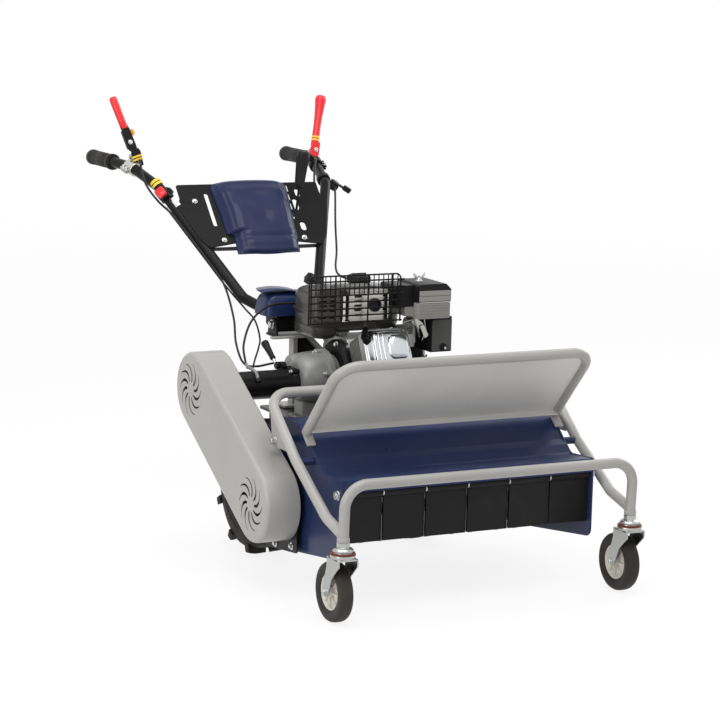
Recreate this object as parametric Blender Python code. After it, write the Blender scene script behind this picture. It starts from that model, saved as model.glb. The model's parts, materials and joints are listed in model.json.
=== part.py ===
# Walk-behind hammer knife mower: a 600 mm flail deck on two casters, pushed by a
# petrol engine and a wheeled transmission, steered by a tall two-grip handlebar.
# Metres, +Z up. The mower drives towards -Y. Left and right are the operator's,
# who stands behind it and looks along -Y, so left is +X and right is -X.
import math

import bmesh
import bpy
from mathutils import Matrix, Vector

# Fits
GAP = 0.0003
RUNNING_GAP = 0.0003
SLIDING_GAP = 0.0005

# Deck: a sheet steel tunnel over the rotor, between two side plates
DECK_HALF_WIDTH = 0.302
SIDE_PLATE_THICKNESS = 0.004
HOOD_THICKNESS = 0.003
HOOD_PROUD = 0.0015
ROTOR_Y = 0.296
ROTOR_Z = 0.183
SWING_RADIUS = 0.105
DECK_REAR_Y = 0.413
DECK_FRONT_Y = 0.056
LIP_BOTTOM_Z = 0.249
LIP_TOP_Z = 0.279
DECK_FRONT_BOTTOM_Z = 0.108
DECK_REAR_BOTTOM_Z = 0.060
DECK_CORNER_RADIUS = 0.018

# Rotor, its hammer rods and hammers
ROTOR_TUBE_RADIUS = 0.022
ROTOR_SHAFT_RADIUS = 0.0125
ROTOR_DISC_RADIUS = 0.062
ROTOR_DISC_THICKNESS = 0.006
ROTOR_BAYS = 5
ROTOR_DISC_PITCH = (DECK_HALF_WIDTH - 0.022) / (ROTOR_BAYS / 2)
HAMMER_ORBIT = 0.050
HAMMER_ROD_RADIUS = 0.004
HAMMER_THICKNESS = 0.010
HAMMER_ROOT_WIDTH = 0.016
HAMMER_TIP_WIDTH = 0.026
HAMMERS_PER_BAY = 2

# Front flaps on their rod
FLAP_COUNT = 6
FLAP_PITCH = (DECK_HALF_WIDTH - 0.002) / (FLAP_COUNT / 2)
FLAP_THICKNESS = 0.005
FLAP_LENGTH = 0.1035
FLAP_LOOP_RADIUS = 0.010
FLAP_ROD_RADIUS = 0.005
FLAP_ROD_Y = 0.0705
FLAP_ROD_Z = 0.2425
FLAP_COLLAR_WIDTH = 0.003
FLAP_COLLAR_RADIUS = 0.008

# Caster frame and front guard, bent from the same tube
FRAME_TUBE_RADIUS = 0.011
CASTER_HALF_TRACK = DECK_HALF_WIDTH + 0.0385
CASTER_STEM_Y = -0.034
LEG_BOTTOM_Z = 0.172
FRONT_BAR_Y = -0.039
FRONT_BAR_Z = 0.2885
REAR_LOOP_Y = 0.335
REAR_LOOP_Z = 0.409
FRAME_BEND_RADIUS = 0.048
ARM_BOLT_Y = 0.187
ARM_BOLT_Z = 0.291
GUSSET_BOLT_Y = 0.300
GUSSET_BOLT_Z = 0.315
GUARD_HALF_WIDTH = DECK_HALF_WIDTH - 0.001
GUARD_TOP_Y = 0.078
GUARD_TOP_Z = 0.506
GUARD_PANEL_THICKNESS = 0.0025
GUARD_PANEL_DROP = 0.203

# Casters
CASTER_WHEEL_RADIUS = 0.0625
CASTER_WHEEL_WIDTH = 0.030
CASTER_AXLE_RADIUS = 0.004
CASTER_STEM_RADIUS = 0.008
CASTER_BEARING_RADIUS = 0.026
FORK_PLATE_THICKNESS = 0.003
FORK_TOP_Z = 0.141

# Drive line: everything from the engine to the belt shares this line
DRIVE_Y = 0.623
PTO_Z = 0.371
CRANK_Z = 0.393
DRIVE_CENTRE_X = -0.040

# Rear wheels
AXLE_Y = 0.580
WHEEL_RADIUS = 0.150
WHEEL_WIDTH = 0.100
WHEEL_HALF_TRACK = 0.197
RIM_RADIUS = 0.076
TREAD_RADIUS = 0.138
LUG_COUNT = 9
AXLE_RADIUS = 0.012

# Belt drive on the right of the deck
COVER_FACE_X = -DECK_HALF_WIDTH - 0.0925
COVER_EDGE_X = -DECK_HALF_WIDTH - 0.0148
COVER_END_RADIUS = 0.083
COVER_WALL = 0.0025
COVER_ROUNDING = 0.010
BACK_PLATE_X = -DECK_HALF_WIDTH - 0.0108
BACK_PLATE_THICKNESS = 0.0035
UPPER_PULLEY_RADIUS = 0.056
LOWER_PULLEY_RADIUS = 0.045
PULLEY_CENTRE_X = -DECK_HALF_WIDTH - 0.050
PULLEY_WIDTH = 0.030
BELT_WIDTH = 0.022
BELT_THICKNESS = 0.008
DRIVE_TUBE_RADIUS = 0.032
DRIVE_SHAFT_RADIUS = 0.0125

# Bed frame, transmission and engine
RAIL_HEIGHT = 0.030
RAIL_WIDTH = 0.024
RAIL_HALF_SPACING = 0.100
RAIL_REAR_Y = 0.802
BED_TOP_Z = 0.287
BED_THICKNESS = 0.006
ENGINE_X = 0.030
CYLINDER_X = 0.018
CRANKCASE_HALF_WIDTH = 0.055
CYLINDER_TILT = math.radians(25.0)
HEAD_START = 0.134
HEAD_END = 0.158
HEAD_HALF_HEIGHT = 0.050
HEAD_HALF_WIDTH = 0.054
BLOWER_RADIUS = 0.085
BLOWER_DEPTH = 0.055
RECOIL_RADIUS = 0.072
RECOIL_DEPTH = 0.042

# Handlebar and its tilt hinge
TILT_Y = 0.790
TILT_Z = 0.478
TILT_BOLT_RADIUS = 0.005
YOKE_HALF_WIDTH = 0.080
YOKE_THICKNESS = 0.005
HANDLE_TUBE_RADIUS = 0.0125
GRIP_HALF_SPREAD = 0.265
GRIP_Z = 0.806
GRIP_END_Y = 1.467
GRIP_LENGTH = 0.140
GRIP_RADIUS = 0.017
LEVER_PIVOT_Y = 1.248
LEVER_PIVOT_Z = 0.828
LEVER_PIVOT_HALF_SPREAD = 0.240
LEVER_LENGTH = 0.152

SIDES = {"right": -1, "left": 1}


# Small helpers that make closed meshes
def circumscribed(radius, sides):
    """Corner radius of a polygon whose flats lie at the given radius."""
    return radius / math.cos(math.pi / sides)


def box_mesh(low, high):
    mesh = bmesh.new()
    size = [high[i] - low[i] for i in range(3)]
    centre = [(high[i] + low[i]) / 2 for i in range(3)]
    bmesh.ops.create_cube(mesh, size=1.0)
    bmesh.ops.scale(mesh, vec=size, verts=mesh.verts)
    bmesh.ops.translate(mesh, vec=centre, verts=mesh.verts)
    return mesh


def rod_mesh(start, end, radius, end_radius=None, sides=12, turn=0.0):
    """A cylinder or cone from start to end."""
    start, end = Vector(start), Vector(end)
    run = end - start
    place = Matrix.Translation((start + end) / 2) @ run.to_track_quat("Z", "Y").to_matrix().to_4x4()
    place = place @ Matrix.Rotation(turn, 4, "Z")
    mesh = bmesh.new()
    bmesh.ops.create_cone(mesh, cap_ends=True, segments=sides, radius1=radius,
                          radius2=radius if end_radius is None else end_radius,
                          depth=run.length, matrix=place)
    return mesh


def loft_mesh(rings, closed=False):
    """Quads between rings of equal length; the two end rings are capped unless closed."""
    mesh = bmesh.new()
    loops = [[mesh.verts.new(point) for point in ring] for ring in rings]
    count = len(loops[0])
    pairs = list(zip(loops, loops[1:]))
    if closed:
        pairs.append((loops[-1], loops[0]))
    for first, second in pairs:
        for i in range(count):
            j = (i + 1) % count
            mesh.faces.new((first[i], first[j], second[j], second[i]))
    if not closed:
        mesh.faces.new(loops[0])
        mesh.faces.new(loops[-1])
    bmesh.ops.recalc_face_normals(mesh, faces=mesh.faces)
    return mesh


def prism_mesh(outline, axis, low, high):
    """An outline extruded along X (outline in Y, Z), Y (in X, Z) or Z (in X, Y)."""
    place = {
        "x": lambda a, b, c: (c, a, b),
        "y": lambda a, b, c: (a, c, b),
        "z": lambda a, b, c: (a, b, c),
    }[axis]
    rings = [[place(a, b, level) for a, b in outline] for level in (low, high)]
    return loft_mesh(rings)


def turned_mesh(profile, centre, axis, sides=20, turn=0.0):
    """A closed profile of (radius, height) points turned about an axis through centre."""
    frame = Vector(axis).to_track_quat("Z", "Y").to_matrix()
    centre = Vector(centre)
    rings = []
    for k in range(sides):
        angle = turn + 2 * math.pi * k / sides
        spoke = frame @ Vector((math.cos(angle), math.sin(angle), 0))
        rings.append([centre + spoke * r + frame @ Vector((0, 0, h)) for r, h in profile])
    mesh = loft_mesh(rings, closed=True)
    bmesh.ops.remove_doubles(mesh, verts=mesh.verts, dist=1e-6)
    bmesh.ops.dissolve_degenerate(mesh, edges=mesh.edges, dist=1e-7)
    bmesh.ops.recalc_face_normals(mesh, faces=mesh.faces)
    return mesh


def rounded_path(points, radius, steps=3):
    """The path with each inner corner turned into an arc of the given radius."""
    points = [Vector(p) for p in points]
    path = [points[0]]
    for before, corner, after in zip(points, points[1:], points[2:]):
        towards = (before - corner).normalized()
        away = (after - corner).normalized()
        half = math.acos(max(-1.0, min(1.0, towards.dot(away)))) / 2
        reach = radius / math.tan(half)
        centre = corner + (towards + away).normalized() * (radius / math.sin(half))
        first = corner + towards * reach - centre
        last = corner + away * reach - centre
        for k in range(steps + 1):
            blend = first.slerp(last, k / steps, first)
            path.append(centre + blend.normalized() * radius)
    path.append(points[-1])
    return path


def swept_mesh(path, radius, sides=8):
    """A round bar that follows a path."""
    path = [Vector(p) for p in path]
    tangents = []
    for i in range(len(path)):
        before = path[max(i - 1, 0)]
        after = path[min(i + 1, len(path) - 1)]
        tangents.append((after - before).normalized())
    normal = tangents[0].orthogonal().normalized()
    rings = []
    for point, tangent in zip(path, tangents):
        normal = (normal - tangent * normal.dot(tangent)).normalized()
        side = tangent.cross(normal)
        rings.append([point + (normal * math.cos(a) + side * math.sin(a)) * radius
                      for a in (2 * math.pi * k / sides for k in range(sides))])
    return loft_mesh(rings)


def arc_points(centre, radius, start, end, steps):
    return [(centre[0] + radius * math.cos(math.radians(start + (end - start) * k / steps)),
             centre[1] + radius * math.sin(math.radians(start + (end - start) * k / steps)))
            for k in range(steps + 1)]


def rounded_outline(points, radii, steps=2):
    """A closed outline with each corner rounded to its own radius."""
    outline = []
    count = len(points)
    for i, radius in enumerate(radii):
        before, corner, after = points[i - 1], points[i], points[(i + 1) % count]
        if radius == 0:
            outline.append(corner)
            continue
        bend = rounded_path([(*before, 0), (*corner, 0), (*after, 0)], radius, steps)
        outline.extend((p.x, p.y) for p in bend[1:-1])
    return outline


def belt_outline(first, first_radius, second, second_radius, steps=8):
    """The outline of a belt round two circles."""
    run = (second[0] - first[0], second[1] - first[1])
    length = math.hypot(*run)
    heading = math.degrees(math.atan2(run[1], run[0]))
    lean = math.degrees(math.asin((first_radius - second_radius) / length))
    near = arc_points(first, first_radius, heading + 90 - lean, heading + 270 + lean, steps)
    far = arc_points(second, second_radius, heading - 90 + lean, heading + 90 - lean, steps)
    return near + far


def sheet_outline(path, thickness):
    """A folded sheet seen from its edge: the path and its offset, with mitred corners."""
    normals = []
    for (ay, az), (by, bz) in zip(path, path[1:]):
        length = math.hypot(by - ay, bz - az)
        normals.append(((bz - az) / length, -(by - ay) / length))
    inner = []
    for i, (y, z) in enumerate(path):
        one = normals[max(i - 1, 0)]
        two = normals[min(i, len(normals) - 1)]
        scale = thickness / (1 + one[0] * two[0] + one[1] * two[1])
        inner.append((y + (one[0] + two[0]) * scale, z + (one[1] + two[1]) * scale))
    return path + inner[::-1]


def joined_shells(meshes):
    """One mesh that holds several closed shells."""
    whole = bmesh.new()
    for part in meshes:
        data = bpy.data.meshes.new("shell")
        part.to_mesh(data)
        part.free()
        whole.from_mesh(data)
        bpy.data.meshes.remove(data)
    return whole


def turned_copy(mesh, matrix):
    bmesh.ops.transform(mesh, matrix=matrix, verts=mesh.verts)
    bmesh.ops.recalc_face_normals(mesh, faces=mesh.faces)
    return mesh


def temporary_object(mesh):
    data = bpy.data.meshes.new("temporary")
    mesh.to_mesh(data)
    mesh.free()
    shape = bpy.data.objects.new("temporary", data)
    bpy.context.scene.collection.objects.link(shape)
    return shape


def boolean(base, other, operation):
    """The two meshes combined with the exact solver."""
    shapes = [temporary_object(base), temporary_object(other)]
    step = shapes[0].modifiers.new("combine", "BOOLEAN")
    step.operation = operation
    step.solver = "EXACT"
    step.use_self = True
    step.object = shapes[1]
    bpy.context.view_layer.update()
    depsgraph = bpy.context.evaluated_depsgraph_get()
    result = bmesh.new()
    result.from_mesh(shapes[0].evaluated_get(depsgraph).to_mesh())
    for shape in shapes:
        data = shape.data
        bpy.data.objects.remove(shape)
        bpy.data.meshes.remove(data)
    return result


def clean(mesh):
    """Flat faces merged and slivers removed after a Boolean."""
    bmesh.ops.remove_doubles(mesh, verts=mesh.verts, dist=1e-6)
    bmesh.ops.dissolve_limit(mesh, angle_limit=math.radians(0.2), use_dissolve_boundaries=False,
                             verts=mesh.verts, edges=mesh.edges)
    bmesh.ops.triangulate(mesh, faces=mesh.faces)
    bmesh.ops.dissolve_degenerate(mesh, edges=mesh.edges, dist=1e-6)
    bmesh.ops.recalc_face_normals(mesh, faces=mesh.faces)
    return mesh


def make_material(name, colour, roughness, metallic=0.0):
    material = bpy.data.materials.new(name)
    material.use_nodes = True
    shader = material.node_tree.nodes["Principled BSDF"]
    shader.inputs["Base Color"].default_value = (*colour, 1.0)
    shader.inputs["Roughness"].default_value = roughness
    shader.inputs["Metallic"].default_value = metallic
    material.diffuse_color = (*colour, 1.0)
    return material


FINISHES = {
    "blue_paint": ((0.030, 0.045, 0.130), 0.35, 0.0),
    "grey_paint": ((0.42, 0.42, 0.40), 0.40, 0.0),
    "black_paint": ((0.015, 0.015, 0.016), 0.38, 0.0),
    "cast_grey": ((0.20, 0.21, 0.21), 0.45, 0.2),
    "cast_aluminium": ((0.45, 0.45, 0.44), 0.45, 0.9),
    "polished_metal": ((0.80, 0.81, 0.82), 0.18, 1.0),
    "steel": ((0.45, 0.45, 0.45), 0.35, 1.0),
    "zinc": ((0.62, 0.64, 0.65), 0.30, 1.0),
    "black_plastic": ((0.020, 0.020, 0.021), 0.45, 0.0),
    "dark_plastic": ((0.055, 0.055, 0.056), 0.50, 0.0),
    "grey_plastic": ((0.16, 0.15, 0.145), 0.55, 0.0),
    "rubber": ((0.020, 0.019, 0.018), 0.75, 0.0),
    "flap_rubber": ((0.012, 0.012, 0.011), 0.50, 0.0),
    "red_plastic": ((0.62, 0.025, 0.030), 0.35, 0.0),
    "cable_black": ((0.012, 0.012, 0.012), 0.45, 0.0),
}


def finished(name, adds, finish, machine, cuts=(), origin=None, smooth=35.0):
    """A named object from shapes that are joined and shapes that are cut away."""
    adds = list(adds)
    if len(adds) > 1:
        first = adds.pop(0)
        mesh = boolean(first, joined_shells(adds), "UNION")
    else:
        mesh = adds[0]
    if cuts:
        mesh = boolean(mesh, joined_shells(list(cuts)), "DIFFERENCE")
    clean(mesh)
    origin = Vector(origin) if origin else Vector((0, 0, 0))
    bmesh.ops.translate(mesh, vec=-origin, verts=mesh.verts)
    data = bpy.data.meshes.new(name)
    mesh.to_mesh(data)
    mesh.free()
    data.materials.append(make_material(name, *FINISHES[finish]))
    data.shade_smooth()
    data.set_sharp_from_angle(angle=math.radians(smooth))
    part = bpy.data.objects.new(name, data)
    bpy.context.scene.collection.objects.link(part)
    part.parent = machine
    part.location = origin
    return part


# Deck
HOOD_PATH = [
    (DECK_FRONT_Y, LIP_BOTTOM_Z), (DECK_FRONT_Y, LIP_TOP_Z), (0.145, 0.272), (0.181, 0.299),
    (0.222, 0.336), (0.262, 0.354), (0.330, 0.356), (0.385, 0.340),
    (DECK_REAR_Y, 0.305), (DECK_REAR_Y, 0.150), (0.403, 0.105),
]
HOOD_SLOPE_START = Vector((0.0, 0.181, 0.299))
HOOD_SLOPE_END = Vector((0.0, 0.222, 0.336))


def side_plate_outline():
    grown = sheet_outline(HOOD_PATH, -HOOD_PROUD)[len(HOOD_PATH):][::-1]
    bottom = [(DECK_REAR_Y - 0.004, DECK_REAR_BOTTOM_Z),
              (DECK_FRONT_Y - HOOD_PROUD, DECK_FRONT_BOTTOM_Z)]
    points = grown[1:-1] + bottom
    radii = [0.0] * (len(points) - 1) + [DECK_CORNER_RADIUS]
    return rounded_outline(points, radii)


def make_deck(machine):
    outer = DECK_HALF_WIDTH
    inner = DECK_HALF_WIDTH - SIDE_PLATE_THICKNESS
    hood = prism_mesh(sheet_outline(HOOD_PATH, HOOD_THICKNESS), "x", -outer + 0.001, outer - 0.001)
    adds = [hood]
    cuts = []
    for side in SIDES.values():
        low, high = sorted((side * inner, side * outer))
        adds.append(prism_mesh(side_plate_outline(), "x", low, high))
        ends = [(side * (inner - 0.01), ROTOR_Y, ROTOR_Z), (side * (outer + 0.01), ROTOR_Y, ROTOR_Z)]
        bearing = circumscribed(ROTOR_SHAFT_RADIUS + RUNNING_GAP, 16)
        cuts.append(rod_mesh(*ends, bearing, sides=16))
        ends = [(side * (inner - 0.01), FLAP_ROD_Y, FLAP_ROD_Z),
                (side * (outer + 0.01), FLAP_ROD_Y, FLAP_ROD_Z)]
        cuts.append(rod_mesh(*ends, circumscribed(FLAP_ROD_RADIUS + GAP, 8), sides=8))
    finished("deck_shell", adds, "blue_paint", machine, cuts)


def make_flaps(machine):
    rod_end = DECK_HALF_WIDTH + GAP + 0.008
    axis = (0, FLAP_ROD_Y, FLAP_ROD_Z)
    adds = [rod_mesh((-rod_end, *axis[1:]), (rod_end, *axis[1:]), FLAP_ROD_RADIUS, sides=8)]
    for side in SIDES.values():
        start = side * (DECK_HALF_WIDTH + GAP)
        adds.append(rod_mesh((start, *axis[1:]), (start + side * 0.007, *axis[1:]), 0.009, sides=6))
    for k in range(1, FLAP_COUNT):
        centre = (k - FLAP_COUNT / 2) * FLAP_PITCH
        ends = [(centre + s * FLAP_COLLAR_WIDTH / 2, *axis[1:]) for s in (-1, 1)]
        adds.append(rod_mesh(*ends, FLAP_COLLAR_RADIUS, sides=8))
    finished("flap_rod", adds, "steel", machine)

    inset = FLAP_COLLAR_WIDTH / 2 + GAP
    bore = circumscribed(FLAP_ROD_RADIUS + RUNNING_GAP, 10)
    for k in range(FLAP_COUNT):
        end = DECK_HALF_WIDTH - SIDE_PLATE_THICKNESS - 2 * SLIDING_GAP
        low = max((k - FLAP_COUNT / 2) * FLAP_PITCH + inset, -end)
        high = min((k + 1 - FLAP_COUNT / 2) * FLAP_PITCH - inset, end)
        loop = rod_mesh((low, *axis[1:]), (high, *axis[1:]), FLAP_LOOP_RADIUS, sides=10)
        sheet = box_mesh((low, FLAP_ROD_Y - FLAP_THICKNESS / 2, FLAP_ROD_Z - FLAP_LENGTH),
                         (high, FLAP_ROD_Y + FLAP_THICKNESS / 2, FLAP_ROD_Z))
        cut = rod_mesh((low - 0.01, *axis[1:]), (high + 0.01, *axis[1:]), bore, sides=10)
        finished(f"flap_{k + 1}", [loop, sheet], "flap_rubber", machine, [cut], origin=axis)


def make_rotor(machine):
    half = DECK_HALF_WIDTH - SIDE_PLATE_THICKNESS - 0.006
    axis = (ROTOR_Y, ROTOR_Z)
    shaft_right = PULLEY_CENTRE_X - PULLEY_WIDTH / 2
    shaft_left = DECK_HALF_WIDTH + 0.006
    adds = [
        rod_mesh((-half, *axis), (half, *axis), ROTOR_TUBE_RADIUS, sides=12),
        rod_mesh((shaft_right, *axis), (shaft_left, *axis), ROTOR_SHAFT_RADIUS, sides=12),
        pulley_mesh(axis, LOWER_PULLEY_RADIUS),
    ]
    discs = [(k - ROTOR_BAYS / 2) * ROTOR_DISC_PITCH for k in range(ROTOR_BAYS + 1)]
    for x in discs:
        ends = [(x + s * ROTOR_DISC_THICKNESS / 2, *axis) for s in (-1, 1)]
        adds.append(rod_mesh(*ends, ROTOR_DISC_RADIUS, sides=12))
    cuts = []
    bore = circumscribed(HAMMER_ROD_RADIUS + RUNNING_GAP, 6)
    for row in (-1, 1):
        z = ROTOR_Z + row * HAMMER_ORBIT
        cuts.append(rod_mesh((-half - 0.01, ROTOR_Y, z), (half + 0.01, ROTOR_Y, z), bore, sides=6))
    finished("rotor", adds, "steel", machine, cuts, origin=(0, *axis))

    reach = discs[-1] + ROTOR_DISC_THICKNESS
    length = SWING_RADIUS - HAMMER_ORBIT
    for number, row in ((1, -1), (2, 1)):
        z = ROTOR_Z + row * HAMMER_ORBIT
        adds = [rod_mesh((-reach, ROTOR_Y, z), (reach, ROTOR_Y, z), HAMMER_ROD_RADIUS, sides=6)]
        root, tip = HAMMER_ROOT_WIDTH / 2, HAMMER_TIP_WIDTH / 2
        outline = [(ROTOR_Y - root, z - row * 0.009), (ROTOR_Y + root, z - row * 0.009),
                   (ROTOR_Y + tip, z + row * length), (ROTOR_Y - tip, z + row * length)]
        for bay in range(ROTOR_BAYS):
            for k in range(HAMMERS_PER_BAY):
                share = (k + 0.5) / HAMMERS_PER_BAY
                x = discs[bay] + ROTOR_DISC_PITCH * (0.08 + 0.84 * share)
                adds.append(prism_mesh(outline, "x", x - HAMMER_THICKNESS / 2, x + HAMMER_THICKNESS / 2))
        finished(f"hammer_row_{number}", adds, "steel", machine, origin=(0, ROTOR_Y, z))


# Belt drive
def pulley_mesh(axis, radius):
    groove = radius - BELT_THICKNESS - 0.002
    flange = radius + 0.003
    half, belt = PULLEY_WIDTH / 2, BELT_WIDTH / 2 + SLIDING_GAP
    profile = [(0.006, -half), (flange, -half), (flange, -belt), (groove, -belt),
               (groove, belt), (flange, belt), (flange, half), (0.006, half)]
    return turned_mesh(profile, (PULLEY_CENTRE_X, *axis), (1, 0, 0), sides=16)


def make_belt_drive(machine):
    upper, lower = (DRIVE_Y, PTO_Z), (ROTOR_Y, ROTOR_Z)
    left = DRIVE_CENTRE_X - 0.100
    shaft = rod_mesh((PULLEY_CENTRE_X - PULLEY_WIDTH / 2, *upper), (left - 0.001, *upper),
                     DRIVE_SHAFT_RADIUS, sides=16)
    finished("drive_pulley", [shaft, pulley_mesh(upper, UPPER_PULLEY_RADIUS)], "steel", machine,
             origin=(PULLEY_CENTRE_X, *upper))

    steps = 8
    inner = [circumscribed(r - BELT_THICKNESS - 0.002 + GAP, 16)
             for r in (LOWER_PULLEY_RADIUS, UPPER_PULLEY_RADIUS)]
    inside = belt_outline(lower, inner[0], upper, inner[1], steps)
    outside = belt_outline(lower, inner[0] + BELT_THICKNESS, upper, inner[1] + BELT_THICKNESS, steps)
    low, high = PULLEY_CENTRE_X - BELT_WIDTH / 2, PULLEY_CENTRE_X + BELT_WIDTH / 2
    rings = [[(low, *p) for p in inside], [(low, *p) for p in outside],
             [(high, *p) for p in outside], [(high, *p) for p in inside]]
    finished("drive_belt", [loft_mesh(rings, closed=True)], "rubber", machine)

    plate_high = BACK_PLATE_X
    plate_low = plate_high - BACK_PLATE_THICKNESS
    rim = COVER_END_RADIUS - COVER_WALL - 0.002
    plate = prism_mesh(belt_outline(lower, rim, upper, rim), "x", plate_low, plate_high)
    apron = prism_mesh([(0.205, 0.088), (0.205, 0.150), (0.385, 0.150), (0.385, 0.066)], "x",
                       plate_low, plate_high)
    bore = circumscribed(ROTOR_SHAFT_RADIUS + RUNNING_GAP, 16)
    cuts = [rod_mesh((plate_low - 0.01, *axis), (plate_high + 0.01, *axis), bore, sides=16)
            for axis in (upper, lower)]
    spacers = [rod_mesh((plate_high - 0.001, y, z), (-DECK_HALF_WIDTH - GAP, y, z), 0.008, sides=10)
               for y, z in ((0.225, 0.125), (0.365, 0.125), (0.345, 0.262), (0.262, 0.238))]
    finished("belt_case_back", [plate, apron, *spacers], "black_paint", machine, cuts)

    finished("belt_cover", [belt_cover_shell(lower, upper)], "grey_paint", machine,
             vent_cutters(lower) + vent_cutters(upper), smooth=40.0)

    tube_low = plate_high + GAP
    outer, bore = DRIVE_TUBE_RADIUS, circumscribed(DRIVE_SHAFT_RADIUS + RUNNING_GAP, 16)
    tube = turned_mesh([(bore, 0), (outer + 0.008, 0), (outer + 0.008, 0.006), (outer, 0.006),
                        (outer, left - tube_low - GAP), (bore, left - tube_low - GAP)],
                       (tube_low, *upper), (1, 0, 0), sides=20)
    lug_x, lug_y, lug_z = PTO_LEVER_PIVOT
    lever_foot = box_mesh((lug_x - PTO_LUG_HALF_WIDTH, lug_y - 0.018, lug_z - 0.024),
                          (lug_x + PTO_LUG_HALF_WIDTH, lug_y + 0.010, lug_z + 0.008))
    hole = rod_mesh((lug_x - 0.02, lug_y, lug_z), (lug_x + 0.02, lug_y, lug_z),
                    circumscribed(0.003 + RUNNING_GAP, 8), sides=8)
    finished("drive_tube", [tube, lever_foot], "black_paint", machine, [hole])


def belt_cover_shell(lower, upper):
    """A pressed tray with a rounded edge, open towards the deck."""
    rounding_steps = 2
    rings = [[(COVER_EDGE_X, *p) for p in belt_outline(lower, COVER_END_RADIUS, upper, COVER_END_RADIUS)]]
    for k in range(rounding_steps + 1):
        angle = math.pi / 2 * k / rounding_steps
        radius = COVER_END_RADIUS - COVER_ROUNDING * (1 - math.cos(angle))
        x = COVER_FACE_X + COVER_ROUNDING * (1 - math.sin(angle))
        rings.append([(x, *p) for p in belt_outline(lower, radius, upper, radius)])
    inner_rings = []
    inner_rounding = COVER_ROUNDING - COVER_WALL
    for k in range(rounding_steps, -1, -1):
        angle = math.pi / 2 * k / rounding_steps
        radius = COVER_END_RADIUS - COVER_WALL - inner_rounding * (1 - math.cos(angle))
        x = COVER_FACE_X + COVER_WALL + inner_rounding * (1 - math.sin(angle))
        inner_rings.append([(x, *p) for p in belt_outline(lower, radius, upper, radius)])
    radius = COVER_END_RADIUS - COVER_WALL
    inner_rings.append([(COVER_EDGE_X, *p) for p in belt_outline(lower, radius, upper, radius)])
    outside = loft_mesh(rings)
    inside = loft_mesh([[(x + 0.01 * (i == len(inner_rings) - 1), y, z) for x, y, z in ring]
                        for i, ring in enumerate(inner_rings)])
    return boolean(outside, inside, "DIFFERENCE")


def vent_cutters(centre, count=10, inner=0.017, outer=0.058, width=0.0045, sweep=42.0):
    """Curved slots that fan out round a centre, as cutters through the cover's face."""
    cutters = []
    steps = 2
    for k in range(count):
        start = 2 * math.pi * k / count
        line = []
        for i in range(steps + 1):
            share = i / steps
            angle = start + math.radians(sweep) * share * share
            radius = inner + (outer - inner) * share
            line.append(Vector((centre[0] - radius * math.cos(angle), centre[1] + radius * math.sin(angle))))
        left, right = [], []
        for i, point in enumerate(line):
            run = (line[min(i + 1, steps)] - line[max(i - 1, 0)]).normalized()
            side = Vector((-run.y, run.x)) * width / 2
            left.append((point + side)[:])
            right.append((point - side)[:])
        cutters.append(prism_mesh(left + right[::-1], "x", COVER_FACE_X - 0.01, COVER_FACE_X + 0.01))
    return cutters


# Caster frame, guard and casters
def make_caster_frame(machine):
    across = CASTER_HALF_TRACK
    front = [(-across, CASTER_STEM_Y, LEG_BOTTOM_Z), (-across, FRONT_BAR_Y, FRONT_BAR_Z),
             (across, FRONT_BAR_Y, FRONT_BAR_Z), (across, CASTER_STEM_Y, LEG_BOTTOM_Z)]
    arm = [(CASTER_STEM_Y + 0.002, LEG_BOTTOM_Z + 0.014), (0.045, 0.206), (0.190, 0.293),
           (REAR_LOOP_Y, REAR_LOOP_Z)]
    loop = [(-across, *p) for p in arm] + [(across, *p) for p in arm[::-1]]
    adds = [swept_mesh(rounded_path(front, FRAME_BEND_RADIUS), FRAME_TUBE_RADIUS),
            swept_mesh(rounded_path(loop, FRAME_BEND_RADIUS), FRAME_TUBE_RADIUS)]
    cuts = []
    for side in SIDES.values():
        x = side * across
        start = side * (DECK_HALF_WIDTH + GAP)
        adds.append(rod_mesh((start, ARM_BOLT_Y, ARM_BOLT_Z), (x, ARM_BOLT_Y, ARM_BOLT_Z), 0.008, sides=12))
        gusset = [(0.215, 0.303), (0.290, 0.302), (0.313, 0.312), (0.318, 0.330), (0.330, 0.398),
                  (0.300, 0.384)]
        plate = sorted((side * (across - 0.006), side * (across - 0.002)))
        adds.append(prism_mesh(gusset, "x", *plate))
        adds.append(rod_mesh((start, GUSSET_BOLT_Y, GUSSET_BOLT_Z),
                             (side * (across + 0.0065), GUSSET_BOLT_Y, GUSSET_BOLT_Z), 0.0085, sides=12))
        bore = circumscribed(CASTER_STEM_RADIUS + RUNNING_GAP, 12)
        cuts.append(rod_mesh((x, CASTER_STEM_Y, LEG_BOTTOM_Z - 0.02),
                             (x, CASTER_STEM_Y, LEG_BOTTOM_Z + 0.030), bore, sides=12))
    finished("caster_frame", adds, "grey_paint", machine, cuts)


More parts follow.
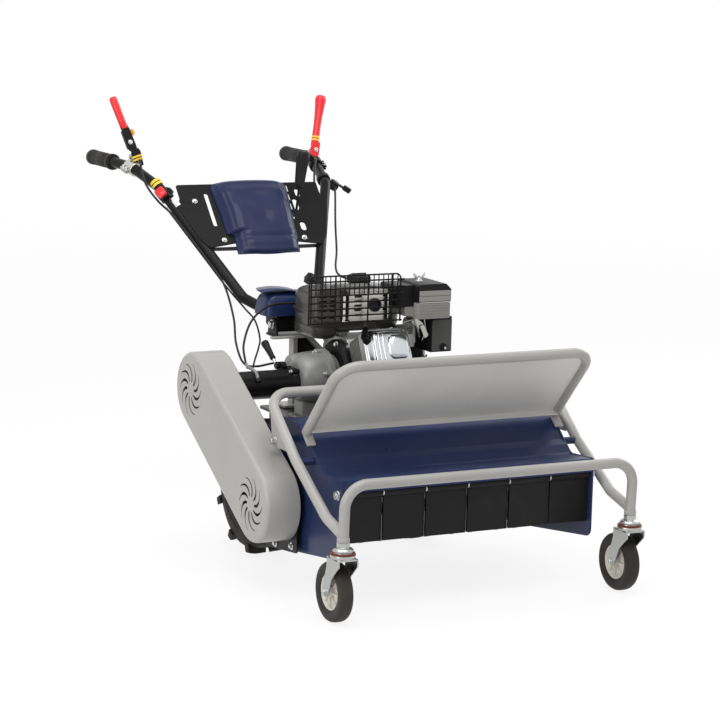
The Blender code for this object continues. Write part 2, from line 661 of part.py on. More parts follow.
def make_guard(machine):
    slope = (HOOD_SLOPE_END - HOOD_SLOPE_START).normalized()
    normal = Vector((0, -slope.z, slope.y))
    down = -normal
    top = Vector((0, GUARD_TOP_Y, GUARD_TOP_Z))
    # The leg meets the hood's slope square on
    along = (top - HOOD_SLOPE_START).dot(slope)
    strap_low = HOOD_SLOPE_START + normal * (HOOD_PROUD + GAP)
    foot_height = HOOD_PROUD + GAP + 0.003
    foot = HOOD_SLOPE_START + slope * along + normal * foot_height
    across = GUARD_HALF_WIDTH
    legs = [(-across, foot.y, foot.z), (-across, top.y, top.z), (across, top.y, top.z),
            (across, foot.y, foot.z)]
    adds = [swept_mesh(rounded_path(legs, FRAME_BEND_RADIUS), FRAME_TUBE_RADIUS)]
    frame = Matrix((
        (1, 0, 0, 0),
        (0, down.y, slope.y, top.y),
        (0, down.z, slope.z, top.z),
        (0, 0, 0, 1)))
    corners = [(-across, 0), (across, 0), (across, GUARD_PANEL_DROP), (-across, GUARD_PANEL_DROP)]
    outline = rounded_outline(corners, [FRAME_BEND_RADIUS, FRAME_BEND_RADIUS, 0, 0], steps=3)
    half = GUARD_PANEL_THICKNESS / 2
    adds.append(turned_copy(prism_mesh(outline, "z", -half, half), frame))
    for side in SIDES.values():
        strap = [strap_low + slope * a + normal * b for a, b in
                 ((0.002, 0), (along + 0.004, 0), (along + 0.004, 0.004), (0.002, 0.004))]
        x = side * across
        adds.append(loft_mesh([[(x + e, p.y, p.z) for p in strap] for e in (-0.010, 0.010)]))
    finished("front_guard", adds, "grey_paint", machine)


def make_casters(machine):
    for name, side in SIDES.items():
        x = side * CASTER_HALF_TRACK
        swivel = (x, CASTER_STEM_Y)
        leg = CASTER_WHEEL_WIDTH / 2 + 0.0045
        outline = [(-0.060, FORK_TOP_Z), (-0.060, 0.126), (-0.030, 0.098), (-0.012, 0.058),
                   (0.000, 0.0525), (0.010, 0.058), (0.011, 0.068), (-0.006, 0.120), (-0.006, FORK_TOP_Z)]
        adds = [box_mesh((x - leg - FORK_PLATE_THICKNESS, -0.060, FORK_TOP_Z - 0.003),
                         (x + leg + FORK_PLATE_THICKNESS, -0.006, FORK_TOP_Z + 0.0005))]
        for s in (-1, 1):
            low, high = sorted((x + s * leg, x + s * (leg + FORK_PLATE_THICKNESS)))
            adds.append(prism_mesh(outline, "x", low, high))
        bearing = [(0.0, FORK_TOP_Z - 0.001), (CASTER_BEARING_RADIUS, FORK_TOP_Z - 0.001),
                   (CASTER_BEARING_RADIUS, FORK_TOP_Z + 0.009), (0.011, FORK_TOP_Z + 0.018),
                   (0.011, LEG_BOTTOM_Z - 3 * GAP),
                   (CASTER_STEM_RADIUS, LEG_BOTTOM_Z - 3 * GAP), (CASTER_STEM_RADIUS, LEG_BOTTOM_Z + 0.028),
                   (0.0, LEG_BOTTOM_Z + 0.028)]
        adds.append(turned_mesh(bearing, (*swivel, 0), (0, 0, 1), sides=16))
        end = leg + FORK_PLATE_THICKNESS + 0.005
        adds.append(rod_mesh((x - end, 0, CASTER_WHEEL_RADIUS), (x + end, 0, CASTER_WHEEL_RADIUS),
                             CASTER_AXLE_RADIUS, sides=8))
        for s in (-1, 1):
            head = leg + FORK_PLATE_THICKNESS - 0.0005
            adds.append(rod_mesh((x + s * head, 0, CASTER_WHEEL_RADIUS),
                                 (x + s * end, 0, CASTER_WHEEL_RADIUS), 0.0075, sides=6))
        finished(f"caster_fork_{name}", adds, "zinc", machine, origin=(*swivel, FORK_TOP_Z))

        half = CASTER_WHEEL_WIDTH / 2
        bore = circumscribed(CASTER_AXLE_RADIUS + RUNNING_GAP, 18)
        hub = leg - SLIDING_GAP
        rim = CASTER_WHEEL_RADIUS - 0.024
        tread = CASTER_WHEEL_RADIUS
        profile = [(bore, -hub), (0.011, -hub), (0.011, -0.006), (rim - 0.003, -0.006),
                   (rim, -half + 0.003), (tread - 0.008, -half), (tread, -half * 0.45),
                   (tread, half * 0.45), (tread - 0.008, half), (rim, half - 0.003),
                   (rim - 0.003, 0.006), (0.011, 0.006), (0.011, hub), (bore, hub)]
        wheel = turned_mesh(profile, (x, 0, CASTER_WHEEL_RADIUS), (1, 0, 0), sides=18)
        finished(f"caster_wheel_{name}", [wheel], "rubber", machine, origin=(x, 0, CASTER_WHEEL_RADIUS))


# Rear wheels
def make_wheels(machine):
    for name, side in SIDES.items():
        centre = (DRIVE_CENTRE_X + side * WHEEL_HALF_TRACK, AXLE_Y, WHEEL_RADIUS)
        half = WHEEL_WIDTH / 2 - 0.006
        bore = circumscribed(AXLE_RADIUS + RUNNING_GAP, 16)
        rim = RIM_RADIUS
        # Heights run outwards, away from the machine's middle
        profile = [(bore, -0.030), (0.026, -0.030), (0.026, -0.003), (rim - 0.007, -0.003),
                   (rim - 0.007, -half), (rim + 0.006, -half), (rim - 0.003, -half + 0.006),
                   (rim - 0.003, half - 0.006), (rim + 0.006, half),
                   (rim - 0.007, half), (rim - 0.007, 0.004), (0.026, 0.004), (0.026, 0.016), (bore, 0.016)]
        axis = (side, 0, 0)
        finished(f"rim_{name}", [turned_mesh(profile, centre, axis)], "zinc", machine,
                 origin=centre)
        bead = rim - 0.003 + GAP
        tyre = [(bead, -half + 0.008), (rim + 0.008, -half + 0.0005),
                (rim + 0.034, -half - 0.003), (TREAD_RADIUS - 0.006, -half + 0.002),
                (TREAD_RADIUS, 0.0), (TREAD_RADIUS - 0.006, half - 0.002),
                (rim + 0.034, half + 0.003),
                (rim + 0.008, half - 0.0005), (bead, half - 0.008)]
        adds = [turned_mesh(tyre, centre, axis)]
        for k in range(LUG_COUNT):
            for flank in (-1, 1):
                angle = 2 * math.pi * (k + (0.25 if flank > 0 else -0.25)) / LUG_COUNT
                adds.append(lug_mesh(centre, angle, flank, half))
        finished(f"tyre_{name}", adds, "rubber", machine, origin=centre)


def lug_mesh(centre, angle, flank, half):
    """One slanted bar of the tractor tread, from the tyre's middle to its shoulder."""
    low, high = TREAD_RADIUS - 0.010, WHEEL_RADIUS
    inner, outer = -0.004, half + 0.005
    lean, base, crest = 0.020, 0.0105, 0.0085
    corners = []
    for radius, width in ((low, base), (high, crest)):
        for x, shift in ((inner, lean), (outer, -lean)):
            for w in (-width, width):
                drop = 0.006 if x == outer and radius == high else 0.0
                theta = angle + (shift * 0.6 + w) / WHEEL_RADIUS
                corners.append(Vector((centre[0] + flank * x, centre[1] + (radius - drop) * math.sin(theta),
                                       centre[2] - (radius - drop) * math.cos(theta))))
    rings = [[corners[0], corners[1], corners[3], corners[2]], [corners[4], corners[5], corners[7], corners[6]]]
    return loft_mesh(rings)


# Bed frame, transmission and gearbox
def make_bed_frame(machine):
    centre = DRIVE_CENTRE_X + 0.020
    rail_top = BED_TOP_Z - BED_THICKNESS
    front = DECK_REAR_Y + HOOD_PROUD + GAP
    adds = [box_mesh((centre - 0.125, 0.500, rail_top - 0.001), (centre + 0.125, RAIL_REAR_Y, BED_TOP_Z)),
            box_mesh((centre - 0.120, front, 0.232), (centre + 0.120, front + 0.004, BED_TOP_Z))]
    for s in (-1, 1):
        x = centre + s * RAIL_HALF_SPACING
        adds.append(box_mesh((x - RAIL_WIDTH / 2, front + 0.002, rail_top - RAIL_HEIGHT),
                             (x + RAIL_WIDTH / 2, RAIL_REAR_Y - 0.002, rail_top)))
    adds.append(box_mesh((centre - 0.099, RAIL_REAR_Y - 0.030, rail_top - RAIL_HEIGHT + 0.002),
                         (centre + 0.099, RAIL_REAR_Y - 0.004, rail_top)))
    finished("bed_frame", adds, "black_paint", machine)


def axle_rod(start, end, radius, sides=12):
    """A round piece on the rear axle line."""
    return rod_mesh((start, AXLE_Y, WHEEL_RADIUS), (end, AXLE_Y, WHEEL_RADIUS), radius, sides=sides)


def make_transmission(machine):
    top = BED_TOP_Z - BED_THICKNESS - 0.001 - GAP
    x = DRIVE_CENTRE_X
    outline = rounded_outline([(0.520, top), (0.655, top), (0.655, 0.200), (0.625, 0.095), (0.540, 0.095),
                               (0.520, 0.150)], [0.0, 0.0, 0.02, 0.02, 0.02, 0.02])
    hub_face = WHEEL_HALF_TRACK - 0.030 - SLIDING_GAP
    stub_end = WHEEL_HALF_TRACK + 0.024
    adds = [prism_mesh(outline, "x", x - 0.050, x + 0.050),
            axle_rod(x - hub_face, x + hub_face, 0.022),
            axle_rod(x - stub_end, x + stub_end, AXLE_RADIUS)]
    for s in (-1, 1):
        start = x + s * 0.048
        adds.append(axle_rod(start, start + s * 0.020, 0.038))
        cap = WHEEL_HALF_TRACK + 0.016 + SLIDING_GAP
        adds.append(axle_rod(x + s * cap, x + s * (cap + 0.006), 0.019, sides=6))
    finished("axle_case", adds, "cast_grey", machine)


PTO_LEVER_PIVOT = (-0.160, DRIVE_Y + 0.030, PTO_Z + 0.036)
PTO_LUG_HALF_WIDTH = 0.006


def make_gearbox(machine):
    left = DRIVE_CENTRE_X - 0.100
    flange = -0.068
    face = ENGINE_X - CRANKCASE_HALF_WIDTH - 0.022
    dome = [(0.0, 0.0), (0.040, 0.0), (0.050, 0.006), (0.056, 0.020), (0.058, 0.036),
            (0.058, flange - left - 0.010), (0.065, flange - left - 0.010), (0.065, flange - left + 0.004),
            (0.052, flange - left + 0.004), (0.052, face - left - GAP), (0.0, face - left - GAP)]
    beside = (DRIVE_Y + 0.040, PTO_Z + 0.030)
    shoulder = rod_mesh((left + 0.002, *beside), (flange, *beside), 0.026, 0.034, sides=14)
    adds = [turned_mesh(dome, (left, DRIVE_Y, PTO_Z + 0.008), (1, 0, 0)), shoulder,
            box_mesh((-0.128, 0.600, BED_TOP_Z + GAP), (-0.060, 0.650, PTO_Z - 0.030)),
            box_mesh((-0.138, 0.590, BED_TOP_Z + GAP), (-0.054, 0.660, BED_TOP_Z + 0.008))]
    for k in range(5):
        angle = math.radians(90 + 72 * k)
        y, z = DRIVE_Y + 0.0585 * math.cos(angle), PTO_Z + 0.008 + 0.0585 * math.sin(angle)
        adds.append(rod_mesh((flange - 0.016, y, z), (flange - 0.002, y, z), 0.0055, sides=6))
    finished("gearbox", adds, "cast_grey", machine)

    # Dark bell with cooling ribs between the gearbox and the engine
    back = ENGINE_X - CRANKCASE_HALF_WIDTH - GAP
    ring = [(0.0, 0.0), (0.060, 0.0), (0.070, 0.006), (0.071, back - face - 0.003),
            (0.068, back - face), (0.0, back - face)]
    adds = [turned_mesh(ring, (face, DRIVE_Y, CRANK_Z), (1, 0, 0))]
    finished("clutch_housing", adds, "black_plastic", machine)


def make_pto_lever(machine):
    pivot = Vector(PTO_LEVER_PIVOT)
    direction = Vector((-0.12, 0.68, 0.62)).normalized()
    start_x = pivot.x - PTO_LUG_HALF_WIDTH - SLIDING_GAP
    arm_start = Vector((start_x - 0.004, pivot.y, pivot.z))
    adds = [rod_mesh((start_x - 0.008, pivot.y, pivot.z), (start_x, pivot.y, pivot.z), 0.008, sides=12),
            rod_mesh((start_x - 0.001, pivot.y, pivot.z),
                     (pivot.x + PTO_LUG_HALF_WIDTH + 0.002, pivot.y, pivot.z), 0.003, sides=8),
            rod_mesh(arm_start, arm_start + direction * 0.024, 0.0035, sides=8),
            rod_mesh(arm_start + direction * 0.020, arm_start + direction * 0.070, 0.0065, 0.0090, sides=12)]
    finished("pto_lever", adds, "black_plastic", machine, origin=pivot)


# Engine
def cylinder_axes():
    """The engine's cylinder leans forward: its own direction, and the one across it."""
    along = Vector((0, -math.cos(CYLINDER_TILT), math.sin(CYLINDER_TILT)))
    across = Vector((0, math.sin(CYLINDER_TILT), math.cos(CYLINDER_TILT)))
    return along, across


def make_engine(machine):
    x = ENGINE_X
    half = CRANKCASE_HALF_WIDTH
    crank = Vector((0, DRIVE_Y, CRANK_Z))
    along, across = cylinder_axes()
    base = BED_TOP_Z + GAP
    case = rounded_outline([(0.548, base), (0.706, base), (0.714, 0.330), (0.716, 0.440), (0.690, 0.468),
                            (0.600, 0.470), (0.560, 0.440), (0.550, 0.330)],
                           [0, 0, 0.02, 0.02, 0.02, 0.02, 0.02, 0.02])
    adds = [prism_mesh(case, "x", x - half, x + half)]

    def cylinder_block(start, end, height, width):
        corners = [crank + along * a + across * b for a, b in
                   ((start, -height), (end, -height), (end, height), (start, height))]
        return loft_mesh([[(CYLINDER_X + e, c.y, c.z) for c in corners] for e in (-width, width)])

    adds.append(cylinder_block(0.030, 0.145, 0.036, 0.040))
    for k in range(4):
        adds.append(cylinder_block(0.078 + 0.014 * k, 0.084 + 0.014 * k, 0.047, 0.050))
    adds.append(cylinder_block(HEAD_START, HEAD_END, HEAD_HALF_HEIGHT, HEAD_HALF_WIDTH))
    # Two brackets on the crankcase carry the fuel tank
    for left in (x - half + 0.006, x + half - 0.024):
        adds.append(box_mesh((left, 0.640, 0.460), (left + 0.018, 0.690, TANK_LOW.z - GAP)))
    finished("engine_block", adds, "cast_aluminium", machine)

    # Bright pressed cover on the cylinder head
    start = HEAD_END + GAP
    cover_rings = []
    for distance, height, width in ((start, 0.046, 0.056), (start + 0.004, 0.046, 0.056),
                                    (start + 0.006, 0.040, 0.050), (start + 0.024, 0.036, 0.046),
                                    (start + 0.030, 0.028, 0.038)):
        middle = crank + along * distance
        ring = []
        for k in range(16):
            angle = 2 * math.pi * (k + 0.5) / 16
            a, b = (math.copysign(abs(v) ** 0.5, v) for v in (math.cos(angle), math.sin(angle)))
            point = middle + across * height * b
            ring.append((CYLINDER_X + width * a, point.y, point.z))
        cover_rings.append(ring)
    finished("valve_cover", [loft_mesh(cover_rings)], "polished_metal", machine, smooth=30.0)

    # Flywheel blower with its scroll towards the cylinder, and the control box in front
    low = x + half + GAP
    high = low + BLOWER_DEPTH
    scroll = arc_points((DRIVE_Y, CRANK_Z), BLOWER_RADIUS, -150, 100, 12)
    scroll += [(0.590, 0.482), (0.580, 0.502), (0.540, 0.480), (0.536, 0.400)]
    box = rounded_outline([(0.462, 0.452), (0.545, 0.452), (0.560, 0.500), (0.545, 0.532), (0.462, 0.532)],
                          [0.004] * 5, steps=2)
    control = prism_mesh(box, "x", low + 0.034, high + 0.031)
    finished("blower_housing", [prism_mesh(scroll, "x", low, high), control], "black_plastic", machine)
    recoil_face = high + GAP
    recoil = [(0.0, 0.0), (RECOIL_RADIUS, 0.0), (RECOIL_RADIUS, 0.014), (RECOIL_RADIUS - 0.008, 0.026),
              (0.024, RECOIL_DEPTH), (0.0, RECOIL_DEPTH)]
    finished("recoil_cover", [turned_mesh(recoil, (recoil_face, DRIVE_Y, CRANK_Z), (1, 0, 0), sides=20)],
             "dark_plastic", machine)
    make_fuel_tank(machine)
    make_exhaust(machine)
    make_air_cleaner(machine)


TANK_LOW = Vector((-0.094, 0.618, 0.4795))
TANK_HIGH = Vector((0.130, 0.752, 0.578))
FILLER = Vector((0.050, 0.690, TANK_HIGH.z))


def rounded_rectangle(cx, cy, half_x, half_y, radius, steps=2):
    corners = [(cx - half_x, cy - half_y), (cx + half_x, cy - half_y),
               (cx + half_x, cy + half_y), (cx - half_x, cy + half_y)]
    return rounded_outline(corners, [min(radius, 0.9 * half_x, 0.9 * half_y)] * 4, steps)


def make_fuel_tank(machine):
    centre = (TANK_LOW + TANK_HIGH) / 2
    half = (TANK_HIGH - TANK_LOW) / 2
    rings = []
    for z, inset in ((TANK_LOW.z, 0.022), (TANK_LOW.z + 0.006, 0.008), (TANK_LOW.z + 0.020, 0.0),
                     (TANK_HIGH.z - 0.018, 0.0), (TANK_HIGH.z - 0.005, 0.007), (TANK_HIGH.z, 0.020)):
        outline = rounded_rectangle(centre.x, centre.y, half.x - inset, half.y - inset, 0.030)
        rings.append([(px, py, z) for px, py in outline])
    neck = rod_mesh((FILLER.x, FILLER.y, FILLER.z - 0.005), (FILLER.x, FILLER.y, FILLER.z + 0.004), 0.019)
    belly_end = ENGINE_X - CRANKCASE_HALF_WIDTH - 0.003
    belly = []
    belly_centre = (TANK_LOW.x + belly_end) / 2
    belly_half = (belly_end - TANK_LOW.x) / 2
    for z, inset in ((TANK_LOW.z - 0.014, 0.012), (TANK_LOW.z - 0.008, 0.003), (TANK_LOW.z + 0.012, 0.002)):
        outline = rounded_rectangle(belly_centre, centre.y, belly_half - inset, half.y - inset, 0.024)
        belly.append([(px, py, z) for px, py in outline])
    finished("fuel_tank", [loft_mesh(rings), loft_mesh(belly), neck], "black_plastic", machine)
    base = FILLER.z + 0.004 + GAP
    cap = [(0.0, 0.0), (0.026, 0.0), (0.027, 0.004), (0.027, 0.014), (0.022, 0.019), (0.0, 0.020)]
    finished("fuel_cap", [turned_mesh(cap, (FILLER.x, FILLER.y, base), (0, 0, 1), sides=20)],
             "black_plastic", machine, origin=(FILLER.x, FILLER.y, base))


MUFFLER_LOW = Vector((-0.0915, 0.462, 0.532))
MUFFLER_HIGH = Vector((0.008, 0.566, 0.602))
SHIELD_LEFT = -0.169
SHIELD_THICKNESS = 0.003
GUARD_LEFT = -0.196
GUARD_RIGHT = 0.028
GUARD_TOP = 0.637
GUARD_STANDOFF = 0.018
WIRE_RADIUS = 0.0019


def make_exhaust(machine):
    low, high = MUFFLER_LOW, MUFFLER_HIGH
    middle = (low + high) / 2
    half = (high - low) / 2
    rings = []
    for y, inset in ((low.y, 0.003), (low.y + 0.004, 0.0), (high.y - 0.008, 0.0), (high.y, 0.008)):
        outline = rounded_rectangle(middle.x, middle.z, half.x - inset, half.z - inset, 0.012)
        rings.append([(px, y, pz) for px, pz in outline])
    along, across = cylinder_axes()
    crank = Vector((0, DRIVE_Y, CRANK_Z))
    near = crank + along * (HEAD_START + 0.003) + across * (HEAD_HALF_HEIGHT + GAP)
    far = crank + along * (HEAD_END - 0.003) + across * (HEAD_HALF_HEIGHT + GAP)
    seat = low.z + 0.003
    foot = [(near.y, near.z), (far.y, far.z), (far.y - 0.004, seat), (near.y + 0.004, seat)]
    pipe = prism_mesh(foot, "x", -0.022, 0.000)
    # Sheet on its face that reaches past the box and shields the tank
    face = low.y - SHIELD_THICKNESS
    shield = rounded_outline([(SHIELD_LEFT, low.z + 0.004), (high.x, low.z + 0.002), (high.x, high.z - 0.001),
                              (low.x - 0.022, high.z - 0.001), (low.x - 0.028, high.z + 0.006),
                              (SHIELD_LEFT + 0.014, high.z + 0.006), (SHIELD_LEFT, high.z - 0.004)],
                             [0.004, 0.004, 0.004, 0.004, 0.004, 0.008, 0.006])
    sheet = prism_mesh(shield, "y", face, low.y + 0.001)
    outlet_x = high.x - 0.035
    outlet = rod_mesh((outlet_x, low.y + 0.020, middle.z), (outlet_x, face - 0.004, middle.z), 0.0155)
    bore = rod_mesh((outlet_x, low.y + 0.010, middle.z), (outlet_x, low.y - 0.02, middle.z), 0.0135)
    finished("muffler", [loft_mesh(rings), pipe, sheet, outlet], "dark_plastic", machine, [bore])

    # Welded wire panel that stands ahead of the hot face
    front = face - GUARD_STANDOFF
    bottom, shoulder = low.z + 0.002, low.z + 0.062
    left, right = GUARD_LEFT, GUARD_RIGHT
    sunk = WIRE_RADIUS * 1.2
    adds = []
    for k in range(5):
        z = bottom + (shoulder - bottom) * k / 4
        adds.append(rod_mesh((left - 0.003, front, z), (right + 0.003, front, z), WIRE_RADIUS, sides=4))
    rim = rounded_path([(left, front + sunk, bottom - 0.003), (left, front + sunk, GUARD_TOP),
                        (right, front + sunk, GUARD_TOP), (right, front + sunk, bottom - 0.003)], 0.006, 1)
    adds.append(swept_mesh(rim, WIRE_RADIUS, 4))
    for z in (GUARD_TOP - 0.012, GUARD_TOP - 0.028):
        adds.append(rod_mesh((left - 0.003, front, z), (right + 0.003, front, z), WIRE_RADIUS, sides=4))
    for x in (left + 0.005, left + 0.032, left + 0.064, -0.052, right - 0.022):
        adds.append(rod_mesh((x, front + sunk, bottom - 0.003), (x, front + sunk, GUARD_TOP + 0.001), WIRE_RADIUS,
                             sides=4))
    for x in (low.x - 0.012, high.x - 0.008):
        strap = [(face - GAP, bottom), (face - GAP, shoulder - 0.002), (face - GAP - 0.003, shoulder - 0.002),
                 (face - GAP - 0.003, bottom + 0.0035), (front - 0.001, bottom + 0.0025), (front - 0.001, bottom - 0.001)]
        adds.append(prism_mesh(strap, "x", x - 0.003, x + 0.003))
    finished("muffler_guard", adds, "black_paint", machine)


def make_air_cleaner(machine):
    low, high = (0.067, 0.428, 0.534), (0.148, 0.530, 0.612)
    back = high[1] - 0.001
    body = prism_mesh(rounded_outline([(low[0], low[2]), (high[0], low[2]), (high[0], high[2] - 0.012),
                                       (high[0] - 0.012, high[2]), (low[0] + 0.008, high[2]),
                                       (low[0], high[2] - 0.008)], [0.004, 0.004, 0, 0, 0, 0], steps=2),
                      "y", low[1], high[1])
    carburettor = box_mesh((0.0880, 0.490, 0.470), (0.094, 0.528, 0.536))
    elbow = box_mesh((CYLINDER_X + HEAD_HALF_WIDTH + GAP, 0.492, 0.462), (0.093, 0.526, 0.492))
    stud = (0.097, 0.486)
    # Its dark base reaches behind the wire panel
    wing = box_mesh((0.022, low[1] + 0.024, 0.5555), (low[0] + 0.001, back, high[2] - 0.004))
    lower_wing = box_mesh((0.045, low[1] + 0.024, low[2] + 0.004), (low[0] + 0.001, back, 0.5565))
    adds = [body, wing, lower_wing, carburettor, elbow,
            rod_mesh((*stud, high[2] - 0.004), (*stud, high[2] + 0.012), 0.005, sides=10)]
    for s in (-1, 1):
        adds.append(box_mesh((stud[0] + min(s * 0.002, s * 0.016), stud[1] - 0.0015, high[2] + 0.006),
                             (stud[0] + max(s * 0.002, s * 0.016), stud[1] + 0.0015, high[2] + 0.018)))
    finished("air_cleaner", adds, "grey_plastic", machine)


# Handlebar
def tilt_rod(start, end, radius, sides=12):
    """A round piece on the handlebar's tilt axis."""
    return rod_mesh((start, TILT_Y, TILT_Z), (end, TILT_Y, TILT_Z), radius, sides=sides)


def make_handle_mount(machine):
    x = DRIVE_CENTRE_X
    plate_z = 0.450
    adds = [box_mesh((x - 0.050, 0.750, BED_TOP_Z + GAP), (x + 0.050, 0.800, plate_z + 0.001)),
            box_mesh((x - 0.066, 0.744, BED_TOP_Z + GAP), (x + 0.066, 0.801, BED_TOP_Z + 0.006)),
            box_mesh((x - 0.105, 0.742, plate_z), (x + 0.105, 0.838, plate_z + 0.005)),
            tilt_rod(x - YOKE_HALF_WIDTH - 0.008, x + YOKE_HALF_WIDTH + 0.008, TILT_BOLT_RADIUS),
            tilt_rod(x - YOKE_HALF_WIDTH - 0.010, x - YOKE_HALF_WIDTH - 0.003, 0.0095, sides=6)]
    ear = rounded_outline([(TILT_Y - 0.026, plate_z + 0.002), (TILT_Y + 0.026, plate_z + 0.002),
                           (TILT_Y + 0.015, TILT_Z + 0.014), (TILT_Y - 0.015, TILT_Z + 0.014)],
                          [0, 0, 0.010, 0.010])
    for s in (-1, 1):
        low, high = sorted((x + s * YOKE_HALF_WIDTH, x + s * (YOKE_HALF_WIDTH - YOKE_THICKNESS)))
        adds.append(prism_mesh(ear, "x", low, high))
    finished("handle_mount", adds, "black_paint", machine)


def handle_path(side):
    """Centre line of one handle tube, from the tilt bracket to the grip."""
    x = DRIVE_CENTRE_X
    knots = [(0.062, 0.812, 0.496), (0.074, 0.868, 0.506), (0.097, 0.915, 0.522), (0.221, 1.138, 0.762),
             (0.246, 1.250, 0.800), (GRIP_HALF_SPREAD, 1.322, GRIP_Z),
             (GRIP_HALF_SPREAD, GRIP_END_Y - 0.006, GRIP_Z)]
    return [(x + side * spread, y, z) for spread, y, z in knots]


TILT_PIVOT = (DRIVE_CENTRE_X, TILT_Y, TILT_Z)


def make_handlebar(machine):
    x = DRIVE_CENTRE_X
    inner = YOKE_HALF_WIDTH - YOKE_THICKNESS - SLIDING_GAP
    outline = rounded_outline([(TILT_Y - 0.014, TILT_Z - 0.018), (TILT_Y + 0.012, TILT_Z - 0.018),
                               (TILT_Y + 0.048, TILT_Z - 0.004), (TILT_Y + 0.048, TILT_Z + 0.032),
                               (TILT_Y - 0.014, TILT_Z + 0.020)], [0.008, 0.006, 0.004, 0.004, 0.008], steps=2)
    adds = [prism_mesh(outline, "x", x - inner, x + inner)]
    for side in SIDES.values():
        adds.append(swept_mesh(rounded_path(handle_path(side), 0.035, 2), HANDLE_TUBE_RADIUS, 10))
    bore = tilt_rod(x - 0.1, x + 0.1, circumscribed(TILT_BOLT_RADIUS + RUNNING_GAP, 12))
    finished("handlebar_frame", adds, "black_paint", machine, [bore], origin=TILT_PIVOT)
    make_cowl(machine)
    make_grips(machine)
    make_console(machine)
    make_hand_levers(machine)
    make_small_controls(machine)


COWL_FRONT_Y = 0.768
COWL_REAR_Y = 0.850
COWL_HALF_WIDTH = 0.104
COWL_BOTTOM_Z = 0.499
COWL_TOP_Z = 0.552
COWL_WALL = 0.003


def make_cowl(machine):
    x = DRIVE_CENTRE_X
    middle = (COWL_FRONT_Y + COWL_REAR_Y) / 2
    depth = (COWL_REAR_Y - COWL_FRONT_Y) / 2

    def shell(grow, lift):
        rings = []
        for z, inset in ((COWL_BOTTOM_Z + lift, 0.0), (COWL_TOP_Z - 0.020, 0.004), (COWL_TOP_Z - 0.006, 0.012),
                         (COWL_TOP_Z, 0.026)):
            level = z if z <= COWL_BOTTOM_Z else z + grow
            outline = rounded_rectangle(x, middle, COWL_HALF_WIDTH + grow - inset, depth + grow - inset, 0.018)
            rings.append([(px, py, level) for px, py in outline])
        return loft_mesh(rings)

    adds = [shell(0.0, 0.0)]
    hollow = shell(-COWL_WALL, -0.01)
    wings = []
    for side in SIDES.values():
        edge = [(0.012, 0.006), (0.060, 0.012), (COWL_HALF_WIDTH + 0.010, 0.006),
                (COWL_HALF_WIDTH + 0.009, 0.002), (0.060, -0.002), (0.012, -0.004)]
        rings = [[(x + side * a * share, y, COWL_TOP_Z - 0.002 + b) for a, b in edge]
                 for y, share in ((COWL_FRONT_Y + 0.006, 1.0), (COWL_REAR_Y - 0.010, 0.88))]
        wings.append(loft_mesh(rings))
    skin = boolean(boolean(adds[0], joined_shells(wings), "UNION"), hollow, "DIFFERENCE")
    cuts = [swept_mesh(rounded_path(handle_path(side)[:4], 0.035, 2), HANDLE_TUBE_RADIUS + SLIDING_GAP, 10)
            for side in SIDES.values()]
    finished("cowl", [skin], "blue_paint", machine, cuts, origin=TILT_PIVOT)


def make_grips(machine):
    for name, side in SIDES.items():
        x = DRIVE_CENTRE_X + side * GRIP_HALF_SPREAD
        start = GRIP_END_Y - GRIP_LENGTH
        radius = GRIP_RADIUS
        bore = circumscribed(HANDLE_TUBE_RADIUS + GAP, 16)
        depth = GRIP_LENGTH - 0.006 + GAP
        profile = [(bore, 0.0), (radius + 0.003, 0.0), (radius + 0.003, 0.008), (radius, 0.010),
                   (radius + 0.001, 0.075), (radius, GRIP_LENGTH - 0.014),
                   (radius + 0.002, GRIP_LENGTH - 0.012), (radius + 0.002, GRIP_LENGTH - 0.004),
                   (radius - 0.003, GRIP_LENGTH), (0.0, GRIP_LENGTH), (0.0, depth), (bore, depth)]
        finished(f"grip_{name}", [turned_mesh(profile, (x, start, GRIP_Z), (0, 1, 0), sides=16)], "rubber",
                 machine, origin=(x, start, GRIP_Z))


# The console lies along the rising stretch of the handle tubes
CONSOLE_START = Vector((0.0, 0.980, 0.5925))
CONSOLE_ALONG = Vector((0.0, 0.681, 0.732)).normalized()
CONSOLE_NORMAL = Vector((0.0, -CONSOLE_ALONG.z, CONSOLE_ALONG.y))
CONSOLE_FRAME = Matrix((
    (1, CONSOLE_ALONG.x, CONSOLE_NORMAL.x, DRIVE_CENTRE_X),
    (0, CONSOLE_ALONG.y, CONSOLE_NORMAL.y, CONSOLE_START.y),
    (0, CONSOLE_ALONG.z, CONSOLE_NORMAL.z, CONSOLE_START.z),
    (0, 0, 0, 1)))
PLATE_HEIGHT = HANDLE_TUBE_RADIUS + GAP
PLATE_THICKNESS = 0.003
GEAR_LEVER_SPREAD = 0.112
GEAR_LEVER_ALONG = 0.142


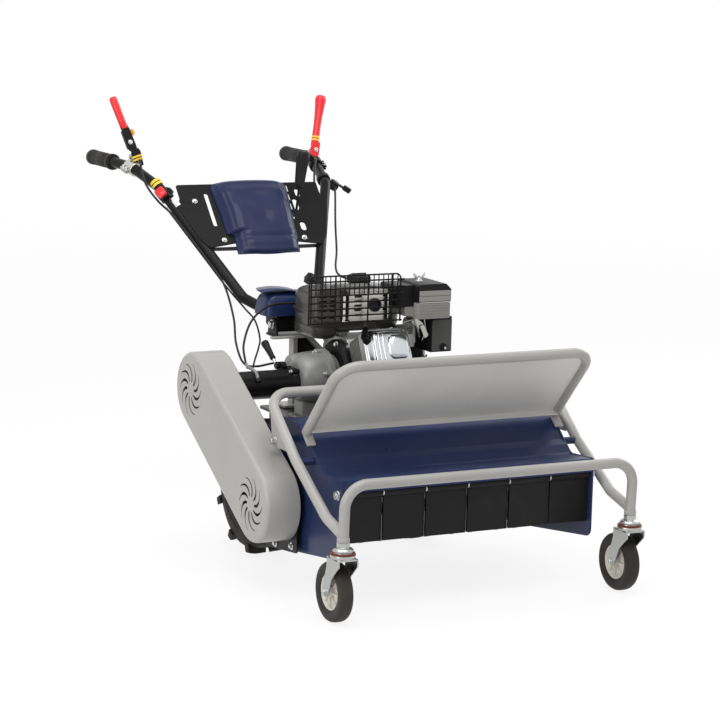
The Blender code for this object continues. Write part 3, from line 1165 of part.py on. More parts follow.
def make_console(machine):
    low, high = PLATE_HEIGHT, PLATE_HEIGHT + PLATE_THICKNESS
    adds = []
    cuts = []
    for side in SIDES.values():
        outline = [(0.070, 0.052), (0.148, 0.040), (0.166, 0.066), (0.198, 0.162), (0.186, 0.186),
                   (0.186, 0.226), (0.070, 0.226)]
        outline = [(side * a, b) for a, b in outline][::side]
        adds.append(prism_mesh(outline, "z", low, high))
    adds.append(prism_mesh([(-0.075, 0.150), (0.075, 0.150), (0.075, 0.190), (-0.075, 0.190)], "z",
                           low + 0.0002, high - 0.0002))
    # Slot and round holes in the right wing, two oval holes and the lever slot in the left
    shapes = [rounded_rectangle(-0.116, 0.150, 0.005, 0.048, 0.0045),
              rounded_rectangle(-0.150, 0.176, 0.0055, 0.0055, 0.005),
              rounded_rectangle(0.112, 0.094, 0.007, 0.012, 0.0065),
              rounded_rectangle(0.126, 0.194, 0.006, 0.011, 0.0055),
              rounded_rectangle(GEAR_LEVER_SPREAD, GEAR_LEVER_ALONG + 0.0165, 0.0065, 0.0165, 0.006)]
    for shape in shapes:
        cuts.append(prism_mesh(shape, "z", low - 0.01, high + 0.01))
    # Two lugs under the left wing carry the gear lever
    for s in (-1, 1):
        x = GEAR_LEVER_SPREAD + s * 0.0080
        adds.append(box_mesh((x - 0.002, GEAR_LEVER_ALONG - 0.007, low - 0.018),
                             (x + 0.002, GEAR_LEVER_ALONG + 0.007, low + 0.001)))
    pivot_z = low - 0.011
    hole = rod_mesh((GEAR_LEVER_SPREAD - 0.02, GEAR_LEVER_ALONG, pivot_z),
                    (GEAR_LEVER_SPREAD + 0.02, GEAR_LEVER_ALONG, pivot_z),
                    circumscribed(0.0025 + RUNNING_GAP, 8), sides=8)
    cuts.append(hole)
    adds = [turned_copy(shape, CONSOLE_FRAME) for shape in adds]
    cuts = [turned_copy(shape, CONSOLE_FRAME) for shape in cuts]
    finished("console_bracket", adds, "black_paint", machine, cuts, origin=TILT_PIVOT)

    # Moulded panel: bevelled sides and a raised, dished middle
    base = high + GAP
    sections = [(0.008, 0.079, 0.000, 0.012), (0.024, 0.081, 0.004, 0.024), (0.085, 0.088, 0.004, 0.030),
                (0.135, 0.093, 0.004, 0.034), (0.180, 0.098, 0.004, 0.030), (0.212, 0.101, 0.004, 0.022),
                (0.226, 0.101, 0.000, 0.008)]
    rings = []
    for v, half, lip, rise in sections:
        shape = [(-half, 0.0), (-half, 0.003 + lip), (-half + 0.016, rise * 0.75), (-half + 0.030, rise),
                 (0.0, rise + 0.003), (half - 0.030, rise), (half - 0.016, rise * 0.75), (half, 0.003 + lip),
                 (half, 0.0)]
        rings.append([(a, v, base + b) for a, b in shape])
    panel = loft_mesh(rings)
    finished("console_panel", [turned_copy(panel, CONSOLE_FRAME)], "blue_paint", machine, origin=TILT_PIVOT)


def lever_direction(side):
    return Vector((side * 0.270, 0.316, 0.908)).normalized()


def make_hand_levers(machine):
    for name, side in SIDES.items():
        path = rounded_path(handle_path(side), 0.035, 2)
        x = DRIVE_CENTRE_X
        pivot = Vector((x + side * LEVER_PIVOT_HALF_SPREAD, LEVER_PIVOT_Y, LEVER_PIVOT_Z))
        axis = lever_direction(side).cross(Vector((0, 1, 0))).normalized()
        ahead = Vector((0, 1, 0))
        # Clamp block round the tube, with two cheeks that hold the lever's pin
        tube_centre = Vector((x + side * 0.2455, 1.248, 0.7990))
        run = (Vector(handle_path(side)[4]) - Vector(handle_path(side)[3])).normalized()
        block = rod_mesh(tube_centre - run * 0.016, tube_centre + run * 0.016, 0.0175, sides=12)
        cheeks = []
        lift = axis.cross(ahead).normalized()
        if lift.z < 0:
            lift = -lift
        for near, far, bottom, top in ((-0.0105, -0.0065, -0.016, 0.007), (0.0065, 0.0105, -0.016, 0.007),
                                       (-0.0100, 0.0100, -0.022, -0.011)):
            corners = [[pivot + axis * a + ahead * b + lift * c for b, c in
                        ((-0.010, bottom), (0.010, bottom), (0.009, top), (-0.009, top))] for a in (near, far)]
            cheeks.append(loft_mesh(corners))
        hole = circumscribed(0.003 + RUNNING_GAP, 10)
        cuts = [swept_mesh(path, HANDLE_TUBE_RADIUS + GAP, 10),
                rod_mesh(pivot - axis * 0.02, pivot + axis * 0.02, hole, sides=10)]
        finished(f"lever_clamp_{name}", [block, *cheeks], "zinc", machine, cuts, origin=TILT_PIVOT)

        up = lever_direction(side)
        shoulder = LEVER_LENGTH - 0.006
        adds = [rod_mesh(pivot - axis * 0.0112, pivot + axis * 0.0112, 0.003, sides=10),
                rod_mesh(pivot - axis * 0.0060, pivot + axis * 0.0060, 0.0065, sides=12),
                rod_mesh(pivot, pivot + up * 0.058, 0.0055, 0.0070, sides=10),
                rod_mesh(pivot + up * 0.050, pivot + up * shoulder, 0.0075, 0.0095, sides=12),
                rod_mesh(pivot + up * (shoulder - 0.001), pivot + up * LEVER_LENGTH, 0.0094, 0.0055, sides=12)]
        finished(f"hand_lever_{name}", adds, "red_plastic", machine, origin=pivot)


def tube_frame(side, y):
    """A frame on a handle tube: X outwards, Y along the tube, Z above it."""
    knots = [Vector(knot) for knot in handle_path(side)]
    for start, end in zip(knots, knots[1:]):
        if start.y <= y <= end.y:
            break
    run = (end - start).normalized()
    centre = start.lerp(end, (y - start.y) / (end.y - start.y))
    above = (CONSOLE_NORMAL - run * run.dot(CONSOLE_NORMAL)).normalized()
    outward = run.cross(above) * side
    return Matrix((
        (outward.x, run.x, above.x, centre.x),
        (outward.y, run.y, above.y, centre.y),
        (outward.z, run.z, above.z, centre.z),
        (0, 0, 0, 1)))


def beside_tube(side, y, outward, above):
    """A point beside a handle tube, at a distance outwards and above its centre line."""
    return tube_frame(side, y) @ Vector((outward, 0, above))


def throttle_frame():
    return tube_frame(SIDES["left"], 1.160) @ Matrix.Rotation(math.radians(22), 4, "Y")


def make_small_controls(machine):
    # Stop switch on the right tube, just below its bend
    frame = tube_frame(SIDES["right"], 1.122) @ Matrix.Rotation(math.radians(45), 4, "Y")
    ring = rod_mesh((0, -0.013, 0), (0, 0.013, 0), 0.0165, sides=14)
    pod = box_mesh((-0.012, -0.013, 0.008), (0.012, 0.013, 0.027))
    seat = circumscribed(HANDLE_TUBE_RADIUS + 2 * GAP, 14)
    tube_cut = rod_mesh((0, -0.03, 0), (0, 0.03, 0), seat, sides=14)
    well = rod_mesh((0, 0, 0.021), (0, 0, 0.035), circumscribed(0.008 + SLIDING_GAP, 14), sides=14)
    shapes = [turned_copy(shape, frame) for shape in (ring, pod, tube_cut, well)]
    finished("stop_switch", shapes[:2], "black_plastic", machine, shapes[2:], origin=TILT_PIVOT)
    button = turned_copy(rod_mesh((0, 0, 0.0245), (0, 0, 0.034), 0.008, 0.0075, sides=14), frame)
    finished("stop_button", [button], "red_plastic", machine, origin=frame @ Vector((0, 0, 0.0245)))

    # Throttle on the outer side of the left tube
    frame = throttle_frame()
    drum_centre = 0.031
    ring = rod_mesh((0, -0.009, 0), (0, 0.009, 0), 0.0165, sides=14)
    bridge = box_mesh((0.010, -0.008, -0.008), (drum_centre - 0.008, 0.008, 0.004))
    drum = rod_mesh((drum_centre, 0, -0.009), (drum_centre, 0, 0.006), 0.014, sides=14)
    pin = rod_mesh((drum_centre, 0, 0.004), (drum_centre, 0, 0.0135), 0.003, sides=10)
    tube_cut = rod_mesh((0, -0.03, 0), (0, 0.03, 0), seat, sides=14)
    shapes = [turned_copy(shape, frame) for shape in (ring, bridge, drum, pin, tube_cut)]
    finished("throttle_housing", shapes[:4], "black_plastic", machine, shapes[4:], origin=TILT_PIVOT)
    disc = rod_mesh((drum_centre, 0, 0.0065), (drum_centre, 0, 0.0125), 0.0125, sides=14)
    paddle = [(0.004, -0.0045), (0.024, -0.006), (0.040, -0.009), (0.046, -0.003), (0.042, 0.004),
              (0.024, 0.004), (0.004, 0.0045)]
    arm = prism_mesh([(drum_centre + a, b) for a, b in paddle], "z", 0.0070, 0.0118)
    hole = circumscribed(0.003 + RUNNING_GAP, 10)
    bore = rod_mesh((drum_centre, 0, 0.0), (drum_centre, 0, 0.02), hole, sides=10)
    shapes = [turned_copy(shape, frame) for shape in (disc, arm, bore)]
    finished("throttle_lever", shapes[:2], "black_plastic", machine, shapes[2:],
             origin=frame @ Vector((drum_centre, 0, 0.0065)))

    # Gear lever through the slot of the console's left wing
    pivot = CONSOLE_FRAME @ Vector((GEAR_LEVER_SPREAD, GEAR_LEVER_ALONG, PLATE_HEIGHT - 0.011))
    up = Vector((0.10, -0.02, 1.0)).normalized()
    adds = [rod_mesh(pivot - Vector((0.0105, 0, 0)), pivot + Vector((0.0105, 0, 0)), 0.0025, sides=8),
            rod_mesh(pivot - Vector((0.0055, 0, 0)), pivot + Vector((0.0055, 0, 0)), 0.0055, sides=10),
            rod_mesh(pivot, pivot + up * 0.085, 0.003, sides=8),
            rod_mesh(pivot + up * 0.078, pivot + up * 0.146, 0.0065, 0.0105, sides=14),
            rod_mesh(pivot + up * 0.145, pivot + up * 0.152, 0.0105, 0.0075, sides=14)]
    finished("gear_lever", adds, "black_plastic", machine, origin=pivot)

    # Clamp knob on the foot of the left tube
    foot = tube_frame(SIDES["left"], 0.935)
    axis = (foot.to_3x3() @ Vector((-0.92, 0, 0.40))).normalized()
    knob_start = foot.translation + axis * (HANDLE_TUBE_RADIUS + SLIDING_GAP)
    adds = [rod_mesh(knob_start, knob_start + axis * 0.010, 0.008, sides=12),
            rod_mesh(knob_start + axis * 0.008, knob_start + axis * 0.024, 0.015, 0.013, sides=10)]
    finished("clamp_knob", adds, "black_plastic", machine, origin=knob_start)


# Control cables, held all the way from the handlebar to the drive line
CABLE_RADIUS = 0.0028


def cable_routes():
    right, left = SIDES["right"], SIDES["left"]
    by_tube = HANDLE_TUBE_RADIUS + CABLE_RADIUS + SLIDING_GAP
    clutch = [
        (-0.276, 1.2374, 0.8150), (-0.276, 1.226, 0.815), (-0.287, 1.198, 0.819),
        beside_tube(right, 1.160, 0.024, 0.006),
        beside_tube(right, 1.122, 0.017, -0.014), beside_tube(right, 1.080, by_tube + 0.001, 0.0),
        beside_tube(right, 1.000, by_tube, 0.0), beside_tube(right, 0.950, by_tube + 0.002, -0.004),
        (-0.172, 0.892, 0.482), (-0.190, 0.835, 0.430), (-0.200, 0.770, 0.395), (-0.184, 0.735, 0.392),
        (-0.145, 0.716, 0.401), (-0.108, 0.6965, 0.402),
    ]
    belt = [
        (0.196, 1.2374, 0.8150), (0.196, 1.226, 0.815), (0.180, 1.195, 0.809), (0.158, 1.155, 0.770),
        (0.154, 1.125, 0.722),
        beside_tube(left, 1.070, 0.0, -by_tube - 0.001), beside_tube(left, 0.990, 0.0, -by_tube),
        beside_tube(left, 0.945, 0.006, -by_tube - 0.001), (0.076, 0.895, 0.502), (0.080, 0.835, 0.508),
        (0.076, 0.785, 0.518), (0.048, 0.7605, 0.528), (-0.010, 0.760, 0.530), (-0.080, 0.760, 0.530),
        (-0.145, 0.752, 0.528), (-0.200, 0.728, 0.500), (-0.232, 0.700, 0.452), (-0.240, 0.672, 0.418),
        (-0.242, 0.655, 0.4045),
    ]
    throttle = [
        throttle_frame() @ Vector((0.031, -0.0155, 0)), throttle_frame() @ Vector((0.029, -0.042, -0.004)),
        (0.172, 1.060, 0.672), (0.142, 0.990, 0.615), (0.108, 0.925, 0.586), (0.090, 0.870, 0.574),
        (0.096, 0.815, 0.569), (0.122, 0.768, 0.567), (0.148, 0.715, 0.564), (0.154, 0.650, 0.557),
        (0.149, 0.600, 0.543), (0.146, 0.5605, 0.525),
    ]
    return clutch, belt, throttle


def smooth_route(knots, count):
    """Points at even steps along a smooth curve through the knots."""
    knots = [Vector(k) for k in knots]
    fine = []
    for i in range(len(knots) - 1):
        a = knots[max(i - 1, 0)]
        b, c = knots[i], knots[i + 1]
        d = knots[min(i + 2, len(knots) - 1)]
        for k in range(12):
            t = k / 12
            fine.append(0.5 * (2 * b + (c - a) * t + (2 * a - 5 * b + 4 * c - d) * t * t
                               + (3 * b - a - 3 * c + d) * t * t * t))
    fine.append(knots[-1])
    lengths = [0.0]
    for p, q in zip(fine, fine[1:]):
        lengths.append(lengths[-1] + (q - p).length)
    points = []
    for k in range(count):
        goal = lengths[-1] * k / (count - 1)
        i = max(j for j in range(len(lengths)) if lengths[j] <= goal + 1e-9)
        if i == len(fine) - 1:
            points.append(fine[-1])
            continue
        share = (goal - lengths[i]) / (lengths[i + 1] - lengths[i])
        points.append(fine[i].lerp(fine[i + 1], share))
    return points


def make_cable(machine, name, knots, count):
    curve = bpy.data.curves.new(name, "CURVE")
    curve.dimensions = "3D"
    curve.bevel_depth = CABLE_RADIUS
    curve.bevel_resolution = 2
    curve.use_fill_caps = True
    points = smooth_route(knots, count)
    spline = curve.splines.new("POLY")
    spline.points.add(count - 1)
    for slot, point in zip(spline.points, points):
        slot.co = (*point, 1.0)
    curve.materials.append(make_material(name, *FINISHES["cable_black"]))
    cable = bpy.data.objects.new(name, curve)
    bpy.context.scene.collection.objects.link(cable)
    cable.parent = machine


def make_cables(machine):
    clutch, belt, throttle = cable_routes()
    make_cable(machine, "clutch_cable", clutch, 24)
    make_cable(machine, "belt_cable", belt, 30)
    make_cable(machine, "throttle_cable", throttle, 20)


def centre_on_footprint(machine):
    """Moves the machine so that its bounding box stands centred on the origin."""
    bpy.context.view_layer.update()
    depsgraph = bpy.context.evaluated_depsgraph_get()
    low, high = Vector((9, 9, 9)), Vector((-9, -9, -9))
    for part in machine.children:
        evaluated = part.evaluated_get(depsgraph)
        mesh = evaluated.to_mesh()
        for vertex in mesh.vertices:
            place = evaluated.matrix_world @ vertex.co
            for i in range(3):
                low[i] = min(low[i], place[i])
                high[i] = max(high[i], place[i])
        evaluated.to_mesh_clear()
    machine.location = (-(low.x + high.x) / 2, -(low.y + high.y) / 2, -low.z)
    bpy.context.view_layer.update()


def main():
    for shape in list(bpy.data.objects):
        bpy.data.objects.remove(shape)
    machine = bpy.data.objects.new("machine", None)
    bpy.context.scene.collection.objects.link(machine)
    make_deck(machine)
    make_flaps(machine)
    make_rotor(machine)
    make_belt_drive(machine)
    make_caster_frame(machine)
    make_guard(machine)
    make_casters(machine)
    make_wheels(machine)
    make_bed_frame(machine)
    make_transmission(machine)
    make_gearbox(machine)
    make_pto_lever(machine)
    make_engine(machine)
    make_handle_mount(machine)
    make_handlebar(machine)
    make_cables(machine)
    centre_on_footprint(machine)


main()
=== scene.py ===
# %% [markdown]
# # A hammer knife mower
# A hammer knife mower is a wide steel deck on two front casters. A petrol engine over two
# driven wheels pushes it, and a belt on the operator's right turns a rotor of swinging hammers.
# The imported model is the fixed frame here. Every piece below is made in the machine's own
# measures, stands in for a plain solid or is added to it, and rides on one of its bodies.

# %% Load the frame
import json
import math

import bmesh
import bpy
from mathutils import Matrix, Vector


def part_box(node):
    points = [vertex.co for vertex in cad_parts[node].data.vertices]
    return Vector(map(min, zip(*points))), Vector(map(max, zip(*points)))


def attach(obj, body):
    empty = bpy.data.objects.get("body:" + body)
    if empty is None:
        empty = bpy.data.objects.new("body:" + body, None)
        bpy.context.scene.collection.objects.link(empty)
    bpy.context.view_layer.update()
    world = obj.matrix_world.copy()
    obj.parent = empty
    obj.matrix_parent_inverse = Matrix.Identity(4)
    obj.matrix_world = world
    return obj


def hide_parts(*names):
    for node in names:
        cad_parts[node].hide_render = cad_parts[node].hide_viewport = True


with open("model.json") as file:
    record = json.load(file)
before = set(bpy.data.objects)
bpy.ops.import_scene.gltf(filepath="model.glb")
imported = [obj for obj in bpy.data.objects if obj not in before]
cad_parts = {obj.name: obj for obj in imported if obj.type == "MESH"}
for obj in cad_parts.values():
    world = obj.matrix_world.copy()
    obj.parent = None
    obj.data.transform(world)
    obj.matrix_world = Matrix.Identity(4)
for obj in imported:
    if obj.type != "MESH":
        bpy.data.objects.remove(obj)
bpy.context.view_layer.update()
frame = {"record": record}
BODY_OF = {node: body for body, nodes in frame["record"]["behaviour"]["bodies"].items() for node in nodes}

# %% [markdown]
# The machine was drawn from the point on the ground under the casters' axles, midway between
# them. The frame's zero is the middle of its footprint, so all points move by one offset. The
# left caster wheel gives it, because its middle has known measures in the drawing.

# %% The drawing's zero in the frame
TRACK, CASTER_AXLE = 0.3405, 0.0625
caster_low, caster_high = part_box("caster_wheel_left")
ZERO = (caster_low + caster_high) / 2 - Vector((TRACK, 0.0, CASTER_AXLE))
SIDES = {"right": -1, "left": 1}
MID_X = -0.04
print("drawing's zero", [round(v, 5) for v in ZERO])

# %% [markdown]
# Shader maths reads best as plain sums. This small class holds one output socket, and each
# operator adds the Math node that it stands for, also with a number on the left.


# %% Sums on sockets
class Wire:
    def __init__(self, tree, socket):
        self.tree = tree
        self.socket = socket

    def maths(self, operation, first, second):
        node = self.tree.nodes.new("ShaderNodeMath")
        node.operation = operation
        for slot, value in zip(node.inputs, (first, second)):
            if isinstance(value, Wire):
                self.tree.links.new(value.socket, slot)
            else:
                slot.default_value = value
        return Wire(self.tree, node.outputs[0])

    def __add__(self, other):
        return self.maths("ADD", self, other)

    def __sub__(self, other):
        return self.maths("SUBTRACT", self, other)

    def __rsub__(self, other):
        return self.maths("SUBTRACT", other, self)

    def __mul__(self, other):
        return self.maths("MULTIPLY", self, other)

    __radd__ = __add__
    __rmul__ = __mul__


# %% [markdown]
# A finish starts as a Principled shader with its plain values. One method adds any other node:
# its type, its settings, a ramp's stops, then the values or links of its sockets. Patterns read
# Object coordinates, which are metres in the frame, so a scale of 1000 is about a millimetre.


# %% A finish and its nodes
class Finish:
    def __init__(self, name, roughness=0.5, metallic=0.0, **fixed):
        self.material = bpy.data.materials.new(name)
        self.material.use_nodes = True
        self.tree = self.material.node_tree
        self.shader = self.tree.nodes["Principled BSDF"]
        self.shader.inputs["Roughness"].default_value = roughness
        self.shader.inputs["Metallic"].default_value = metallic
        for socket, value in fixed.items():
            self.shader.inputs[socket.replace("_", " ")].default_value = value
        self.place = self.node("TexCoord", out="Object")

    def node(self, kind, out=0, settings=None, stops=None, inputs=None):
        made = self.tree.nodes.new("ShaderNode" + kind)
        for key, value in (settings or {}).items():
            setattr(made, key, value)
        for index, (position, colour) in enumerate(stops or []):
            stop = made.color_ramp.elements[index] if index < 2 else made.color_ramp.elements.new(position)
            stop.position = position
            stop.color = colour
        for key, value in (inputs or {}).items():
            self.feed(made.inputs[key], value)
        return Wire(self.tree, made.outputs[out])

    def feed(self, socket, value):
        if isinstance(value, Wire):
            self.tree.links.new(value.socket, socket)
        else:
            socket.default_value = value

    def noise(self, scale, detail=2.0, stretch=None):
        place = self.place
        if stretch:
            place = self.node("Mapping", inputs={"Vector": place, "Scale": stretch})
        return self.node("TexNoise", inputs={"Vector": place, "Scale": scale, "Detail": detail})

    def band(self, value, low, high):
        return self.node("MapRange", settings={"interpolation_type": "SMOOTHSTEP"},
            inputs={"Value": value, "From Min": low, "From Max": high})

    def glaze(self, share, under, over):
        inputs = {0: share, 6: under, 7: (*over, 1.0)}
        return self.node("Mix", out=2, settings={"data_type": "RGBA"}, inputs=inputs)

    def tint(self, share, first, second):
        return self.glaze(share, (*first, 1.0), second)

    def paint(self, **sockets):
        for name, value in sockets.items():
            self.feed(self.shader.inputs[name.replace("_", " ")], value)
        return self

    def relief(self, height, distance, strength=1.0):
        inputs = {"Height": height, "Distance": distance, "Strength": strength}
        return self.paint(Normal=self.node("Bump", inputs=inputs))


def shade(colour, factor):
    return tuple(min(1.0, channel * factor) for channel in colour)


# %% [markdown]
# The steelwork is powder coated. The coat has a fine orange peel, its gloss changes a little
# from place to place, and a thin film of dust lies in patches. One recipe makes the navy blue,
# the warm grey and the black, which differ only in colour, gloss and dust. It also makes the
# guard sheet's coat, which is the warm grey painted paler to stand for the light on it.


# %% Powder coats
def powder_coat(name, colour, roughness, dust=0.06, peel=0.0001, gloss=1.0):
    finish = Finish(name, Coat_Roughness=0.1, Specular_IOR_Level=0.28 * gloss)
    broad = finish.noise(7.0, 3.0)
    fine = finish.noise(420.0, 2.0)
    film = finish.band(finish.noise(3.1, 3.0), 0.38, 0.78)
    base = finish.tint(broad, shade(colour, 0.9), shade(colour, 1.1))
    base = finish.glaze(film * dust, base, (0.55, 0.53, 0.5))
    finish.paint(Base_Color=base, Roughness=roughness + 0.1 * broad + film * 0.05,
        Coat_Weight=gloss * (0.16 - 0.05 * film))
    return finish.relief(fine, peel).material


NAVY = powder_coat("navy_powder_coat", (0.012, 0.022, 0.074), 0.24, dust=0.02, gloss=0.6)
WARM_GREY = powder_coat("warm_grey_powder_coat", (0.325, 0.318, 0.303), 0.27, dust=0.03)
# The guard sheet's coat is the warm grey painted paler, and its extra lightness is painted light.
LIT_GUARD_GREY = powder_coat("guard_sheet_coat_painted_light", (0.56, 0.55, 0.525), 0.34, dust=0.02)
BLACK = powder_coat("black_powder_coat", (0.0065, 0.0065, 0.007), 0.24, dust=0.012, gloss=0.35)
print("powder coats", NAVY.name, WARM_GREY.name, LIT_GUARD_GREY.name, BLACK.name)

# %% [markdown]
# Castings come out of the mould with a pebbled skin. Plating over pressed steel is brighter,
# with a faint yellow and blue cloud. Turned and drawn steel shows fine lines along one way,
# which a noise stretched along that way gives.


# %% Bare and plated metals
def casting(name, colour, roughness, metallic, skin=0.00035):
    finish = Finish(name)
    broad = finish.noise(16.0, 4.0)
    pebble = finish.noise(900.0, 4.0)
    stain = finish.band(finish.noise(30.0, 5.0), 0.52, 0.75)
    base = finish.tint(broad, shade(colour, 0.82), shade(colour, 1.15))
    base = finish.glaze(stain * 0.35, base, shade(colour, 0.45))
    finish.paint(Base_Color=base, Roughness=roughness + 0.15 * pebble, Metallic=metallic - 0.25 * stain)
    return finish.relief(pebble, skin).material


def plating(name, colour, roughness, lines=(1.0, 1.0, 1.0), tone=(1.04, 1.0, 0.9)):
    finish = Finish(name, metallic=1.0)
    cloud = finish.noise(38.0, 3.0)
    drawn = finish.noise(320.0, 3.0, stretch=lines)
    warm = tuple(min(1.0, c * t) for c, t in zip(colour, tone))
    finish.paint(Base_Color=finish.tint(cloud, warm, shade(colour, 1.05)), Roughness=roughness
        + 0.16 * drawn)
    return finish.relief(drawn, 0.00006).material


CAST_GREY = casting("grey_painted_casting", (0.222, 0.225, 0.213), 0.3, 0.1, 0.0002)
CAST_ALUMINIUM = casting("bare_aluminium_casting", (0.46, 0.455, 0.44), 0.32, 0.85)
ZINC = plating("zinc_plate", (0.43, 0.45, 0.455), 0.22)
BOLT_ZINC = plating("bright_bolt_zinc", (0.58, 0.59, 0.6), 0.16)
BRIGHT_COVER = plating("bright_pressed_cover", (0.62, 0.63, 0.64), 0.14, tone=(0.98, 1.0, 1.02))
HEAT_PLATE = plating("muffler_face_plate", (0.66, 0.655, 0.64), 0.24, (1.0, 1.0, 0.1))
BARE_STEEL = plating("worn_bare_steel", (0.34, 0.33, 0.32), 0.3)
print("metals", 7)

# %% [markdown]
# Moulded plastic has a spark-eroded grain a fraction of a millimetre wide. Rubber is duller,
# its grain is softer, and it holds more dust. The flaps are sheet rubber with woven cloth
# inside, whose threads print through as a faint square pattern.


# %% Plastics and rubbers
def moulded(name, colour, roughness, grain=0.00006, coat=0.0, dust=0.03, gloss=0.26):
    finish = Finish(name, Coat_Weight=coat, Coat_Roughness=0.08, Specular_IOR_Level=gloss)
    broad = finish.noise(14.0, 3.0)
    fine = finish.noise(1500.0, 2.0)
    film = finish.band(finish.noise(5.0, 4.0), 0.5, 0.8)
    base = finish.tint(broad, shade(colour, 0.88), shade(colour, 1.12))
    base = finish.glaze(film * dust, base, (0.45, 0.43, 0.4))
    finish.paint(Base_Color=base, Roughness=roughness + 0.12 * broad)
    return finish.relief(fine, grain).material


def rubber(name, colour, roughness, dust=0.1, skin=0.0002):
    finish = Finish(name, Specular_IOR_Level=0.18)
    broad = finish.noise(22.0, 4.0)
    fine = finish.noise(700.0, 3.0)
    film = finish.band(finish.noise(11.0, 5.0), 0.45, 0.85)
    base = finish.tint(broad, shade(colour, 0.8), shade(colour, 1.25))
    base = finish.glaze(film * dust, base, (0.3, 0.28, 0.25))
    finish.paint(Base_Color=base, Roughness=roughness + 0.12 * fine)
    return finish.relief(fine, skin).material


def flap_sheet(name, colour):
    finish = Finish(name, Specular_IOR_Level=0.16)
    weave = []
    for turn in (0.0, math.pi / 2):
        place = finish.node("Mapping", inputs={"Vector": finish.place, "Rotation": (0.0, turn, 0.0)})
        weave.append(finish.node("TexWave", out=1, inputs={"Vector": place, "Scale": 90.0,
            "Distortion": 0.6}))
    broad = finish.noise(12.0, 4.0)
    film = finish.band(finish.noise(9.0, 5.0), 0.5, 0.85)
    base = finish.tint(broad, shade(colour, 0.8), shade(colour, 1.3))
    base = finish.glaze(film * 0.03, base, (0.28, 0.27, 0.25))
    finish.paint(Base_Color=base, Roughness=0.3 + 0.16 * broad)
    return finish.relief(weave[0] * 0.5 + weave[1] * 0.5, 0.00012).material


BLACK_PLASTIC = moulded("black_moulded_plastic", (0.01, 0.01, 0.011), 0.34, gloss=0.14)
DARK_PLASTIC = moulded("charcoal_moulded_plastic", (0.036, 0.036, 0.036), 0.4, 0.0001, gloss=0.18)
GREY_PLASTIC = moulded("stone_grey_moulded_plastic", (0.16, 0.152, 0.146), 0.42, 0.0001)
PALE_PLASTIC = moulded("pale_grey_moulded_plastic", (0.27, 0.265, 0.25), 0.4)
NAVY_PLASTIC = moulded("navy_moulded_plastic", (0.012, 0.018, 0.058), 0.26, 0.00004, coat=0.04, gloss=0.18)
COPPER_SEAL = moulded("copper_red_seal", (0.2, 0.055, 0.04), 0.42)
RED_PLASTIC = moulded("red_moulded_plastic", (0.66, 0.018, 0.026), 0.3, coat=0.25, dust=0.0)
ORANGE_PLASTIC = moulded("orange_moulded_plastic", (0.85, 0.26, 0.02), 0.35, dust=0.0)
GOLD_TAPE = moulded("yellow_tape", (0.8, 0.52, 0.05), 0.32, dust=0.0)
WHITE_PLASTIC = moulded("white_moulded_plastic", (0.78, 0.78, 0.75), 0.35, dust=0.0)
CREAM_PLASTIC = moulded("cream_caster_hub", (0.55, 0.53, 0.47), 0.42, dust=0.05)
GRIP_RUBBER = rubber("hand_grip_rubber", (0.02, 0.019, 0.018), 0.42, dust=0.05)
CASTER_RUBBER = rubber("caster_tread_rubber", (0.026, 0.022, 0.02), 0.48, dust=0.06)
TYRE_RUBBER = rubber("tractor_tyre_rubber", (0.017, 0.015, 0.014), 0.55, dust=0.07)
CABLE_SHEATH = rubber("cable_sheath", (0.012, 0.012, 0.012), 0.3, dust=0.02, skin=0.00004)
FLAP_RUBBER = flap_sheet("cloth_backed_flap_rubber", (0.0075, 0.0075, 0.0075))
BELT_RUBBER = rubber("drive_belt_rubber", (0.014, 0.013, 0.013), 0.6)
print("plastics and rubbers", 17)

# %% [markdown]
# Most pieces are built from a few kinds of closed shells: boxes, rods, turned profiles, flat
# outlines given a depth, and skins stretched over rings. Each helper returns its own mesh, and a
# piece gathers as many as it needs, because on the real machine they are welded or moulded
# together. A shell that is made lying about the zero can be placed by a matrix.


# %% Shells
def box_shell(low, high):
    mesh = bmesh.new()
    bmesh.ops.create_cube(mesh, size=1.0)
    size = [b - a for a, b in zip(low, high)]
    middle = [(a + b) / 2 for a, b in zip(low, high)]
    bmesh.ops.scale(mesh, vec=size, verts=mesh.verts)
    bmesh.ops.translate(mesh, vec=middle, verts=mesh.verts)
    return mesh


def rod_shell(start, end, radius, end_radius=None, sides=32):
    start, end = Vector(start), Vector(end)
    run = end - start
    place = Matrix.Translation((start + end) / 2) @ run.to_track_quat("Z", "Y").to_matrix().to_4x4()
    mesh = bmesh.new()
    bmesh.ops.create_cone(mesh, cap_ends=True, segments=sides, radius1=radius, radius2=radius
        if end_radius is None else end_radius, depth=run.length, matrix=place)
    return mesh


def ring_shell(rings, closed=False):
    mesh = bmesh.new()
    loops = [[mesh.verts.new(point) for point in ring] for ring in rings]
    pairs = list(zip(loops, loops[1:] + loops[:1] * closed))
    for first, second in pairs:
        for i in range(len(first)):
            j = (i + 1) % len(first)
            mesh.faces.new((first[i], first[j], second[j], second[i]))
    if not closed:
        mesh.faces.new(loops[0])
        mesh.faces.new(loops[-1])
    bmesh.ops.recalc_face_normals(mesh, faces=mesh.faces)
    return mesh


def plate_shell(outline, axis, low, high):
    order = {"x": lambda a, b, c: (c, a, b), "y": lambda a, b, c: (a, c, b), "z": lambda a, b,
        c: (a, b, c)}[axis]
    return ring_shell([[order(a, b, level) for a, b in outline] for level in (low, high)])


def turned_shell(profile, centre, axis, sides=48):
    turn = Vector(axis).to_track_quat("Z", "Y").to_matrix()
    rings = []
    for k in range(sides):
        angle = 2 * math.pi * k / sides
        spoke = turn @ Vector((math.cos(angle), math.sin(angle), 0))
        rings.append([Vector(centre) + spoke * r + turn @ Vector((0, 0, h)) for r, h in profile])
    mesh = ring_shell(rings, closed=True)
    bmesh.ops.remove_doubles(mesh, verts=mesh.verts, dist=1e-6)
    bmesh.ops.dissolve_degenerate(mesh, edges=mesh.edges, dist=1e-7)
    bmesh.ops.recalc_face_normals(mesh, faces=mesh.faces)
    return mesh


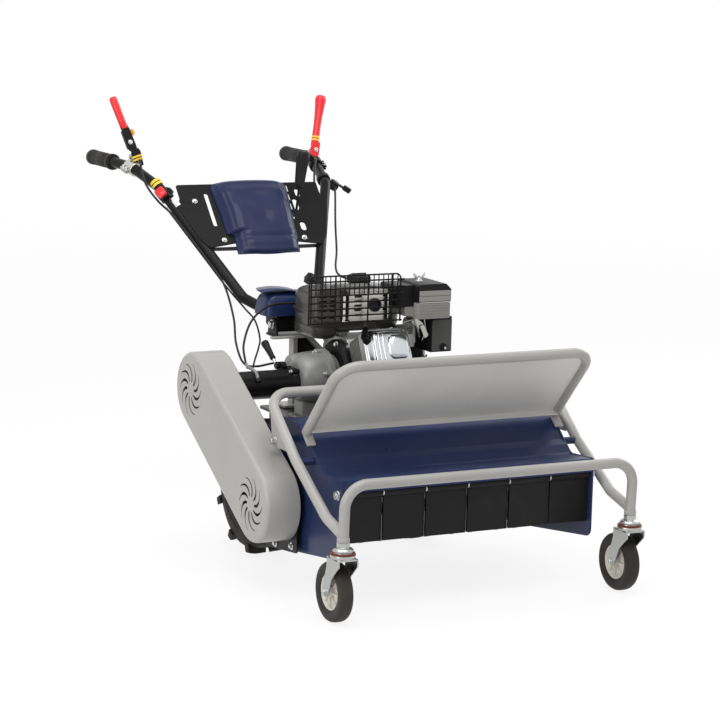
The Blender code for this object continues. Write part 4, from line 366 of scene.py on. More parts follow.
def placed(mesh, matrix):
    bmesh.ops.transform(mesh, matrix=matrix, verts=mesh.verts)
    bmesh.ops.recalc_face_normals(mesh, faces=mesh.faces)
    return mesh


# %% [markdown]
# Bent tube and folded sheet share one idea: a line of corners, each rounded to a radius. The
# first helper rounds a line in space, and the second a closed outline in a plane. The others
# give points round a centre, profiles for turning, and plates with rounded corners.


# %% Rounded lines and outlines
def bend(points, radius, steps=8):
    points = [Vector(p) for p in points]
    radii = radius if isinstance(radius, (list, tuple)) else [radius] * (len(points) - 2)
    path = [points[0]]
    for before, corner, after, r in zip(points, points[1:], points[2:], radii):
        towards = (before - corner).normalized()
        away = (after - corner).normalized()
        half = math.acos(max(-1.0, min(1.0, towards.dot(away)))) / 2
        if r == 0 or half > math.pi / 2 - 1e-4:
            path.append(corner)
            continue
        reach = r / math.tan(half)
        centre = corner + (towards + away).normalized() * (r / math.sin(half))
        first = corner + towards * reach - centre
        last = corner + away * reach - centre
        for k in range(steps + 1):
            path.append(centre + first.slerp(last, k / steps).normalized() * r)
    path.append(points[-1])
    return path


def soft_outline(points, radii, steps=6):
    if not isinstance(radii, (list, tuple)):
        radii = [radii] * len(points)
    outline = []
    for i, radius in enumerate(radii):
        before, corner, after = points[i - 1], points[i], points[(i + 1) % len(points)]
        if radius == 0:
            outline.append(corner)
            continue
        turn = bend([(*before, 0), (*corner, 0), (*after, 0)], radius, steps)
        outline.extend((p.x, p.y) for p in turn[1:-1])
    return outline


def soft_box(cx, cy, half_x, half_y, radius, steps=6):
    corners = [(cx - half_x, cy - half_y), (cx + half_x, cy - half_y), (cx + half_x, cy + half_y),
        (cx - half_x, cy + half_y)]
    return soft_outline(corners, min(radius, 0.98 * half_x, 0.98 * half_y), steps)


def around(centre, radius, angles):
    return [(centre[0] + radius * math.cos(a), centre[1] + radius * math.sin(a)) for a in angles]


def arc(centre, radius, start, end, steps):
    return around(centre, radius, [math.radians(start + (end - start) * k / steps)
        for k in range(steps + 1)])


def mirrored(half, *middle):
    """A turned profile from its lower half, and what lies between the halves."""
    return [*half, *middle, *((radius, -height) for radius, height in reversed(half))]


def band(inner, outer, low, high):
    return [(inner, low), (outer, low), (outer, high), (inner, high)]


def soft_plate(points, radii, axis, low, high, steps=6):
    return plate_shell(soft_outline(points, radii, steps), axis, low, high)


def soft_block(cx, cy, half_x, half_y, radius, axis, low, high, steps=6):
    return plate_shell(soft_box(cx, cy, half_x, half_y, radius, steps), axis, low, high)


# %% [markdown]
# A finished piece is one object at the origin with its place in its mesh. It gets its finish,
# soft highlights along its edges from a Bevel modifier, a body to ride on, and the plain solid
# that it stands for, if it does.


# %% Finished pieces
def merged(name, shells, offset=(0, 0, 0)):
    """One mesh from the shells, moved by the offset."""
    data = bpy.data.meshes.new(name)
    whole = bmesh.new()
    for shell in shells:
        part = bpy.data.meshes.new("shell")
        shell.to_mesh(part)
        shell.free()
        whole.from_mesh(part)
        bpy.data.meshes.remove(part)
    bmesh.ops.translate(whole, vec=offset, verts=whole.verts)
    whole.to_mesh(data)
    whole.free()
    return data


def in_scene(name, data):
    thing = bpy.data.objects.new(name, data)
    bpy.context.scene.collection.objects.link(thing)
    return thing


def shaded(mesh, angle):
    mesh.shade_smooth()
    mesh.set_sharp_from_angle(angle=math.radians(angle))


def soften(thing, width, angle):
    edge = thing.modifiers.new("soft_edges", "BEVEL")
    edge.width = width
    edge.segments = 2
    edge.limit_method = "ANGLE"
    edge.angle_limit = math.radians(angle)
    edge.harden_normals = True


def settle(thing, node, stands_for):
    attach(thing, BODY_OF[node])
    if stands_for:
        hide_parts(*([node] if stands_for is True else stands_for))
    return thing


def piece(name, shells, finish, node, stands_for=False, bevel=0.0, smooth=35.0, place=None):
    if place is not None:
        shells = [placed(shell, place) for shell in shells]
    data = merged(name, shells, ZERO)
    data.materials.append(finish)
    shaded(data, smooth)
    thing = in_scene(name, data)
    if bevel:
        soften(thing, bevel, max(30.0, smooth))
    return settle(thing, node, stands_for)


# %% [markdown]
# Geometry Nodes repeat a shape. The first tree sets copies of its own mesh in a row, the second
# in a ring whose X axis points outwards, and the third sweeps a round section along the object's
# edges, which makes a bent tube or a wire. The sizes are named inputs, and every tree ends by
# making its copies real and giving them their finish.


# %% Node trees for rows, rings and tubes
def new_tree(name, sizes):
    tree = bpy.data.node_groups.new(name, "GeometryNodeTree")
    tree.interface.new_socket("Geometry", in_out="INPUT", socket_type="NodeSocketGeometry")
    for label, kind in {**sizes, "Finish": "Material"}.items():
        tree.interface.new_socket(label, in_out="INPUT", socket_type="NodeSocket" + kind)
    tree.interface.new_socket("Geometry", in_out="OUTPUT", socket_type="NodeSocketGeometry")
    tree.nodes.new("NodeGroupInput").name = "inward"
    return tree


def add_node(tree, kind, links, **settings):
    """A node whose sockets take another node, one of the tree's own inputs by name, or a value."""
    made = tree.nodes.new(kind)
    for key, value in settings.items():
        setattr(made, key, value)
    for key, value in links.items():
        if isinstance(value, str):
            tree.links.new(tree.nodes["inward"].outputs[value], made.inputs[key])
        elif isinstance(value, bpy.types.Node):
            tree.links.new(value.outputs[0], made.inputs[key])
        else:
            made.inputs[key].default_value = value
    return made


def close_tree(tree, copies):
    real = add_node(tree, "GeometryNodeRealizeInstances", {0: copies})
    coated = add_node(tree, "GeometryNodeSetMaterial", {0: real, "Material": "Finish"})
    add_node(tree, "NodeGroupOutput", {0: coated})
    return tree


def row_tree():
    tree = new_tree("row_of_copies", {"Count": "Int", "Start": "Vector", "Step": "Vector"})
    places = {"Count": "Count", "Start Location": "Start", "Offset": "Step"}
    line = add_node(tree, "GeometryNodeMeshLine", places, mode="OFFSET")
    copies = add_node(tree, "GeometryNodeInstanceOnPoints", {"Points": line, "Instance": "Geometry"})
    return close_tree(tree, copies)


def ring_tree():
    sizes = {"Count": "Int", "Radius": "Float", "Turn": "Rotation", "Centre": "Vector"}
    tree = new_tree("ring_of_copies", sizes)
    circle = add_node(tree, "GeometryNodeMeshCircle", {"Vertices": "Count", "Radius": "Radius"})
    place = add_node(tree, "GeometryNodeInputPosition", {})
    facing = add_node(tree, "FunctionNodeAlignRotationToVector", {"Vector": place}, axis="X",
        pivot_axis="Z")
    ends = {"Points": circle, "Instance": "Geometry", "Rotation": facing}
    copies = add_node(tree, "GeometryNodeInstanceOnPoints", ends)
    turned = {0: copies, "Translation": "Centre", "Rotation": "Turn"}
    return close_tree(tree, add_node(tree, "GeometryNodeTransform", turned))


def tube_tree():
    tree = new_tree("round_section_along_edges", {"Radius": "Float", "Sides": "Int"})
    line = add_node(tree, "GeometryNodeMeshToCurve", {0: "Geometry"})
    section = add_node(tree, "GeometryNodeCurvePrimitiveCircle",
        {"Resolution": "Sides", "Radius": "Radius"})
    swept = add_node(tree, "GeometryNodeCurveToMesh", {0: line, 1: section, "Fill Caps": True})
    return close_tree(tree, swept)


ROW, RING, TUBE = row_tree(), ring_tree(), tube_tree()
WASHER_THICKNESS = 0.0014


def grown(name, shells, tree, sizes, finish, node, stands_for=False, smooth=35.0):
    """The tree's copies or tube as one plain mesh."""
    seed = in_scene(name + "_seed", merged(name + "_seed", shells))
    growth = seed.modifiers.new("growth", "NODES")
    growth.node_group = tree
    sockets = {item.name: item.identifier for item in tree.interface.items_tree if item.in_out == "INPUT"}
    for label, value in {**sizes, "Finish": finish}.items():
        growth[sockets[label]] = value
    mesh = bpy.data.meshes.new_from_object(seed.evaluated_get(bpy.context.evaluated_depsgraph_get()))
    mesh.name = name
    bpy.data.objects.remove(seed)
    mesh.transform(Matrix.Translation(ZERO))
    shaded(mesh, smooth)
    return settle(in_scene(name, mesh), node, stands_for)


def row(name, seed, count, start, step, finish, node):
    return grown(name, [seed], ROW, {"Count": count, "Start": tuple(start), "Step": tuple(step)}, finish,
        node)


SIDEWAYS = tuple(Matrix.Rotation(math.pi / 2, 4, "Y").to_euler())


def ring(name, seeds, count, radius, centre, finish, node, turn=SIDEWAYS):
    sizes = {"Count": count, "Radius": radius, "Turn": turn, "Centre": centre}
    return grown(name, seeds, RING, sizes, finish, node)


def line_shell(paths):
    mesh = bmesh.new()
    for path in paths:
        corners = [mesh.verts.new(point) for point in path]
        for first, second in zip(corners, corners[1:]):
            mesh.edges.new((first, second))
    return mesh


def tubes(name, paths, radius, finish, node, stands_for=False, sides=24):
    return grown(name, [line_shell(paths)], TUBE, {"Radius": radius, "Sides": sides}, finish, node,
        stands_for, 50.0)


def seat_on(place, point, way=(0, 0, 1)):
    """A bolt's seat and way, given in the frame of what it holds."""
    return place @ Vector(point), place.to_3x3() @ Vector(way)


def hex_bolts(name, places, node, radius=0.0065, height=0.0045, washer=0.01):
    """Hexagon heads on washers; each place is a seat and the way the head points."""
    shells = []
    for seat, way in places:
        seat, way = Vector(seat), Vector(way).normalized()
        under = seat + way * WASHER_THICKNESS
        top = under + way * height
        shells.append(rod_shell(seat, under, washer, sides=28))
        shells.append(rod_shell(under, top, radius, sides=6))
        shells.append(rod_shell(top, top + way * 0.0008, radius * 0.78, radius * 0.7, sides=20))
    return piece(name, shells, BOLT_ZINC, node, bevel=0.0004)


print("node trees", ROW.name, RING.name, TUBE.name)

# %% [markdown]
# The camera stands where the photographer's did: to the right of the mower's nose and a little
# above it. Four values measured on the picture fix it, namely its place, heading, pitch and a
# slight roll, and the lens follows from the focal length in pixels over the 720 pixel frame.

# %% Camera
CAMERA_AT = Vector((-2.5434, -4.3658, 1.3801)) + ZERO
FOCAL_PIXELS, PICTURE_WIDTH = 2497.64, 720
HEADING, PITCH, ROLL = math.radians(27.2365), math.radians(-9.7716), math.radians(1.5196)
ahead = Vector((math.sin(HEADING) * math.cos(PITCH), math.cos(HEADING) * math.cos(PITCH), math.sin(PITCH)))
level = Vector((math.cos(HEADING), -math.sin(HEADING), 0.0))
upright = level.cross(ahead)
across = level * math.cos(ROLL) + upright * math.sin(ROLL)
above = upright * math.cos(ROLL) - level * math.sin(ROLL)
lens = bpy.data.cameras.new("portrait_camera")
lens.sensor_width = 36.0
lens.lens = FOCAL_PIXELS / PICTURE_WIDTH * lens.sensor_width
lens.clip_end = 60.0
camera = in_scene("portrait_camera", lens)
camera.matrix_world = Matrix((
    (across.x, above.x, -ahead.x, CAMERA_AT.x), (across.y, above.y, -ahead.y, CAMERA_AT.y),
    (across.z, above.z, -ahead.z, CAMERA_AT.z), (0, 0, 0, 1)))
bpy.context.scene.camera = camera
bpy.context.scene.view_settings.view_transform = "Standard"
print("lens", round(lens.lens, 2))

# %% [markdown]
# The mower stands on a white studio floor that runs out of sight. For the camera, and in gloss,
# the floor is mostly plain white, and more so far away, so the ground stays pale, the contact
# shadows remain, and no horizon shows. Three large lamps and a soft sky light the machine at a
# plain level.


# %% Studio
def studio_floor():
    finish = Finish("studio_floor", roughness=0.6)
    finish.paint(Base_Color=finish.tint(finish.noise(1.5, 2.0), (0.86, 0.86, 0.86), (0.9, 0.9, 0.9)))
    rays = [finish.node("LightPath", out=kind) for kind in ("Is Camera Ray", "Is Glossy Ray",
        "Is Transmission Ray")]
    seen = finish.node("Math", settings={"operation": "MINIMUM"},
        inputs={0: rays[0] + rays[1] + rays[2], 1: 1.0})
    white = finish.tree.nodes.new("ShaderNodeEmission")
    white.inputs["Color"].default_value = (1, 1, 1, 1)
    white.inputs["Strength"].default_value = 1.0
    blend = finish.tree.nodes.new("ShaderNodeMixShader")
    reach = finish.node("VectorMath", out="Value", settings={"operation": "LENGTH"},
        inputs={0: finish.place})
    far = finish.band(reach, 1.2, 7.0)
    finish.feed(blend.inputs[0], seen * (0.86 + far * 0.14))
    finish.tree.links.new(finish.shader.outputs[0], blend.inputs[1])
    finish.tree.links.new(white.outputs[0], blend.inputs[2])
    out = finish.tree.nodes["Material Output"]
    finish.tree.links.new(blend.outputs[0], out.inputs["Surface"])
    mesh = bpy.data.meshes.new("studio_floor")
    mesh.from_pydata([(-15, -15, 0), (15, -15, 0), (15, 15, 0), (-15, 15, 0)], [], [(0, 1, 2, 3)])
    mesh.materials.append(finish.material)
    floor = in_scene("studio_floor", mesh)


def studio_sky():
    world = bpy.data.worlds.new("studio_sky")
    world.use_nodes = True
    bpy.context.scene.world = world
    tree = world.node_tree
    soft = tree.nodes["Background"]
    soft.inputs["Color"].default_value = (1.0, 1.0, 1.0, 1.0)
    soft.inputs["Strength"].default_value = 0.62
    white = tree.nodes.new("ShaderNodeBackground")
    white.inputs["Color"].default_value = (1.0, 1.0, 1.0, 1.0)
    white.inputs["Strength"].default_value = 1.0
    path = tree.nodes.new("ShaderNodeLightPath")
    kinds = [Wire(tree, path.outputs[kind]) for kind in ("Is Camera Ray", "Is Glossy Ray",
        "Is Transmission Ray")]
    seen = kinds[0] + kinds[1] + kinds[2]
    blend = tree.nodes.new("ShaderNodeMixShader")
    tree.links.new(seen.socket, blend.inputs[0])
    tree.links.new(soft.outputs[0], blend.inputs[1])
    tree.links.new(white.outputs[0], blend.inputs[2])
    tree.links.new(blend.outputs[0], tree.nodes["World Output"].inputs["Surface"])


def softbox(name, place, aim, size, power):
    lamp = bpy.data.lights.new(name, "AREA")
    lamp.shape = "RECTANGLE"
    lamp.size, lamp.size_y = size
    lamp.energy = power
    thing = in_scene(name, lamp)
    thing.location = place
    thing.rotation_euler = (Vector(aim) - Vector(place)).to_track_quat("-Z", "Y").to_euler()


studio_floor()
studio_sky()
softbox("overhead_softbox", (-0.5, -0.8, 3.0), (0, 0, 0.3), (2.6, 2.0), 62.0)
softbox("nose_softbox", (-3.2, -1.7, 1.6), (0, -0.1, 0.4), (1.6, 1.6), 36.0)
softbox("far_side_softbox", (2.8, 0.6, 2.0), (0, 0, 0.4), (1.6, 2.0), 34.0)
print("studio ready")

# %% [markdown]
# The deck is a tunnel of sheet steel over the rotor: a rolled hood between two side plates. The
# hood's outline is one folded line given the sheet's thickness, and the plates follow it just
# outside.

# %% Deck
HOOD_PATH = [(0.056, 0.249), (0.056, 0.279), (0.145, 0.272), (0.163, 0.289), (0.181, 0.298), (0.222, 0.336),
    (0.262, 0.354), (0.33, 0.356), (0.385, 0.34), (0.413, 0.305), (0.413, 0.15), (0.403, 0.105)]
ROTOR_AXIS = (0.296, 0.183)


def sheet_section(path, thickness, radius):
    """Both faces of a folded sheet, as one closed outline."""
    faces = []
    for side in (0.0, -thickness):
        line = [Vector((a, b, 0)) for a, b in path]
        moved = []
        for i, point in enumerate(line):
            before = (point - line[i - 1]).normalized() if i else (line[1] - point).normalized()
            after = (line[i + 1] - point).normalized() if i + 1 < len(line) else before
            normal = Vector((-before.y - after.y, before.x + after.x, 0)).normalized()
            reach = side / max(0.3, normal.dot(Vector((-before.y, before.x, 0))))
            moved.append(point + normal * reach)
        faces.append([(p.x, p.y) for p in bend(moved, radius, 5)])
    return faces[0] + faces[1][::-1]


hood = sheet_section(HOOD_PATH, 0.003, [0.006, 0.012, 0.01, 0.01] + [0.03] * 4 + [0.022, 0.004])
side_outline = soft_outline([(0.0545, 0.108), (0.0545, 0.2805), (0.1453, 0.2735), (0.18, 0.3005),
    (0.2212, 0.3372), (0.2614, 0.3555), (0.3305, 0.3575), (0.386, 0.3412), (0.4145, 0.3055), (0.4145, 0.15),
    (0.409, 0.06)], [0.018, 0.006, 0.02, 0.03, 0.03, 0.03, 0.03, 0.03, 0.025, 0.02, 0.016])
deck_parts = [plate_shell(hood, "x", -0.301, 0.301)]
deck_parts += [plate_shell(side_outline, "x", *faces) for faces in ((-0.302, -0.298), (0.298, 0.302))]
piece("deck_sheets", deck_parts, NAVY, "deck_shell", stands_for=True, bevel=0.0009, smooth=40)

# %% [markdown]
# Six rubber flaps hang from a rod across the mouth and stop stones. Each flap is moulded round
# the rod in a loop, and its edges have a thin lip. The seams between them show a bright collar,
# and nuts on washers hold the rod's ends. A thin bright wire along the top of the loops is a
# painted highlight on the flaps' rolls.

# %% Flaps on their rod
FLAP_Y, FLAP_Z = FLAP_ROD = (0.0705, 0.2425)
FLAP_PITCH, SEAM, FLAP_END, DECK_SIDE = 0.1, 0.0018, 0.297, 0.3023
flap_section = arc(FLAP_ROD, 0.01, 104, -75, 12)[:-1]
flap_section += [(0.0731, 0.229), (0.0731, 0.1435), (0.0722, 0.1405), (0.07, 0.139), (0.069, 0.1395),
    (0.068, 0.142), (0.068, 0.229)]
flap_section += arc(FLAP_ROD, 0.01, 255, 116, 12) + arc(FLAP_ROD, 0.0053, 116, 360 + 104, 18)
for k in range(6):
    low = -FLAP_END if k == 0 else (k - 3) * FLAP_PITCH + SEAM
    high = FLAP_END if k == 5 else (k - 2) * FLAP_PITCH - SEAM
    shells = [plate_shell(flap_section, "x", low, high)]
    for near, far in ((low, low + 0.0035), (high - 0.0035, high)):
        shells.append(box_shell((near, 0.0673, 0.1405), (far, 0.0737, 0.233)))
    piece(f"rubber_flap_{k + 1}", shells, FLAP_RUBBER, f"flap_{k + 1}", stands_for=True, bevel=0.0005)


def on_rod(start, end, radius, sides=32, y=FLAP_Y, z=FLAP_Z):
    return rod_shell((start, y, z), (end, y, z), radius, sides=sides)


rod_parts = [on_rod(-0.3103, 0.3103, 0.005)]
for k in range(1, 6):
    middle = (k - 3) * FLAP_PITCH
    rod_parts.append(on_rod(middle - 0.0015, middle + 0.0015, 0.0085))
# A thin bright wire laid along the top of the flap loops is a painted highlight on their rolls.
rod_parts.append(on_rod(-FLAP_END, FLAP_END, 0.0013, 10, FLAP_Y - 0.009, FLAP_Z + 0.0072))
for side in (-1, 1):
    rod_parts.append(on_rod(side * DECK_SIDE, side * 0.3035, 0.0105))
    rod_parts.append(on_rod(side * 0.3035, side * 0.309, 0.009, 6))
piece("flap_rod_collars_and_painted_highlight", rod_parts, BOLT_ZINC, "flap_rod", stands_for=True, bevel=0.0005)
print("flaps", 6)

# %% [markdown]
# The rotor's left bearing sits in a pressed steel flange with a domed middle, one turned profile,
# and four bolts hold it to the side plate. The right bearing is hidden by the belt cover.

# %% Deck fittings
flange = [(0.001, 0.015), (0.016, 0.0145), (0.021, 0.012), (0.024, 0.006), (0.0275, 0.0045),
    (0.045, 0.0045), (0.0465, 0.0035), (0.0465, 0.0003), (0.001, 0.0003)]
piece("rotor_bearing_housing", [turned_shell(flange, (0.302, *ROTOR_AXIS), (1, 0, 0))], ZINC, "deck_shell")
seats = [((0.3065, *spot), (1, 0, 0)) for spot in around(ROTOR_AXIS, 0.036, (0.785, 2.356, 3.927, 5.498))]
hex_bolts("bearing_bolts", seats, "deck_shell", radius=0.0058, washer=0.0085)
print("deck fittings", len(seats))

# %% [markdown]
# The caster frame is one tube bent over both caster posts and one loop from post to post behind
# the hood. A swept round section over a rounded line is what the bender makes. The gussets are
# flat plates, and a domed bolt through each one carries the frame on the deck.

# %% Caster frame
POST_Y, FRAME_TUBE, BEND = -0.034, 0.011, 0.048
front_line = bend([(-TRACK, POST_Y, 0.172), (-TRACK, -0.039, 0.2885), (TRACK, -0.039, 0.2885),
    (TRACK, POST_Y, 0.172)], BEND, 12)
arm = [(-0.032, 0.186), (0.045, 0.206), (0.19, 0.293), (0.335, 0.409)]
loop_line = bend([(-TRACK, *p) for p in arm] + [(TRACK, *p) for p in arm[::-1]], BEND, 12)
tubes("caster_frame_tubes", [front_line, loop_line], FRAME_TUBE, WARM_GREY, "caster_frame", stands_for=True,
    sides=32)
gusset = soft_outline([(0.215, 0.303), (0.29, 0.302), (0.313, 0.312), (0.318, 0.33), (0.33, 0.398),
    (0.3, 0.384)], [0.006, 0.01, 0.008, 0.01, 0.004, 0.006], 4)
stem_seat = [(0.0082, 0.0006), (0.0124, 0.0006), (0.013, 0.0016), (0.013, 0.01), (0.0124, 0.011),
    (0.0082, 0.011)]
fittings, bosses, nuts, heads = [], [], [], []
for side in (-1, 1):
    x = side * TRACK
    bosses.append(rod_shell((side * DECK_SIDE, 0.187, 0.291), (x, 0.187, 0.291), 0.008))
    bosses.append(rod_shell((side * DECK_SIDE, 0.3, 0.315), (side * 0.3395, 0.3, 0.315), 0.0075))
    fittings.append(plate_shell(gusset, "x", *sorted((side * 0.3345, side * 0.3385))))
    fittings.append(turned_shell(stem_seat, (x, POST_Y, 0.172), (0, 0, 1)))
    nuts.append(rod_shell((x, POST_Y, 0.1614), (x, POST_Y, 0.1724), 0.0136, sides=6))
    heads.append(((side * 0.3386, 0.3, 0.315), (side, 0, 0)))
piece("caster_frame_fittings", fittings, WARM_GREY, "caster_frame", bevel=0.0008)
piece("caster_frame_bosses", bosses, NAVY, "caster_frame", bevel=0.0008)
piece("caster_stem_nuts", nuts, ZINC, "caster_frame", bevel=0.0008)
hex_bolts("frame_carriage_bolts", heads, "caster_frame", radius=0.008, height=0.008, washer=0.012)
print("caster frame", len(front_line) + len(loop_line))

# %% [markdown]
# The front guard is the same tube bent into a hoop, with a folded sheet welded behind it. The
# sheet's lower edge is turned forwards, which keeps it stiff and shows as a pale band, and each
# leg stands on a short strap that lies on the hood's slope. The sheet has the tubes' warm grey,
# painted paler to stand for the light on it.

# %% Front guard
SLOPE = Vector((0, 0.742, 0.67)).normalized()
OUT = Vector((0, -SLOPE.z, SLOPE.y))
DOWN = -OUT
GUARD_TOP = Vector((0, 0.078, 0.506))
hood_knee = Vector((0, 0.181, 0.299))
along_slope = (GUARD_TOP - hood_knee).dot(SLOPE)
foot = hood_knee + SLOPE * along_slope + OUT * 0.005
LEG = Vector((0.301, 0, 0))
hoop = bend([foot - LEG, GUARD_TOP - LEG, GUARD_TOP + LEG, foot + LEG], BEND, 12)
tubes("front_guard_hoop", [hoop], FRAME_TUBE, WARM_GREY, "front_guard", stands_for=True, sides=32)
panel_place = Matrix((
    (1, 0, 0, 0), (0, DOWN.y, SLOPE.y, GUARD_TOP.y), (0, DOWN.z, SLOPE.z, GUARD_TOP.z), (0, 0, 0, 1)))
SHEET_HEIGHT = 0.203
panel = [soft_plate(band(-0.3025, 0.3025, 0, SHEET_HEIGHT), [BEND, BEND, 0.004, 0.004], "z", -0.00125,
    0.00125, 10), box_shell((-0.2985, 0.2005, -0.014), (0.2985, SHEET_HEIGHT, 0.00125))]
# The sheet's paler grey is painted light over the tubes' warm grey.
piece("front_guard_sheet", panel, LIT_GUARD_GREY, "front_guard", bevel=0.0009, place=panel_place)
straps = []
for side in (-1, 1):
    rim = [hood_knee + SLOPE * (along_slope + a) + OUT * b for a, b in ((-0.034, 0.0018), (0.004, 0.0018),
        (0.004, 0.0058), (-0.034, 0.0058))]
    straps.append(ring_shell([[(side * LEG.x + e, p.y, p.z) for p in rim] for e in (-0.01, 0.01)]))
piece("front_guard_straps", straps, WARM_GREY, "front_guard", bevel=0.0006)
print("guard sheet", SHEET_HEIGHT)

# %% [markdown]
# The belt cover is a deep tray pressed from one sheet, with the outline of a belt round two
# pulleys. Curved slots fan out round each pulley's middle and let the heat out. The slots are cut
# through the sheet for real, so that their edges catch the light and the inside shows dark.

# %% Belt cover
DRIVE_AXIS = (0.623, 0.371)


def belt_line(radius_low, radius_high, steps=28):
    """The outline of a belt round the rotor's axis and the drive's axis."""
    low, high = Vector(ROTOR_AXIS), Vector(DRIVE_AXIS)
    run = high - low
    lean = math.acos((radius_low - radius_high) / run.length)
    heading = math.atan2(run.y, run.x)
    points = []
    for middle, radius, start, end in ((high, radius_high, heading - lean, heading + lean),
            (low, radius_low, heading + lean, heading - lean + 2 * math.pi)):
        points += around(middle, radius, [start + (end - start) * k / steps for k in range(steps + 1)])
    return points


def carve(thing, cutters):
    """Cuts the shells out of the piece for good."""
    tool = in_scene("cutters", merged("cutters", cutters, ZERO))
    widths = [modifier.width for modifier in thing.modifiers]
    thing.modifiers.clear()
    cut = thing.modifiers.new("cut", "BOOLEAN")
    cut.operation = "DIFFERENCE"
    cut.solver = "EXACT"
    cut.object = tool
    mesh = bpy.data.meshes.new_from_object(thing.evaluated_get(bpy.context.evaluated_depsgraph_get()))
    thing.modifiers.clear()
    thing.data = mesh
    bpy.data.objects.remove(tool)
    shaded(mesh, 35)
    for width in widths:
        soften(thing, width, 35)
    return thing


def vent_slot(centre, start, face):
    left, right = [], []
    for i in range(9):
        share = i / 8
        angle = start + math.radians(42.0) * share * share
        radius = 0.017 + 0.041 * share
        half = 0.0015 + 0.002 * math.sin(math.pi * (0.12 + 0.8 * share)) + 0.0006 * share
        spoke = Vector((-math.cos(angle), math.sin(angle)))
        across = Vector((-spoke.y, spoke.x)) * half
        middle = Vector(centre) + spoke * radius
        left.append((middle + across)[:])
        right.append((middle - across)[:])
    return plate_shell(left + right[::-1], "x", face - 0.01, face + 0.01)


COVER_EDGE, COVER_FACE, COVER_RADIUS, WALL, FOLD = -0.3168, -0.3945, 0.083, 0.0025, 0.01
rings = [[(COVER_EDGE, *p) for p in belt_line(COVER_RADIUS, COVER_RADIUS)]]
inner = [[(COVER_EDGE, *p) for p in belt_line(COVER_RADIUS - WALL, COVER_RADIUS - WALL)]]
for k in range(7):
    angle = math.pi / 2 * k / 6
    radius = COVER_RADIUS - FOLD * (1 - math.cos(angle))
    rings.append([(COVER_FACE + FOLD * (1 - math.sin(angle)), *p) for p in belt_line(radius, radius)])
    radius -= WALL
    inner.append([(COVER_FACE + WALL + FOLD * (1 - math.sin(angle)), *p)
        for p in belt_line(radius, radius)])
tray = ring_shell(rings + inner[::-1], closed=True)
face_fill = [[v for v in tray.verts if abs(v.co.x - x) < 1e-6] for x in (COVER_FACE, COVER_FACE + WALL)]
for edge_verts in face_fill:
    chosen = set(edge_verts)
    rim = [e for e in tray.edges if e.verts[0] in chosen and e.verts[1] in chosen]
    bmesh.ops.contextual_create(tray, geom=rim)
bridge = [f for f in tray.faces if all(v in set(face_fill[0]) | set(face_fill[1])
    for v in f.verts) and len(f.verts) == 4]
bmesh.ops.delete(tray, geom=bridge, context="FACES_ONLY")
bmesh.ops.recalc_face_normals(tray, faces=tray.faces)
cover = piece("belt_cover_tray", [tray], WARM_GREY, "belt_cover", stands_for=True, bevel=0.0005, smooth=30)
slots = [vent_slot(centre, 2 * math.pi * k / 10, COVER_FACE) for centre in (ROTOR_AXIS, DRIVE_AXIS)
    for k in range(10)]
carve(cover, slots)
print("cover faces", len(cover.data.polygons))

# %% [markdown]
# Behind the cover a black plate closes the case and carries the pulleys. The belt and both
# pulleys are turned profiles and an outline given a width, and they show through the slots.

# %% Back plate, pulleys and belt
plate_rim = COVER_RADIUS - 0.0045
back_parts = [plate_shell(belt_line(plate_rim, plate_rim), "x", -0.3163, -0.3128)]
apron = soft_outline([(0.23, 0.084), (0.23, 0.15), (0.385, 0.15), (0.385, 0.066)], [0.004, 0, 0, 0.014])
back_parts.append(plate_shell(apron, "x", -0.3163, -0.3128))
spacer_seats = ((0.25, 0.125), (0.365, 0.125), (0.345, 0.262), (0.262, 0.238))
back_parts += [rod_shell((-0.3138, *seat), (-DECK_SIDE, *seat), 0.008) for seat in spacer_seats]
piece("belt_case_plate", back_parts, BLACK, "belt_case_back", stands_for=True, bevel=0.0007)
apron_bolts = [((-0.3163, y, z), (-1, 0, 0)) for y, z in ((0.2526, 0.0951), (0.332, 0.0832))]
hex_bolts("belt_case_bolts", apron_bolts, "belt_case_back", radius=0.0052, washer=0.0082)


def pulley(axis, radius):
    groove, flange, half, belt = radius - 0.01, radius + 0.003, 0.015, 0.0115
    edge = [(flange - 0.001, -half), (flange, -half + 0.001), (flange, -belt - 0.0008),
        (groove, -belt + 0.0015)]
    profile = [(0.012, -half), *mirrored(edge), (radius - 0.016, half), (radius - 0.018, half - 0.006),
        (0.022, half - 0.006), (0.02, half), (0.012, half)]
    return turned_shell(profile, (-0.352, *axis), (-1, 0, 0))


upper_parts = [pulley(DRIVE_AXIS, 0.056), rod_shell((-0.367, *DRIVE_AXIS), (-0.141, *DRIVE_AXIS), 0.0125)]
piece("drive_pulley_turned", upper_parts, BARE_STEEL, "drive_pulley", stands_for=True, bevel=0.0004)
belt_rings = []
for x, grow in ((-0.363, 0), (-0.363, 0.008), (-0.341, 0.008), (-0.341, 0)):
    belt_rings.append([(x, *p) for p in belt_line(0.0355 + grow, 0.0465 + grow)])
piece("drive_belt_band", [ring_shell(belt_rings, closed=True)], BELT_RUBBER, "drive_belt", stands_for=True,
    bevel=0.0006)
print("belt case", len(back_parts))

# %% [markdown]
# The rotor is a tube with six round plates. Two rods run through the plates, and the hammers hang
# from them in every bay. A hammer is a cast paddle with a round eye and a blunt, slightly
# spread tip, so one outline with an arc at each end makes it.

